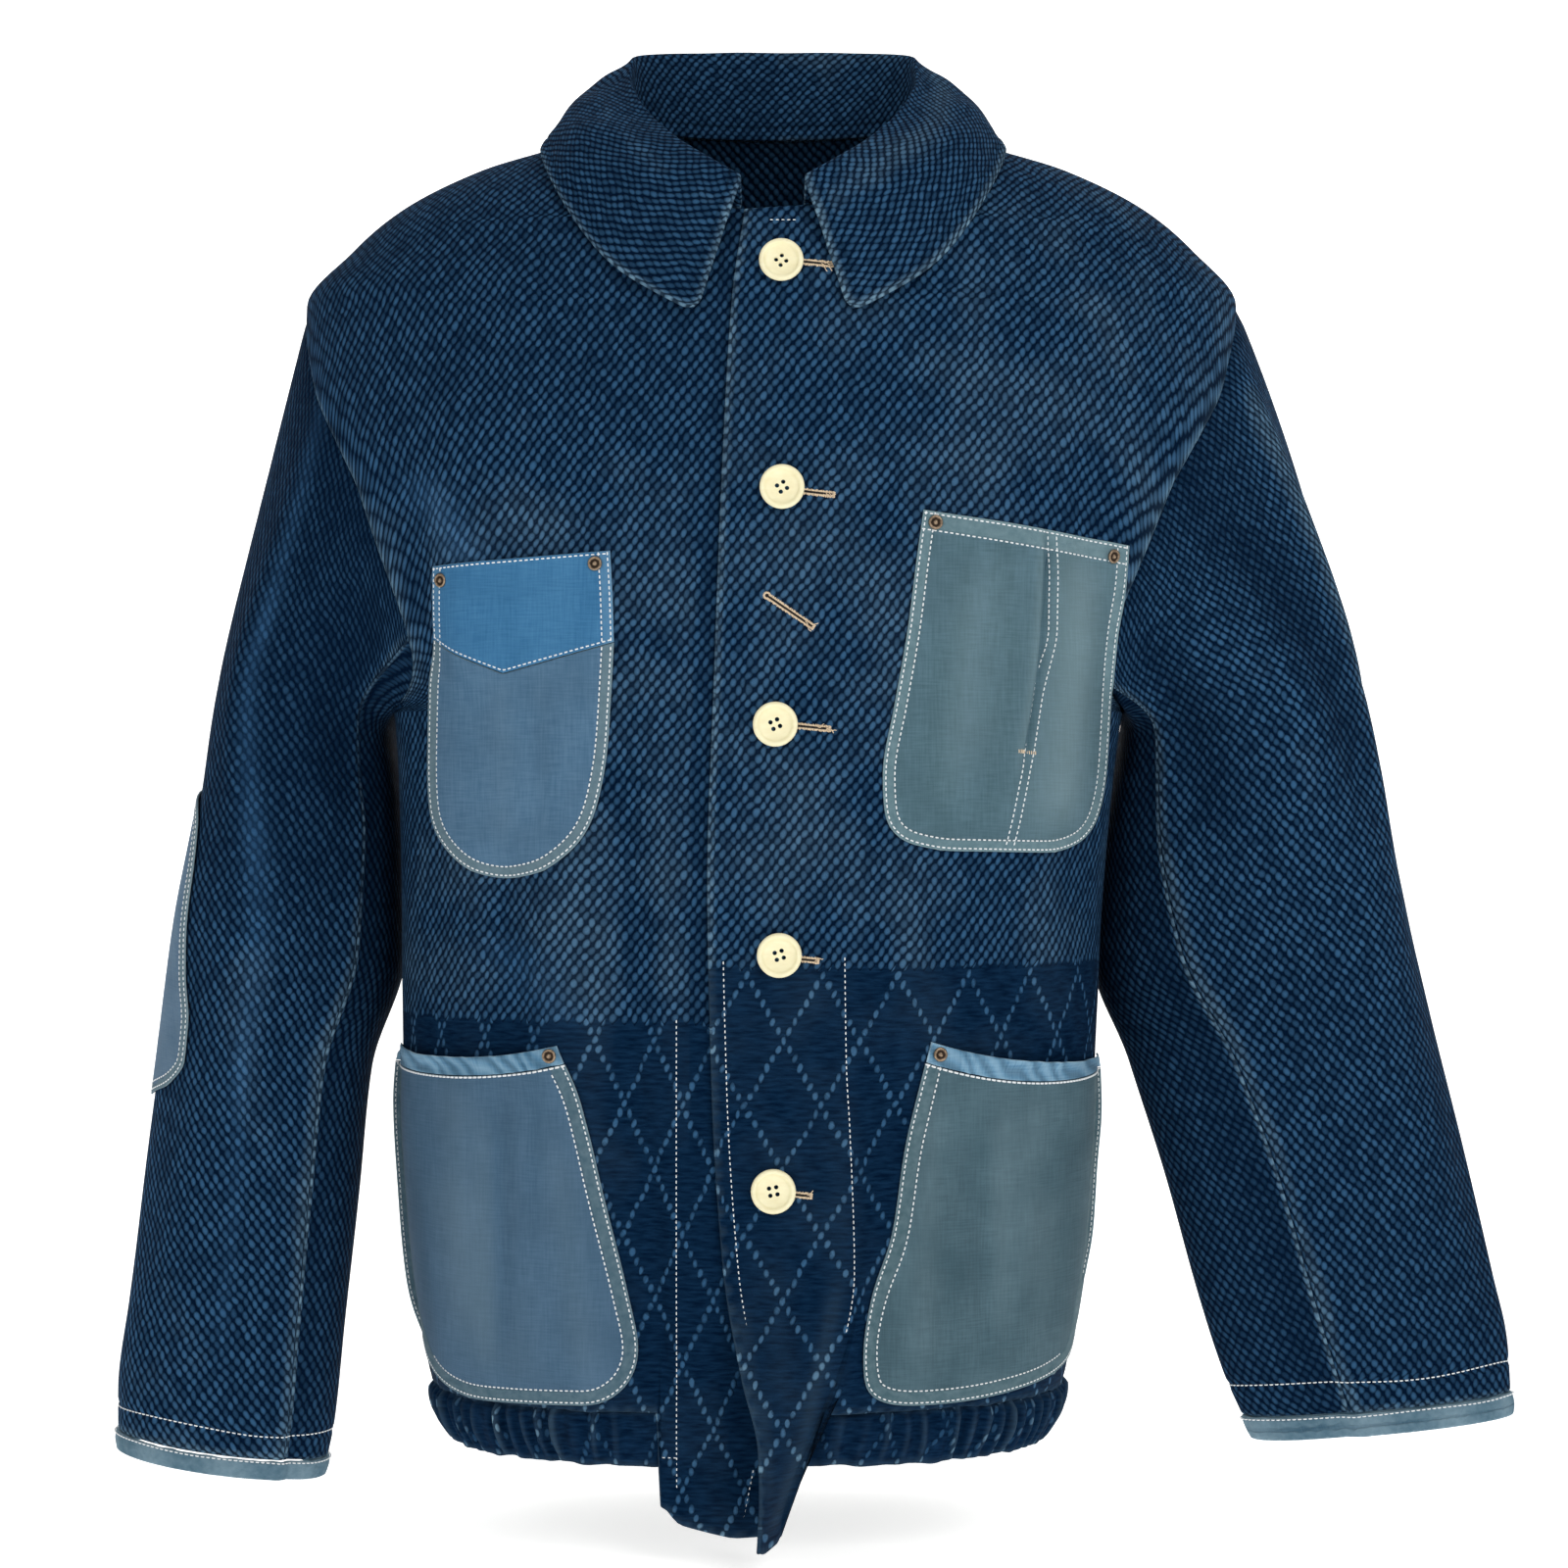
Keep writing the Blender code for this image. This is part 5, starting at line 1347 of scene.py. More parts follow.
@dataclass
class HemCasing:
    """The gathered casing round the hem: a puffed strip drawn up in folds."""

    body: BodyForm
    rows: int = 17
    columns_a_gather: int = 9
    left_end: float = 0.018
    right_end: float = 0.028

    def surface(self) -> Surface:
        """The casing as a grid: a puffed strip with the gathers' wave, uneven and slanted, on it.

        Its top row is tucked under the panels' lower edge, and both ends go on behind the fronts.
        """
        body = self.body
        behind = np.linspace(0, 1, 9)
        first = float(body.angle_at(CASING_TOP, self.left_end))
        last = 2 * math.pi - float(body.angle_at(CASING_TOP, self.right_end))
        shown = np.linspace(body.gather_start, body.gather_end, body.gathers * self.columns_a_gather + 1)
        angle = np.concatenate([
            first + (shown[0] - first) * behind[:-1], shown, shown[-1] + (last - shown[-1]) * behind[1:]
        ])[None]
        under = np.concatenate([1 - behind[:-1], np.zeros(len(shown)), behind[1:]])[None]
        share = np.linspace(0, 1, self.rows)[:, None]
        phase = (angle - shown[0]) / (shown[-1] - shown[0]) * body.gathers
        wobble = np.sin(phase * 1.9 + 0.7) + 0.8 * np.sin(phase * 3.1) + 0.6 * np.sin(phase * 0.61 + 2)
        low = HEM - 0.0012 + 0.0004 * wobble * (1 - under)
        height = low + (CASING_TOP + 0.0022 - low) * share
        slant = 0.007 * np.sin(share * 3.5 + phase * 0.9) + 0.003 * wobble
        wave = body.gather_wave(angle + slant) * (1 + 0.42 * wobble)
        swell = np.sin(math.pi * np.clip(share * 0.93 + 0.02, 0, 1)) ** 0.6
        out = 0.003 * swell - 0.0012 + wave * body.gather_depth * (0.2 + 0.8 * swell)
        out = out - 0.0032 * ease((share - 0.8) / 0.2)
        out = out * (1 - ease(under * 3)) - 0.0036 * ease(under * 3)
        level = unit(body.normal(height, angle) * np.array([1, 1, 0]))
        points = body.surface(height, angle) + level * out[..., None]
        far = travelled(points[6])
        weave = np.stack(np.broadcast_arrays(far[None], height * 1.0), axis=-1)
        # Painted highlight: paler on the gathers' crests, and more so on some of them.
        wear = 0.5 * np.maximum(wave, 0) ** 2 * swell + 0.1 * (wobble > 1.0) * (wave > 0)
        return Surface(points, grid_normals(points), weave, np.clip(wear, -0.3, 1))

    def build(self, material: Finish) -> None:
        """Makes and dresses the casing."""
        under = "back", "front_right", "front_left"
        lay_cloth("hem_casing", self.surface(), SASHIKO, material, "gathered", *under)


@dataclass
class Sleeve:
    """One two-piece sleeve, from the armhole's ring through oval sections to the bound cuff.

    Columns count round it from the shoulder tip, down the front to the underarm, and up the back.
    """

    body: BodyForm
    side: int
    word: str
    sections: Table
    seam: Table
    seam_column: int
    head: float
    creases: tuple[Crease, ...] = ()
    # Streaks in the wear field: paler above zero, painted shade below.
    pale: tuple[Crease, ...] = ()
    blue: tuple[Crease, ...] = ()
    around: int = 16
    back_column: int = 11
    back_degrees: float = 245.0
    seam_columns: float = -0.014
    binding_height: float = 0.0126
    worn: float = 0.0
    steps: int = 190

    def __post_init__(self) -> None:
        """Works out the armhole's ring: points, the way the panel ends there, and normals."""
        half = self.around // 2
        turn = np.linspace(0, half, 121)
        heights = UNDERARM + (SHOULDER_TIP - UNDERARM) * ((half - turn) / half) ** 1.25
        lines = {}
        for which in ("front", "back"):
            at = heights if which == "front" else heights[::-1]
            edge = self.body.seam_angle(at, which)
            angle = self.side * (edge if which == "front" else math.pi - edge)
            points = self.body.surface(at, angle)
            normal = self.body.normal(at, angle)
            ahead = unit(np.cross(np.gradient(points, axis=0), normal))
            ahead *= np.sign(np.sum(ahead * [self.side, 0, 0], axis=-1, keepdims=True) + 1e-9)
            lines[which] = np.concatenate([points, ahead, normal], axis=1)
        front, back = lines["front"], lines["back"]
        joint, tip = (front[-1] + back[0]) / 2, (front[0] + back[-1]) / 2
        self.ring = np.concatenate([[tip], front[1:-1], [joint], back[1:-1], [tip]])
        self.ring_columns = np.linspace(0, self.around, len(self.ring))
        self.end = 1 - self.binding_height / SLEEVE_LENGTH

    def columns_of(self, along: Array, degrees: Array) -> Array:
        """Columns for places in degrees round the sleeve from its outer side through the front."""
        front = read(self.seam, "degrees", along)
        share = (degrees + 360 - self.back_degrees) / (front + 360 - self.back_degrees)
        low = self.back_column - self.around
        return low + share * (self.seam_column - low)

    def grid(self, alongs: Array, columns: Array) -> Array:
        """Points for rows along it and columns round it, through its sections.

        A section is an oval between its outer and inner ends whose power falls from 2.8 to 2 down the
        sleeve, and a cubic along the sleeve joins the armhole's ring and the sections.
        """
        wrapped = np.mod(columns, self.around)
        start = between(wrapped, self.ring_columns, self.ring)
        start, ahead, outward = start[..., :3], unit(start[..., 3:6]), unit(start[..., 6:9])
        rings = []
        for place, outer_x, outer_z, inner_x, inner_z, middle, depth in zip(*self.sections.values()):
            front = float(read(self.seam, "degrees", place))
            degrees = np.interp(
                np.mod(columns - self.back_column, self.around) + self.back_column,
                [self.back_column, self.seam_column + self.around, self.back_column + self.around],
                [self.back_degrees, front + 360, self.back_degrees + 360],
            )
            turn = np.radians(degrees)[..., None]
            share = 2 / float(np.interp(place, (0.22, 0.6), (2.8, 2.0)))
            outwards = np.sign(np.cos(turn)) * np.abs(np.cos(turn)) ** share
            forwards = np.sign(np.sin(turn)) * np.abs(np.sin(turn)) ** share
            behind = float(np.interp(place, (0.22, 0.33, 0.45, 0.6), (0.012, 0.026, 0.026, 0.0)))
            centre = np.array([(outer_x + inner_x) / 2, middle + behind / 2, (outer_z + inner_z) / 2])
            half = np.array([(outer_x - inner_x) / 2, -behind / 2, (outer_z - inner_z) / 2])
            rings.append(centre + half * outwards + np.array([0, -depth, 0]) * forwards)
        leave = unit(rings[0] - start)
        folded = np.clip(0.5 - np.sum(leave * ahead, axis=-1, keepdims=True), 0, 1)
        clear = (ahead + outward) * 0.0006
        tucked = ahead * -0.0012 + outward * -0.0014
        start = start + clear * folded + tucked * (1 - folded)
        stations = np.concatenate([[0], self.sections["along"]])
        place = np.clip(alongs / self.sections["along"][0], 0, 1)[:, None]
        top = np.clip(np.cos(columns / self.around * 2 * math.pi), 0, 1)[None] ** 2
        swell = self.head * 4 * place * (1 - place) * top
        lifted = swell[..., None] * np.array([self.side, 0, 0.3])
        return smooth(alongs, stations, np.array([start, *rings])) + lifted

    def relief(self, along: Array, column: Array) -> Array:
        """How far creases and the seams' dips move the cloth out. A crease's places are column, along."""
        seam, rear = self.past_seam(column, self.seam_column), self.past_seam(column, self.back_column)
        drop = np.where(seam > 0, 0.0021 * bell(seam / 0.6), 0.0008 * bell(seam / 0.1))
        drop = drop - np.where(seam > 0, 0, 0.0007 * bell((seam + 0.2) / 0.15))
        drop = drop + 0.001 * bell(rear / 0.14) + 0.001 * bell(along / 0.006)
        turning = 0.0007 * bell((along - CUFF_HEM) * SLEEVE_LENGTH / 0.0016)
        return total(self.creases, column, -along) - drop - turning

    def past_seam(self, column: Array, seam: float) -> Array:
        """How many columns a place is past a seam, the short way round."""
        return np.mod(column - seam + 8, 16) - 8

    def surface(self, alongs: Array, columns: Array, out: float = 0.0) -> Line:
        """Points and normals for rows along and columns round."""
        points = self.grid(alongs, columns)
        normal = grid_normals(points, self.side)
        moved = self.relief(alongs[:, None], columns[None]) + out
        points = points + normal * moved[..., None]
        return points, grid_normals(points, self.side)

    def path(self, along: Array, column: Array, out: float = 0.0) -> Line:
        """Points and normals for pairs of places, read from a fine grid."""
        if not hasattr(self, "_fine"):
            self._fine = self.surface(np.linspace(0, 1, 241), np.linspace(-6, 12, 289))
        row, over = np.clip(along * 240, 0, 239.999), np.clip((column + 6) * 16, 0, 287.999)
        points, normals = (bilinear(part, row, over) for part in self._fine)
        return points + unit(normals) * out, unit(normals)

    def strip(self, first: float, last: float, count: int) -> Surface:
        """One cut piece of the sleeve, between two columns."""
        columns = np.linspace(first + self.seam_columns, last - self.seam_columns, count)
        head, arm = np.linspace(0, 0.22, 44, endpoint=False), np.linspace(0.22, self.end, self.steps - 44)
        alongs = np.concatenate([head, arm])
        points, normals = self.surface(alongs, columns)
        far = travelled(points, 1)
        middle = np.argmin(np.abs(columns - (0 if first < 0 else (first + last) / 2)))
        far = far - far[:, middle:middle + 1]
        weave = np.stack([self.side * far, travelled(points[::-1])[::-1]], axis=-1)
        a, c = alongs[:, None], columns[None]
        past = self.past_seam(c, self.seam_column)
        # The creases' heights are painted in: paler on ridges, darker in troughs, as painted highlight and
        # painted shade.
        wear = self.worn + 40 * total(self.creases, c, -a) + total(self.pale, c, -a)
        # Paler just before the seam; past it darker over the under sleeve, which is painted shade.
        wear = wear + np.where(past < 0, 0.42 * bell((past + 0.16) / 0.17), -0.45 * bell(past / 0.4))
        wear = wear - 0.3 * ease(past / 0.4) * (past > 0)
        # Painted shadow: darker where the sleeve leaves the armhole. The cuff end is paler with wear.
        wear = wear - 0.6 * np.exp(-a * SLEEVE_LENGTH / 0.014) + 0.12 * ease((a - 0.93) / 0.06)
        tint = 0.6 * total(self.blue, c, -a)
        return Surface(points, normals, weave, np.clip(wear, -0.7, 1), np.clip(tint, 0, 1))

    def build(self, cloth: Finish, binding: Finish) -> None:
        """Makes and dresses the top sleeve, the under sleeve and the cuff's binding."""
        low, names = self.back_column - self.around, (f"top_sleeve_{self.word}", f"under_sleeve_{self.word}")
        parts = (low, self.seam_column, 92), (self.seam_column, self.back_column, 40)
        for name, part in zip(names, parts):
            lay_cloth(name, self.strip(*part), SASHIKO, cloth, "hung", f"front_{self.word}", "back")
        alongs = np.linspace(self.end + 0.0005 / SLEEVE_LENGTH, 1.0, 7)
        columns = np.linspace(0, self.around, 129)
        points, _ = self.surface(alongs, columns)
        puff = np.sin(np.linspace(0.15, math.pi - 0.15, 7))[:, None]
        crimp = 1 + 0.9 * np.sin(columns * 9.7)[None] * np.sin(columns * 2.3 + 1)[None]
        normals = grid_normals(points, self.side)
        points = points + normals * (0.0007 + 0.0007 * puff * crimp)[..., None]
        points[:, -1] = points[:, 0]
        far = travelled(points[3])
        weave = np.stack(np.broadcast_arrays(far[None], -alongs[:, None] * SLEEVE_LENGTH), axis=-1)
        wear = 0.15 + 0.2 * np.sin(columns * 3.1)[None] * np.ones((7, 1))
        surface = Surface(points, grid_normals(points, self.side), weave, np.clip(wear, 0, 1))
        name = f"cuff_binding_{self.word}"
        lay_cloth(name, surface, SASHIKO + 0.0012, binding, "folded", *names, closed=True)


@dataclass
class Collar:
    """The collar: a strip that stands up round the neck, rolls over and falls on the shoulders."""

    body: BodyForm
    centre: float = 0.012
    roll_width: float = 0.0055
    lift: float = 0.0032
    across: int = 56
    tip: float = 0.009

    def neckline(self) -> tuple[Array, Array, Array]:
        """The left half of the neckline, front to back, centred: points, panel ends and normals."""
        body = self.body
        heights = NECK_POINT + (NECKLINE["height"][1] - NECK_POINT) * np.linspace(1, 0, 60) ** 1.15
        angle = body.angle_at(heights, read(NECKLINE, "out", heights))
        front, front_normal = body.surface(heights, angle), body.normal(heights, angle)
        front[:, 0] -= body.get("lean", heights)
        front_ahead = unit(np.cross(front_normal, np.gradient(front, axis=0)))
        edge = float(body.seam_angle(NECK_POINT, "back"))
        angle = math.pi - edge * np.linspace(1, 0, 50)
        back, back_normal = body.surface(NECK_POINT, angle), body.normal(NECK_POINT, angle)
        back[:, 0] -= body.get("lean", NECK_POINT)
        back_ahead = unit(np.cross(back_normal, np.gradient(back, axis=0)))
        front_ahead *= np.sign(front_ahead[:, 2:])
        back_ahead *= np.sign(back_ahead[:, 2:])
        pairs = (front, back), (front_ahead, back_ahead), (front_normal, back_normal)
        return tuple(np.concatenate([first, second[1:]]) for first, second in pairs)

    def clear_body(self, points: Array, need: float) -> Array:
        """Points moved out until they are a distance from the body's own surface."""
        points, body = points.copy(), self.body

        def level(at: Array) -> Array:
            """The superellipse's own measure: 1 on the surface and more outside it."""
            height = np.minimum(at[:, 2], NECK_POINT)
            power = body.get("power", height)
            reach = np.where(at[:, 1] < 0, body.get("front", height), body.get("back", height))
            across = np.abs(at[:, 0] - body.get("lean", height)) / body.get("half_width", height)
            return (across**power + (np.abs(at[:, 1]) / reach) ** power) ** (1 / power)

        for _ in range(6):
            here = level(points)
            slope = np.stack([(level(points + 1e-4 * axis) - here) / 1e-4 for axis in np.eye(3)], axis=1)
            size = np.maximum(np.linalg.norm(slope, axis=1), 1e-6)
            short = np.maximum(need - (here - 1) / size, 0)
            short = np.where(points[:, 2] > NECK_POINT + 0.004, 0, short)
            points += slope / size[:, None] * np.minimum(short, 0.004)[:, None]
        return points

    def surface(self) -> Surface:
        """The collar as a grid along the neckline and over the roll.

        Nine knots a section go up the stand, over the roll and down the fall, whose edge lies on the
        body at the table's angle and height. A smooth curve joins them, and the fall has a sunk line of
        stitching a little inside its puffed edge.
        """
        body = self.body
        line, ahead, normal = self.neckline()
        ahead, normal = (
            unit(blurred(np.pad(part, ((4, 4), (0, 0)), "edge"), np.hanning(9))) for part in (ahead, normal)
        )
        far = travelled(line)
        even = np.linspace(0, 1, 100)
        line, ahead, normal = (between(even, far / far[-1], part) for part in (line, ahead, normal))
        get = {c: read(COLLAR, c, even) for c in COLLAR}
        base = line - normal * (SASHIKO + COLLAR_CLOTH) / 2 + ahead * 0.0006
        roll = np.stack([get["roll_x"], get["roll_y"], get["roll_z"]], axis=1)
        away = roll * [1, 1, 0] - np.array([0, -0.02, 0])
        away[:, 0] = np.maximum(away[:, 0], 0)
        away = unit(away)
        height = get["edge_z"]
        edge = body.surface(height, np.radians(get["edge_turn"]))
        edge[:, 0] -= body.get("lean", height)
        up = np.array([0, 0, 1.0])
        swell = get["swell"][:, None]
        top = roll + away * self.roll_width + up * -0.0025
        middle = (top + edge) / 2 + (away * 0.7 + up * 0.7) * swell
        stood = base + ahead * 0.0045
        knots = np.stack([
            base, stood, stood * 0.35 + (roll - away * 0.0015) * 0.65, roll, top,
            (top + middle) / 2 + (away + up) * 0.15 * swell, middle,
            (middle + edge) / 2 + (away + up) * 0.15 * swell, edge,
        ], axis=1)
        need = COLLAR_CLOTH + 0.0013 + self.lift * (1 - ease((even - 0.1) / 0.2))
        lean = body.get("lean", height)
        shift = np.stack([lean, 0 * lean, 0 * lean], axis=1)
        for k in range(4, knots.shape[1]):
            knots[:, k] = self.clear_body(knots[:, k] + shift, need) - shift
        left = spline(knots, self.across)
        weights = np.hanning(7) / np.hanning(7).sum()
        padded = np.concatenate([
            2 * left[:1] - left[3:0:-1], left, left[-2:-5:-1] * np.array([-1, 1, 1])
        ])
        left = sum(w * padded[k:k + len(left)] for k, w in enumerate(weights))
        right = left[:-1] * np.array([-1, 1, 1])
        points = np.concatenate([right, left[::-1]])
        points[..., 0] += self.centre
        normals = unit(np.cross(np.gradient(points, axis=0), np.gradient(points, axis=1)))
        length, depth = travelled(points), travelled(points, 1)
        length -= length[len(points) // 2]
        from_edge = depth[:, -1:] - depth
        ends = np.minimum(length - length[:1], length[-1:] - length)
        inside = np.minimum(from_edge, ends)
        fallen = ease((depth / depth[:, -1:] - 0.42) / 0.1)
        groove = -0.0007 * bell((inside - 0.0068) / 0.0016) + 0.0004 * bell((inside - 0.003) / 0.002)
        uneven = 0.0006 * np.sin(length * 130 + 1) * np.sin(depth * 90) * ease(inside / 0.01)
        outwards, onwards = unit(np.gradient(points, axis=1)), unit(np.gradient(points, axis=0))
        onwards = onwards * np.sign(np.arange(len(points)) - len(points) / 2)[:, None, None]
        p, q = np.clip(1 - from_edge / self.tip, 0, 1), np.clip(1 - ends / self.tip, 0, 1)
        points = points - outwards * (self.tip * p * (1 - np.sqrt(1 - q**2 / 2)))[..., None]
        points = points - onwards * (self.tip * q * (1 - np.sqrt(1 - p**2 / 2)))[..., None]
        points = points + normals * ((groove + uneven) * fallen)[..., None]
        normals = unit(np.cross(np.gradient(points, axis=0), np.gradient(points, axis=1)))
        share = depth / depth[:, -1:]
        middle = length[:, int(self.across * 0.7)][:, None]
        weave = np.stack([share * depth[:, -1].mean(), middle * 0.75 + length * 0.25], axis=-1)
        rolled = bell((depth / depth[:, -1:] - 0.45) / 0.08)
        # Paler along the roll and on the fall's rubbed edge. The wearer's right half is darker: painted
        # shade, away from the key light.
        wear = 0.22 * rolled + 0.3 * np.exp(-inside / 0.004) * fallen - 0.18 * (points[..., 0] < self.centre)
        return Surface(points, normals, weave, np.clip(wear, -0.3, 1))

    def build(self, material: Finish) -> None:
        """Makes and dresses the collar."""
        under = "front_left", "front_right", "back"
        lay_cloth("collar", self.surface(), COLLAR_CLOTH, material, "folded", *under)


class Edge(Enum):
    """Which of a pocket's edges."""

    SEAM = "down the first side, along the foot and up the last side"
    TOP = "the opening"
    FIRST = "the side nearer the right arm"
    LAST = "the side nearer the left arm"
    FOOT = "the foot"


def line_at(line: Array, share: Array) -> Array:
    """Points at shares of a line's length, for a line of even steps."""
    return between(share, np.linspace(0, 1, len(line)), line)


def evened(line: Array, count: int) -> Array:
    """The same line with points at even steps."""
    far = travelled(line)
    return between(np.linspace(0, far[-1], count), far, line)


def eased_line(line: Array, reach: float) -> Array:
    """A line of even steps with its corners rounded over a reach, its ends kept."""
    size = int(reach / max(travelled(line)[-1] / len(line), 1e-9)) // 2
    if size < 2:
        return line
    padded = np.concatenate([2 * line[0] - line[size:0:-1], line, 2 * line[-1] - line[-2:-size - 2:-1]])
    return blurred(padded, np.hanning(2 * size + 3)[1:-1])


@dataclass
class Pocket:
    """A patch pocket, or one cloth of it, laid on a front. Its shape is worked out flat, seen from
    the front, as the patch between four edges, and then every point is carried to the front."""

    node: str
    front: Front
    rows: Table
    hem: float = 0.006
    top_hem: float = 0.0
    stitched: tuple[Edge, ...] = (Edge.SEAM,)
    bend: float = 2.0
    peak: float = 0.5
    corner: float = 0.03
    gap: float = 0.0005
    puff: float = 0.0012
    mouth: float = 0.0
    sagging: float = 0.0
    creases: tuple[Crease, ...] = ()
    pale: tuple[Crease, ...] = ()
    pucker: float = 0.0
    spacing: float = 0.0017

    def __post_init__(self) -> None:
        """Works out the pocket's edges."""
        ends = np.stack(list(self.rows.values())[:4], axis=1)
        places = travelled(ends) / travelled(ends)[-1]
        sides = smooth(np.linspace(0, 1, 200), places, ends)
        first, last = evened(sides[:, :2], 160), evened(sides[:, 2:], 160)
        self.top, foot = self.row(0), self.row(-1)
        seam = evened(np.concatenate([first, foot[1:-1], last[::-1]]), 600)
        near = [np.argmin(np.linalg.norm(seam - end, axis=1)) for end in (foot[0], foot[-1])]
        self.seam = eased_line(seam, self.corner)
        self.first, self.foot, self.last = (
            self.seam[:near[0] + 1], self.seam[near[0]:near[1] + 1], self.seam[near[1]:][::-1]
        )

    def row(self, number: int) -> Array:
        """One row of the table as a line from its first to its last end, with its sag."""
        u = np.linspace(0, 1, 121)
        x0, z0, x1, z1, sag = (column[number] for column in self.rows.values())
        across = np.interp(u, (0, 0.5, 1), (0, self.peak, 1)) if self.bend == 1 else u
        sag = sag * (1 - np.abs(2 * u - 1) ** self.bend)
        return np.stack([x0 + (x1 - x0) * across, z0 + (z1 - z0) * across - sag], 1)

    def edge_line(self, edge: Edge) -> Array:
        """One of the pocket's edges."""
        return getattr(self, edge.name.lower())

    def flat(self, v: Array, u: Array) -> Array:
        """Places across and heights for shares down and across the pocket.

        The mean of the two ways across between opposite edges, less what the corners count twice.
        """
        down, over = v[..., None], u[..., None]
        corners = (self.first[0], self.last[0], self.first[-1], self.last[-1])
        return (
            (1 - down) * line_at(self.top, u) + down * line_at(self.foot, u)
            + (1 - over) * line_at(self.first, v) + over * line_at(self.last, v)
            - (1 - down) * (1 - over) * corners[0] - (1 - down) * over * corners[1]
            - down * (1 - over) * corners[2] - down * over * corners[3]
        )

    def seam_distance(self, flat: Array) -> Array:
        """How far places are from the stitched edges, with the opening's hem scaled to the seams'."""
        spots = np.concatenate([flat, np.zeros(flat.shape[:-1] + (1,))], axis=-1)
        lines = np.concatenate([self.edge_line(edge) for edge in self.stitched])
        found = nearest(spots, np.pad(lines[::2], ((0, 0), (0, 1))))
        if self.top_hem:
            opening = nearest(spots, np.pad(self.top, ((0, 0), (0, 1))))
            found = np.minimum(found, opening * self.hem / self.top_hem)
        return found

    def raised(self, flat: Array, edge: Array) -> Array:
        """How far its outer face is from the front.

        Seated at the seams, puffed between them, standing off at the mouth, and drawn into short
        slanting puckers where a heavy thread gathers it.
        """
        x, z = flat[..., 0], flat[..., 1]
        tall = self.top[:, 1].mean() - self.foot[:, 1].mean()
        depth = np.clip((self.top[:, 1].mean() - z) / tall, 0, 1)
        outer = self.front.side * (x - self.front.side * 0.135) / 0.045
        share = np.clip((x - self.top[0, 0]) / (self.top[-1, 0] - self.top[0, 0]), 0, 1)
        held = ease(share / 0.3) * ease((1 - share) / 0.3)
        gape = (self.mouth + self.sagging * np.clip(outer * 0.5 + 0.5, 0, 1)) * held * ease(1 - depth / 0.9)
        drawn = self.drawn(flat) * np.sin(depth * math.pi)
        return self.gap + CHAMBRAY + self.puff * ease(edge / 0.02) + gape + drawn + total(self.creases, x, z)

    def drawn(self, flat: Array) -> Array:
        """The puckers: a slanted wave of uneven spacing, 8 to 13 mm apart."""
        x, z = flat[..., 0], flat[..., 1]
        return self.pucker * np.sin((x + z * 0.8) * 620 + 1.9 * np.sin(x * 170) + 0.8 * np.sin(x * 410))

    def build(self, material: Finish) -> None:
        """Makes and dresses the pocket."""
        tall, wide = travelled(self.first)[-1], travelled(self.top)[-1]
        counts = max(9, int(tall / self.spacing)), int(wide / self.spacing)
        v, u = np.meshgrid(*(np.linspace(0, 1, count) for count in counts), indexing="ij")
        flat = self.flat(v, u)
        edge = self.seam_distance(flat)
        x, z = flat[..., 0], flat[..., 1]
        points, normals = self.front.place(x, z, self.raised(flat, edge))
        made = grid_normals(points)
        made = made if np.sum(made * normals) > 0 else -made
        # The creases' and puckers' heights are painted into the colour: paler on ridges, darker in troughs,
        # as painted highlight and painted shade. The pale streaks make it paler.
        wear = total(self.pale, x, z) + 75 * total(self.creases, x, z) + 420 * self.drawn(flat)
        wear = np.clip(wear, -0.6, 1)
        surface = Surface(points, made, flat, wear, hem=edge)
        lay_cloth(self.node, surface, CHAMBRAY, material, "laid", f"front_{self.front.word}")

    def on_face(self, line: Array) -> Line:
        """Points and normals on the pocket's face for a line of places across and heights."""
        return self.front.place(line[:, 0], line[:, 1], self.raised(line, self.seam_distance(line)))

    def inset(self, distance: float, edge: Edge = Edge.SEAM, share: tuple[float, float] = (0, 1)) -> Line:
        """A line on the pocket's face a distance inside one of its edges.

        Args:
            distance: How far inside.
            edge: Which edge.
            share: The part of the edge's length that it follows.

        Returns:
            Points and normals along it.
        """
        line = evened(eased_line(evened(self.edge_line(edge), 500), 0.004), 500)
        line = line[int(share[0] * 499):int(share[1] * 499) + 1]
        way = unit(np.gradient(line, axis=0))
        inward = np.stack([-way[:, 1], way[:, 0]], axis=1)
        middle = np.concatenate([self.top, self.foot]).mean(axis=0)
        inward *= np.sign(np.sum((middle - line) * inward))
        moved = line + inward * distance
        return self.on_face(moved)


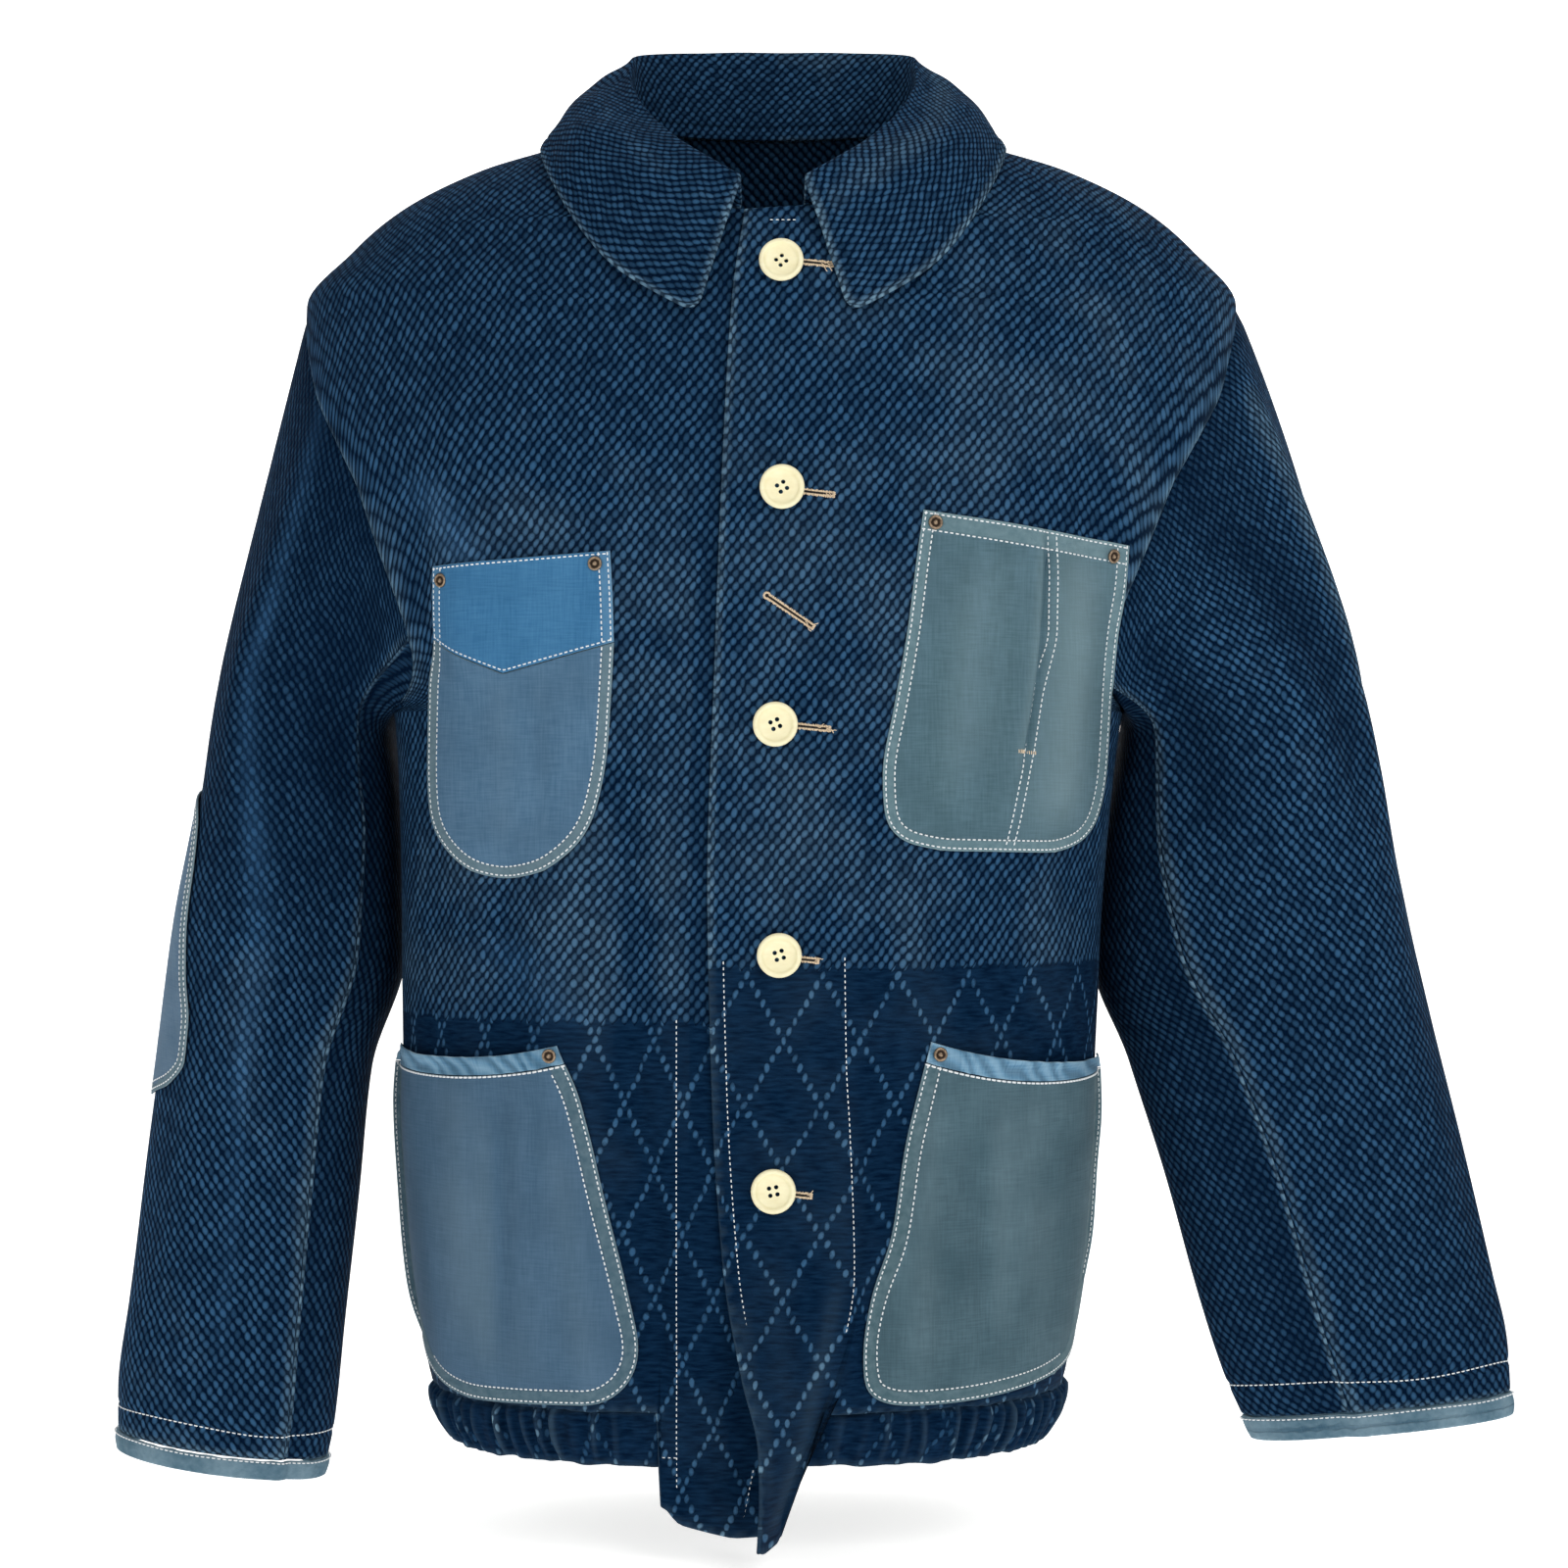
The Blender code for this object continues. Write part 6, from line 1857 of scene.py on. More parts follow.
@dataclass
class ElbowPatch:
    """The patch over the right elbow, laid on the top sleeve."""

    sleeve: Sleeve
    outline: Table = field(default_factory=lambda: ELBOW_PATCH)
    gap: float = 0.0005

    def places(self, v: Array, u: Array) -> Line:
        """Places along the sleeve and columns for shares down and across the patch."""
        along = np.interp(v, np.linspace(0, 1, 60), np.linspace(0.315, 0.635, 60))
        front, back = read(self.outline, "front", along), read(self.outline, "back", along)
        return along, self.sleeve.columns_of(along, front * (1 - u) + back * u)

    def build(self, material: Finish) -> None:
        """Makes and dresses the patch."""
        v, u = np.meshgrid(np.linspace(0, 1, 90), np.linspace(0, 1, 60), indexing="ij")
        along, column = self.places(v, u)
        points, normals = self.sleeve.path(along, column, self.gap + CHAMBRAY + 0.0006)
        far = travelled(points, 1)
        weave = np.stack([far - far[:, 30:31], -along * SLEEVE_LENGTH], axis=-1)
        made = grid_normals(points)
        made = made if np.sum(made * normals) > 0 else -made
        lay_cloth(
            "elbow_patch_right", Surface(points, made, weave, 0.0), CHAMBRAY, material, "laid",
            "top_sleeve_right", name="elbow_patch",
        )

    def inset(self, distance: float) -> Line:
        """A closed line on the patch, a distance inside its edge."""
        share = np.linspace(0, 1, 120)
        v = np.concatenate([share, np.ones(30), share[::-1], np.zeros(30)])
        u = np.concatenate([0 * share, np.linspace(0, 1, 30), 0 * share + 1, np.linspace(1, 0, 30)])
        along, column = self.places(v, u)
        round_it = 0.024
        flat = np.stack([column * round_it, along * SLEEVE_LENGTH], axis=1)
        flat = flat[np.insert(np.linalg.norm(np.diff(flat, axis=0), axis=1) > 1e-6, 0, True)]
        eased = blurred(np.pad(flat, ((5, 5), (0, 0)), "wrap"), np.hanning(11))
        way = unit(np.gradient(eased, axis=0))
        inward = np.stack([-way[:, 1], way[:, 0]], axis=1)
        inward *= np.sign(np.sum((eased.mean(axis=0) - eased) * inward))
        moved = eased + inward * distance
        along, column = moved[:, 1] / SLEEVE_LENGTH, moved[:, 0] / round_it
        return self.sleeve.path(along, column, self.gap + CHAMBRAY + 0.0006)


def turned(name: str, profile: Array, place: Array, normal: Array, fields: Array, sides: int = 40) -> Piece:
    """A round piece turned from a profile of radius and height and set on a surface.

    Args:
        name: The object's name.
        profile: Rows of radius and height, from the middle of the foot round to the middle of the top.
        place: Where its foot's middle is.
        normal: Its axis.
        fields: One number a row for the finish.
        sides: How many sides it has.

    Returns:
        The object.
    """
    side = unit(np.cross(normal, [0, 0, 1.0]))
    other = np.cross(side, normal)
    turn = np.linspace(0, 2 * math.pi, sides, endpoint=False)
    round_it = side * np.cos(turn)[:, None] + other * np.sin(turn)[:, None]
    rings = place + normal * profile[1:-1, None, 1:] + round_it[None] * profile[1:-1, None, :1]
    count = len(profile) - 2
    ends = [place + normal * profile[k, 1] for k in (0, -1)]
    points = np.concatenate([rings.reshape(-1, 3), ends])
    i, j = np.meshgrid(np.arange(count - 1), np.arange(sides), indexing="ij")
    i, j = i.ravel(), j.ravel()
    k = (j + 1) % sides
    quads = np.stack([i * sides + j, (i + 1) * sides + j, (i + 1) * sides + k, i * sides + k], 1)
    ring = np.arange(sides)
    follow = np.roll(ring, -1)
    foot = np.stack([follow, np.full(sides, count * sides), ring, ring], 1)
    last = (count - 1) * sides
    top = np.stack([last + ring, np.full(sides, count * sides + 1), last + follow, last + follow], 1)
    obj = make_mesh(name, points, np.concatenate([quads, foot, top]))
    values = np.concatenate([np.repeat(fields[1:-1], sides), [fields[0], fields[-1]]])
    set_fields(obj, {"wear": values})
    bpy.context.view_layer.objects.active = obj
    return obj


@dataclass
class Button:
    """A four-hole button with a thick rounded rim and a dished middle."""

    number: int
    x: float
    height: float
    turn: float = 0.0
    radius: float = 0.011
    hole: float = 0.0011
    spread: float = 0.0025

    def build(self, front: Front, material: Finish) -> Piece:
        """Makes the button, cuts its four holes right through and dresses it."""
        place, normal = front.place(np.array([self.x]), np.array([self.height]), 0.0007)
        place, normal = place[0], normal[0]
        r = self.radius
        profile = np.array([
            (0.0, 0.0), (0.006, 0.0), (0.0084, 0.0003), (0.0102, 0.001), (0.0108, 0.0016), (r, 0.0023),
            (0.0108, 0.003), (0.0103, 0.0035), (0.0096, 0.0037), (0.0089, 0.0035), (0.0084, 0.0029),
            (0.0081, 0.0023), (0.0076, 0.0019), (0.0062, 0.0016), (0.004, 0.0015), (0.0, 0.0015),
        ])
        obj = turned(f"button_{self.number}_disc", profile, place, normal, np.zeros(len(profile)), 56)
        side = unit(np.cross(normal, [0, 0, 1.0]))
        other = np.cross(side, normal)
        cutters = []
        for k in range(4):
            a = math.radians(90 * k) + self.turn
            at = place + (side * math.cos(a) + other * math.sin(a)) * self.spread
            tube = np.array([(0.0, -0.002), (self.hole, -0.002), (self.hole, 0.004), (0.0, 0.004)])
            cutters.append(turned(f"cutter_{k}", tube, at, normal, np.ones(4), 14))
        for cutter in cutters:
            cut = obj.modifiers.new("hole", "BOOLEAN")
            cut.object, cut.operation, cut.solver = cutter, "DIFFERENCE", "EXACT"
        bpy.context.view_layer.update()
        made = bpy.data.meshes.new_from_object(obj.evaluated_get(bpy.context.evaluated_depsgraph_get()))
        obj.modifiers.clear()
        obj.data = made
        for cutter in cutters:
            bpy.data.objects.remove(cutter)
        obj.data.shade_smooth()
        obj.data.set_sharp_from_angle(angle=math.radians(40))
        node = f"button_{self.number}"
        return dress(obj, material, node, node)


@dataclass
class Buttonhole:
    """A worked buttonhole: purl stitches on both sides of a slit, a bar at its end, loose threads, and a dark
    row of painted shadow in the slit.
    """

    x: float
    height: float
    length: float
    slope: float = 0.0
    eyelet: bool = False
    loose: int = 0

    def sew(self, front: Front, purl: Sewing, threads: Sewing, slit_shadows: Sewing) -> None:
        """Adds its stitches to the rows of purl and loose thread, and its painted slit shadow to the dark
        row.
        """
        way = np.array([math.cos(self.slope), math.sin(self.slope)])
        off = np.array([-way[1], way[0]])

        def place(along: Array, across: Array, out: float) -> Line:
            """Points on the front at places along and across the slit."""
            x = self.x + way[0] * along + off[0] * across
            z = self.height + way[1] * along + off[1] * across
            return front.place(x, z, out)

        rng = np.random.default_rng(int(abs(self.height) * 1e5))
        at = np.arange(0.0, self.length, 0.00058)
        for side in (-1, 1):
            near = np.full(len(at), 0.00045 * side)
            reach = side * (0.00165 + rng.uniform(-0.00025, 0.00025, len(at)))
            inner, normal = place(at, near, 0.0004)
            outer, _ = place(at + rng.uniform(-0.0002, 0.0002, len(at)), reach, 0.0002)
            purl.dash(inner, outer, normal)
        bar = np.linspace(-0.0014, 0.0014, 5)
        first, normal = place(np.full(5, self.length - 0.0002), bar, 0.0005)
        last, _ = place(np.full(5, self.length + 0.0014), bar * 0.8, 0.0003)
        purl.dash(first, last, normal)
        if self.eyelet:
            turn = np.radians(np.arange(35, 326, 22.0))
            inner, normal = place(-0.0016 - np.cos(turn) * -0.0009, np.sin(turn) * 0.0009, 0.0004)
            outer, _ = place(-0.0016 - np.cos(turn) * -0.0021, np.sin(turn) * 0.0021, 0.0002)
            purl.dash(inner, outer, normal)
        # Painted shadow: a dark row of dashes along the slit.
        slit = np.linspace(-0.0022 if self.eyelet else 0.0, self.length, 30)
        slit_shadows.line(*place(slit, 0 * slit, 0.0001), pitch=0.001)
        for _ in range(self.loose):
            share = np.linspace(0, 1, 14)
            reach, rise, curl = rng.uniform(0.002, 0.0055), rng.uniform(-0.004, 0.004), rng.uniform(-2.5, 2.5)
            start = self.length - rng.uniform(-0.001, 0.006)
            along = start + reach * share
            across = rise * share + 0.0006 * np.sin(share * 6 + curl)
            points, normal = place(along, across, 0.0007)
            threads.line(points + normal * (0.0008 * share[:, None]), normal, pitch=0.0007)


@dataclass
class Rivet:
    """A stamped rivet cap: a rolled rim round a hollow with a raised pip."""

    node: str
    x: float
    height: float
    radius: float = 0.0036

    def build(self, pocket: Pocket, material: Finish) -> Piece:
        """Makes the rivet on its pocket's face and dresses it."""
        flat = np.array([[self.x, self.height]])
        out = pocket.raised(flat, pocket.seam_distance(flat))
        place, normal = pocket.front.place(flat[:, 0], flat[:, 1], out + 0.0001)
        r = self.radius
        profile = np.array([
            (0.0, 0.0), (r * 0.9, 0.0), (r, 0.0004), (r * 0.97, 0.0009), (r * 0.86, 0.0012),
            (r * 0.7, 0.0011),
            (r * 0.55, 0.0006), (r * 0.42, 0.0005), (r * 0.34, 0.001), (r * 0.2, 0.0014), (0.0, 0.0015),
        ])
        low = np.array([0.8, 0.8, 0.5, 0.1, 0.0, 0.25, 0.9, 1.0, 0.5, 0.05, 0.0])
        obj = turned(f"{self.node}_cap", profile, place[0], normal[0], low, 28)
        return dress(obj, material, self.node, self.node)


@dataclass
class Studio:
    """The camera at the photograph's angle, soft lights, and white paper that sweeps up behind."""

    eye: tuple[float, float, float] = (0.0175, -1.9, -0.352)
    lens: float = 83.2
    floor: float = -0.736

    def sweep(self, material: Finish) -> None:
        """The floor and backdrop: one sheet along y that turns up in a quarter circle."""
        turn = np.linspace(0, math.pi / 2, 24)
        radius, back = 0.9, 2.4
        path = np.concatenate([
            [(-4.0, self.floor)],
            np.stack([back - radius + np.sin(turn) * radius, self.floor + radius - np.cos(turn) * radius], 1),
            [(back, 4.5)],
        ])
        across = np.array([-5.0, 5.0])
        points = np.stack([
            np.repeat(across[None], len(path), 0), np.repeat(path[:, :1], 2, 1), np.repeat(path[:, 1:], 2, 1)
        ], axis=-1).reshape(-1, 3)
        i = np.arange(len(path) - 1) * 2
        obj = make_mesh("paper_sweep", points, np.stack([i, i + 1, i + 3, i + 2], 1))
        obj.data.materials.append(material)

    def light(self, name: str, place: tuple[float, float, float], size: float, power: float) -> None:
        """A square soft light that faces the jacket."""
        data = bpy.data.lights.new(name, "AREA")
        data.shape, data.size, data.energy = "SQUARE", size, power
        obj = bpy.data.objects.new(name, data)
        obj.location = place
        obj.rotation_euler = (Vector((0.02, 0.0, -0.36)) - Vector(place)).to_track_quat("-Z", "Y").to_euler()
        bpy.context.scene.collection.objects.link(obj)

    def build(self, material: Finish) -> None:
        """Makes the whole studio."""
        self.sweep(material)
        self.light("soft_key", (1.4, -2.2, 1.1), 1.5, 30.0)
        self.light("soft_fill", (-1.6, -2.2, 0.8), 1.8, 15.0)
        self.light("soft_top", (0.1, -0.3, 1.9), 1.4, 10.0)
        world = bpy.data.worlds.new("even white")
        bpy.context.scene.world = world
        world.use_nodes = True
        world.node_tree.nodes["Background"].inputs[0].default_value = (1.0, 1.0, 1.0, 1.0)
        world.node_tree.nodes["Background"].inputs[1].default_value = 0.15
        data = bpy.data.cameras.new("camera")
        data.lens, data.sensor_width = self.lens, 36.0
        camera = bpy.data.objects.new("camera", data)
        camera.location = self.eye
        camera.rotation_euler = (math.pi / 2, 0.0, 0.0)
        bpy.context.scene.collection.objects.link(camera)
        bpy.context.scene.camera = camera
        bpy.context.scene.view_settings.view_transform = "Standard"


RIGHT_STREAKS = (
    Crease((-0.164, -0.2), (-0.128, -0.262), 0.011, 0.75),
    Crease((-0.12, -0.43), (-0.09, -0.47), 0.015, 0.35),
)
RIGHT_FRONT_FOLDS = (
    Crease((-0.064, -0.33), (-0.05, -0.47), 0.009, -0.0034),
    Crease((-0.042, -0.36), (-0.038, -0.46), 0.007, 0.0026),
    Crease((-0.07, -0.42), (-0.078, -0.52), 0.008, 0.003),
    Crease((-0.175, -0.19), (-0.16, -0.29), 0.01, -0.0036),
    Crease((-0.125, -0.39), (-0.115, -0.47), 0.012, -0.003),
    Crease((-0.048, -0.54), (-0.042, -0.655), 0.006, -0.0026),
    Crease((-0.12, -0.095), (-0.105, -0.19), 0.014, 0.0022),
)
LEFT_FRONT_FOLDS = (
    Crease((0.06, -0.36), (0.066, -0.47), 0.008, -0.003),
    Crease((0.078, -0.4), (0.09, -0.48), 0.01, 0.0028),
    Crease((0.175, -0.18), (0.17, -0.27), 0.011, -0.0036),
    Crease((0.125, -0.39), (0.135, -0.47), 0.012, -0.0028),
    Crease((0.048, -0.5), (0.044, -0.64), 0.007, 0.0022),
    Crease((0.014, -0.6), (0.022, -0.7), 0.006, 0.0026),
    Crease((0.115, -0.1), (0.105, -0.2), 0.016, 0.0024),
)
# Painted shadow: the first three are dark lines on the right front beside the overlapping left front's edge.
# The last, wide one is pale wear.
RIGHT_WEAR_AND_SHADOW = (
    Crease((-0.0105, -0.085), (-0.0195, -0.3), 0.0034, -0.75),
    Crease((-0.0195, -0.26), (-0.0225, -0.52), 0.0036, -0.75),
    Crease((-0.015, -0.56), (-0.002, -0.69), 0.004, -0.5),
    Crease((-0.11, -0.33), (-0.11, -0.46), 0.06, 0.1),
)
LEFT_WORN = (
    Crease((0.043, -0.6), (0.0265, -0.675), 0.004, 0.4),
    Crease((0.0265, -0.675), (0.0125, -0.715), 0.004, 0.4),
    Crease((0.008, -0.65), (0.0105, -0.7), 0.003, 0.3),
    Crease((-0.006, -0.61), (0.004, -0.66), 0.0035, 0.4),
    Crease((0.018, -0.33), (0.025, -0.42), 0.02, 0.08),
    Crease((0.172, -0.105), (0.19, -0.15), 0.012, 0.22),
)
RIGHT_SLEEVE_STREAKS = (
    Crease((1.5, 0.02), (2.9, -0.17), 0.2, 0.5, bow=0.1),
    Crease((2.8, -0.13), (3.6, -0.38), 0.24, 0.6),
    Crease((3.6, -0.33), (4.0, -0.62), 0.24, 0.45, bow=0.1),
    Crease((4.0, -0.55), (4.1, -0.86), 0.18, 0.3, bow=0.1),
)
RIGHT_SLEEVE_FOLDS = (
    Crease((1.9, -0.02), (3.1, -0.34), 0.55, 0.003),
    Crease((4.6, -0.06), (5.4, -0.3), 0.8, -0.005),
    Crease((3.4, -0.3), (4.2, -0.62), 0.7, 0.0026),
    Crease((5.2, -0.34), (5.0, -0.6), 0.6, -0.0024),
    Crease((2.2, -0.46), (1.6, -0.82), 0.9, -0.0026),
    Crease((4.6, -0.66), (4.2, -0.96), 0.8, -0.0022),
    Crease((-3.2, -0.1), (-2.2, -0.42), 0.9, -0.0042),
    Crease((-1.8, -0.3), (-2.6, -0.7), 0.8, 0.0034),
    Crease((9.4, -0.16), (10.0, -0.46), 0.8, 0.0036),
)
LEFT_SLEEVE_FOLDS = (
    Crease((0.9, 0.0), (1.5, -0.36), 0.5, 0.004),
    Crease((2.7, -0.04), (2.6, -0.34), 0.75, -0.0046),
    Crease((4.6, -0.1), (4.4, -0.36), 0.8, 0.0034),
    Crease((5.8, -0.06), (6.0, -0.32), 0.6, -0.004),
    Crease((1.6, -0.44), (2.4, -0.86), 0.8, -0.0024),
    Crease((3.6, -0.42), (4.2, -0.78), 0.9, 0.0028),
    Crease((-2.8, -0.12), (-2.0, -0.44), 0.9, -0.0042),
    Crease((-1.4, -0.34), (-2.4, -0.74), 0.8, 0.0032),
    Crease((9.2, -0.2), (9.9, -0.5), 0.8, 0.0034),
)


@dataclass
class Jacket:
    """The whole jacket: its cut pieces in the order that they lie, then its sewing and trims."""

    finishes: dict[str, Finish]
    body: BodyForm = field(default_factory=BodyForm)

    def build_body(self) -> None:
        """Makes both fronts, the back, the hem casing and the collar."""
        finishes = self.finishes
        self.left = Front(self.body, 1, EDGE_LEFT, "left", LEFT_FRONT_FOLDS, LEFT_WORN)
        self.right = Front(self.body, -1, EDGE_RIGHT, "right", RIGHT_FRONT_FOLDS, RIGHT_WEAR_AND_SHADOW, RIGHT_STREAKS)
        self.left.build(finishes["front_left"])
        self.right.build(finishes["front_right"])
        Back(self.body).build(finishes["back"])
        HemCasing(self.body).build(finishes["casing"])
        Collar(self.body).build(finishes["collar"])

    def build_sleeves(self) -> None:
        """Makes both sleeves, their bindings and the elbow patch."""
        finishes = self.finishes
        # The sleeves' pale streaks below are mostly painted shade: darker bands in the troughs, by the
        # armpits, over the right sleeve's upper front and down the left sleeve's lower part. The left
        # sleeve's one pale band follows the ridge below its shoulder.
        self.sleeve_right = Sleeve(
            self.body, -1, "right", SLEEVE_RIGHT, SEAM_RIGHT, 6, 0.001, RIGHT_SLEEVE_FOLDS, (
                Crease((2.0, 0.1), (4.0, -0.42), 3.0, -0.55), Crease((5.0, -0.06), (5.4, -0.3), 0.9, -0.4),
            ), RIGHT_SLEEVE_STREAKS,
        )
        self.sleeve_left = Sleeve(
            self.body, 1, "left", SLEEVE_LEFT, SEAM_LEFT, 7, 0.006, LEFT_SLEEVE_FOLDS,
            (
                Crease((0.9, 0.0), (1.4, -0.24), 0.35, 0.34), Crease((2.8, 0.0), (2.7, -0.3), 0.8, -0.3),
                Crease((5.6, -0.05), (5.4, -0.34), 0.9, -0.35), Crease((2.0, -0.5), (3.0, -1.1), 4.0, -0.22),
            ), worn=-0.06,
        )
        self.sleeve_right.build(finishes["plain"], finishes["binding"])
        self.sleeve_left.build(finishes["plain"], finishes["binding"])
        self.patch = ElbowPatch(self.sleeve_right)
        self.patch.build(finishes["patch"])
        white = Sewing("cuff_stitches", radius=0.00036)
        for sleeve in (self.sleeve_right, self.sleeve_left):
            columns = np.linspace(-5, 11, 1200)
            wavy = CUFF_HEM + 0.0022 * np.sin(columns * 1.3 + 1.0)
            white.line(*sleeve.path(wavy, columns, 0.0001))
            binding = sleeve.end + 0.0014 / SLEEVE_LENGTH + 0.0004 * np.sin(columns * 2.1)
            white.line(*sleeve.path(binding, columns, 0.0016))
        dress(white.build(), finishes["white"], "cuff_binding_right")

    def build_pockets(self) -> None:
        """Makes the patch pockets and their rivets."""
        finishes, left, right = self.finishes, self.left, self.right
        sides = (Edge.FIRST, Edge.LAST)
        self.chest_right_top = Pocket(
            "chest_pocket_right_top", right, CHEST_RIGHT_TOP, stitched=sides, bend=1.0, peak=0.42, corner=0.0
        )
        self.chest_right = Pocket(
            "chest_pocket_right", right, CHEST_RIGHT, bend=1.0, peak=0.42, creases=(
                Crease((-0.12, -0.3), (-0.118, -0.38), 0.006, 0.0006),
                Crease((-0.102, -0.29), (-0.1, -0.37), 0.005, -0.0006),
            ),
        )
        self.chest_left = Pocket(
            "chest_pocket_left", left, CHEST_LEFT, top_hem=CHEST_MOUTH, corner=0.02,
            creases=(
                Crease((0.1445, -0.228), (0.1345, -0.338), 0.0026, -0.0024, Profile.TUCK, 0.003),
                Crease((0.108, -0.26), (0.098, -0.36), 0.009, 0.001),
                Crease((0.168, -0.25), (0.156, -0.365), 0.008, 0.0012),
            ),
            pale=(
                Crease((0.164, -0.235), (0.15, -0.375), 0.016, 0.3),
                Crease((0.118, -0.24), (0.108, -0.34), 0.014, 0.1),
            ),
        )
        band = dict(stitched=sides, corner=0.0, mouth=0.0022, sagging=0.004, pucker=0.0006, spacing=0.001)
        self.band_right = Pocket("hip_pocket_right_band", right, HIP_RIGHT_BAND, **band)
        self.band_left = Pocket("hip_pocket_left_band", left, HIP_LEFT_BAND, **band)
        self.hip_right = Pocket(
            "hip_pocket_right", right, HIP_RIGHT, hem=0.0076, corner=0.028, creases=(
                Crease((-0.118, -0.505), (-0.1215, -0.64), 0.006, -0.0011),
                Crease((-0.145, -0.5), (-0.139, -0.625), 0.009, 0.0013),
                Crease((-0.093, -0.53), (-0.079, -0.645), 0.008, 0.001),
                Crease((-0.17, -0.54), (-0.162, -0.64), 0.007, -0.001),
            ), pale=(
                Crease((-0.13, -0.52), (-0.128, -0.64), 0.006, 0.1),
                Crease((-0.15, -0.55), (-0.12, -0.645), 0.02, 0.08),
            ),
        )
        self.hip_left = Pocket(
            "hip_pocket_left", left, HIP_LEFT, hem=0.0076, corner=0.028, creases=(
                Crease((0.09, -0.505), (0.083, -0.645), 0.007, 0.0012),
                Crease((0.103, -0.53), (0.122, -0.64), 0.009, -0.0014),
                Crease((0.14, -0.505), (0.137, -0.6), 0.007, 0.0012),
                Crease((0.164, -0.53), (0.15, -0.64), 0.008, -0.001),
            ), pale=(
                Crease((0.126, -0.51), (0.122, -0.64), 0.008, 0.14),
                Crease((0.15, -0.56), (0.15, -0.64), 0.012, 0.1),
            ),
        )
        for pocket, finish in (
            (self.chest_right_top, finishes["bright"]), (self.chest_right, finishes["grey"]),
            (self.chest_left, finishes["chest"]), (self.band_right, finishes["edging"]),
            (self.band_left, finishes["edging"]), (self.hip_right, finishes["hip"]),
            (self.hip_left, finishes["green"]),
        ):
            pocket.build(finish)
        for node, x, height, held in (
            ("rivet_chest_right_outer", -0.1505, -0.2508, self.chest_right_top),
            ("rivet_chest_right_inner", -0.0748, -0.244, self.chest_right_top),
            ("rivet_chest_left_inner", 0.0915, -0.2238, self.chest_left),
            ("rivet_chest_left_outer", 0.182, -0.2382, self.chest_left),
            ("rivet_hip_right", -0.0955, -0.4855, self.band_right),
            ("rivet_hip_left", 0.0935, -0.485, self.band_left),
        ):
            Rivet(node, x, height).build(held, finishes["rivet"])

    def build_buttons(self) -> None:
        """Makes the buttons, and the buttonholes that show beside them."""
        purl = Sewing("purl_stitches", radius=0.0003)
        threads = Sewing("loose_threads", share=1.3, radius=0.00022)
        # The slits' dark row is painted shadow.
        slit_shadows = Sewing("buttonhole_slit_shadows", share=1.5, radius=0.0005)
        for number, (x, height) in enumerate(zip(BUTTONS["x"], BUTTONS["height"]), 1):
            Button(number, float(x), float(height), 0.12 * number).build(self.left, self.finishes["nut"])
        for hole in (
            Buttonhole(0.0262, -0.0955, 0.015, -0.1, loose=6),
            Buttonhole(0.0262, -0.209, 0.015, -0.12, loose=3),
            Buttonhole(0.0105, -0.261, 0.025, -0.6, eyelet=True, loose=2),
            Buttonhole(0.0235, -0.3235, 0.0155, -0.1, loose=4),
            Buttonhole(0.0255, -0.4375, 0.008, -0.1, loose=1),
            Buttonhole(0.0225, -0.5525, 0.0075, -0.1, loose=1),
        ):
            hole.sew(self.left, purl, threads, slit_shadows)
        at = np.linspace(0.132, 0.1408, 11)
        (first, normal), (last, _) = (
            self.chest_left.on_face(np.stack([at, -0.3361 - 0.1 * (at - 0.1364) + way], 1))
            for way in (0.0011, -0.0011)
        )
        purl.dash(first, last, normal)
        dress(purl.build(), self.finishes["tan"], "front_left")
        dress(threads.build(), self.finishes["tan"], "front_left")
        dress(slit_shadows.build(), self.finishes["dark"], "front_left")

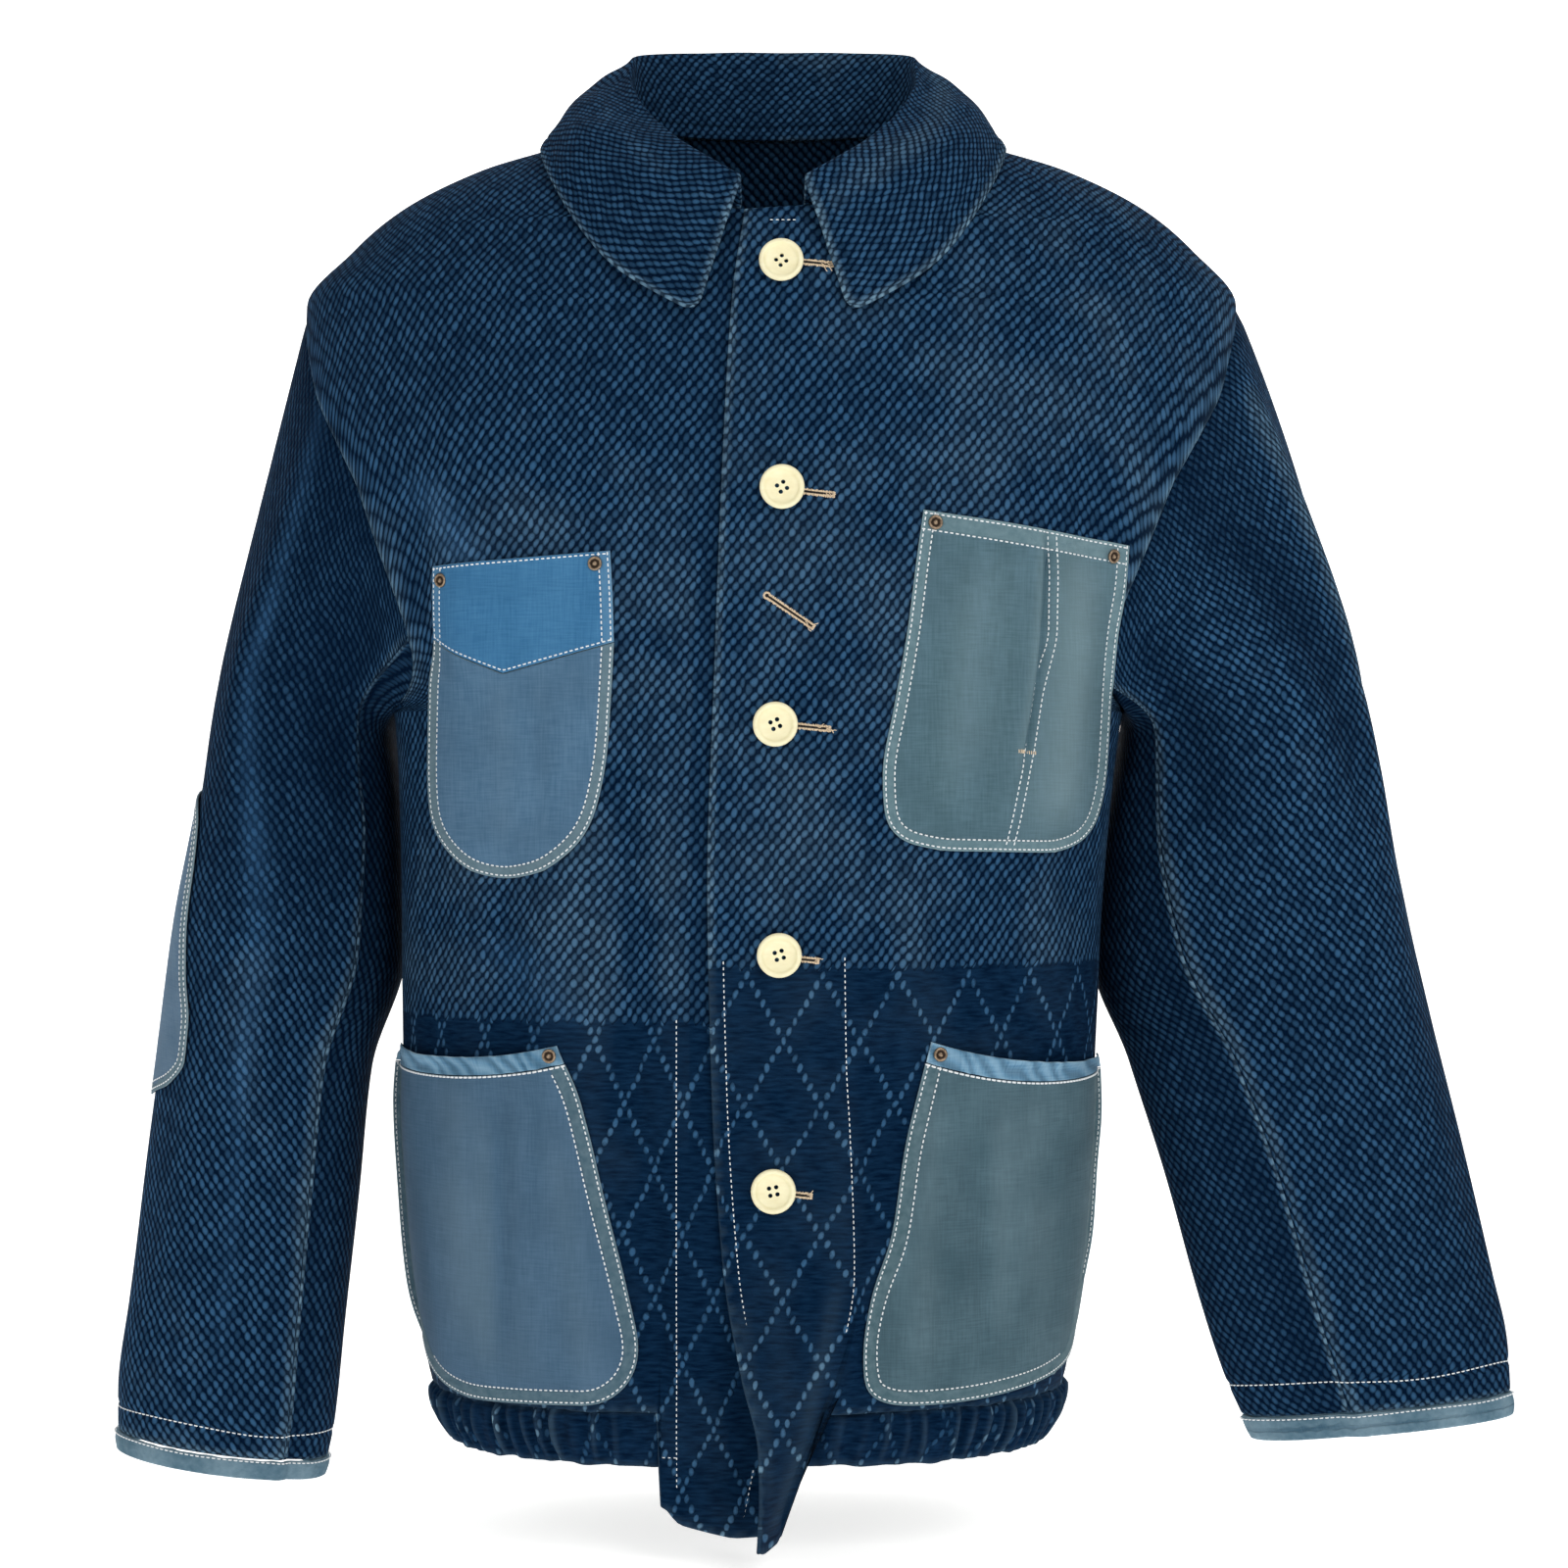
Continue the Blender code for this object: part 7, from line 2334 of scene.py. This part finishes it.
    def sew_pockets(self) -> None:
        """Sews the rows of white stitches round the pockets."""
        white, top, chest = Sewing("pocket_stitches"), self.chest_right_top, self.chest_left
        rows = [(pocket, inside, Edge.SEAM) for pocket in (self.chest_right, chest) for inside in CHEST_ROWS]
        rows += [(top, inside, edge) for edge in (Edge.FIRST, Edge.LAST) for inside in CHEST_ROWS]
        rows += [(top, CHEST_ROWS[0], Edge.TOP), (top, CHEST_ROWS[0], Edge.FOOT)]
        rows += [(chest, CHEST_ROWS[0], Edge.TOP), (chest, CHEST_MOUTH, Edge.TOP)]
        for pocket, inside, edge in rows:
            white.line(*pocket.inset(inside, edge))
        slot = eased_line(evened(np.array([
            (0.1448, -0.229), (0.146, -0.2454), (0.1453, -0.2791), (0.139, -0.3034), (0.1341, -0.335),
            (0.1242, -0.384),
        ]), 300), 0.02)
        white.line(*self.chest_left.on_face(slot + [0.0022, 0.0]))
        white.line(*self.chest_left.on_face(slot + [0.0062, 0.0]))
        for pocket, share in ((self.hip_right, (0.36, 1.0)), (self.hip_left, (0.0, 0.64))):
            white.line(*pocket.inset(0.0015))
            white.line(*pocket.inset(0.0076, Edge.SEAM, share))
        white.line(*self.patch.inset(0.0016))
        white.line(*self.patch.inset(0.006))
        dress(white.build(), self.finishes["white"], "chest_pocket_left")
        cord = Sewing("band_cord", pitch=0.003, share=0.98, radius=0.00052)
        for pocket in (self.hip_right, self.hip_left):
            cord.line(*pocket.inset(0.0006, Edge.TOP))
        dress(cord.build(), self.finishes["white"], "hip_pocket_left_band")

    def sew_fronts(self) -> None:
        """Sews the stitches that show on the fronts."""
        white = Sewing("front_stitches", share=0.62, radius=0.0003)
        left, right = self.left, self.right
        white.line(*left.beside(EDGE_LEFT, "edge", 0.0075, -0.676, -0.438))
        white.line(*left.beside(EDGE_LEFT, "facing", -0.002, -0.62, -0.436))
        white.line(*left.place(np.linspace(0.01, 0.0235, 40), np.full(40, -0.0745), 0.0))
        z = np.linspace(-0.467, -0.699, 300)
        white.line(*right.place(np.full(300, -0.0352), z, 0.0))
        white.line(*right.place(np.linspace(-0.043, -0.0352, 30), np.full(30, -0.683), 0.0))
        flap = evened(np.array([(-0.019, -0.7135), (-0.003, -0.716), (0.003, -0.686)]), 120)
        white.line(*right.place(flap[:, 0], flap[:, 1], 0.0))
        dress(white.build(), self.finishes["white"], "front_right")
        tack = Sewing("collar_tack", share=1.2, radius=0.00035)
        z = np.linspace(-0.06, -0.07, 30)
        tack.line(*left.place(0.0345 + 0.0006 * np.sin(z * 1500), z, 0.001), pitch=0.0008)
        dress(tack.build(), self.finishes["tan"], "front_left")


def main() -> None:
    """Builds the jacket from its cut pieces, then the sewing, the trims and the studio."""
    logging.basicConfig(level=logging.INFO, format="%(message)s")
    jacket = Jacket({key: cloth.material() for key, cloth in CLOTHS.items()})
    jacket.build_body()
    jacket.build_sleeves()
    jacket.build_pockets()
    jacket.build_buttons()
    jacket.sew_pockets()
    jacket.sew_fronts()
    Studio().build(jacket.finishes["paper"])


if __name__ == "__main__":
    main()
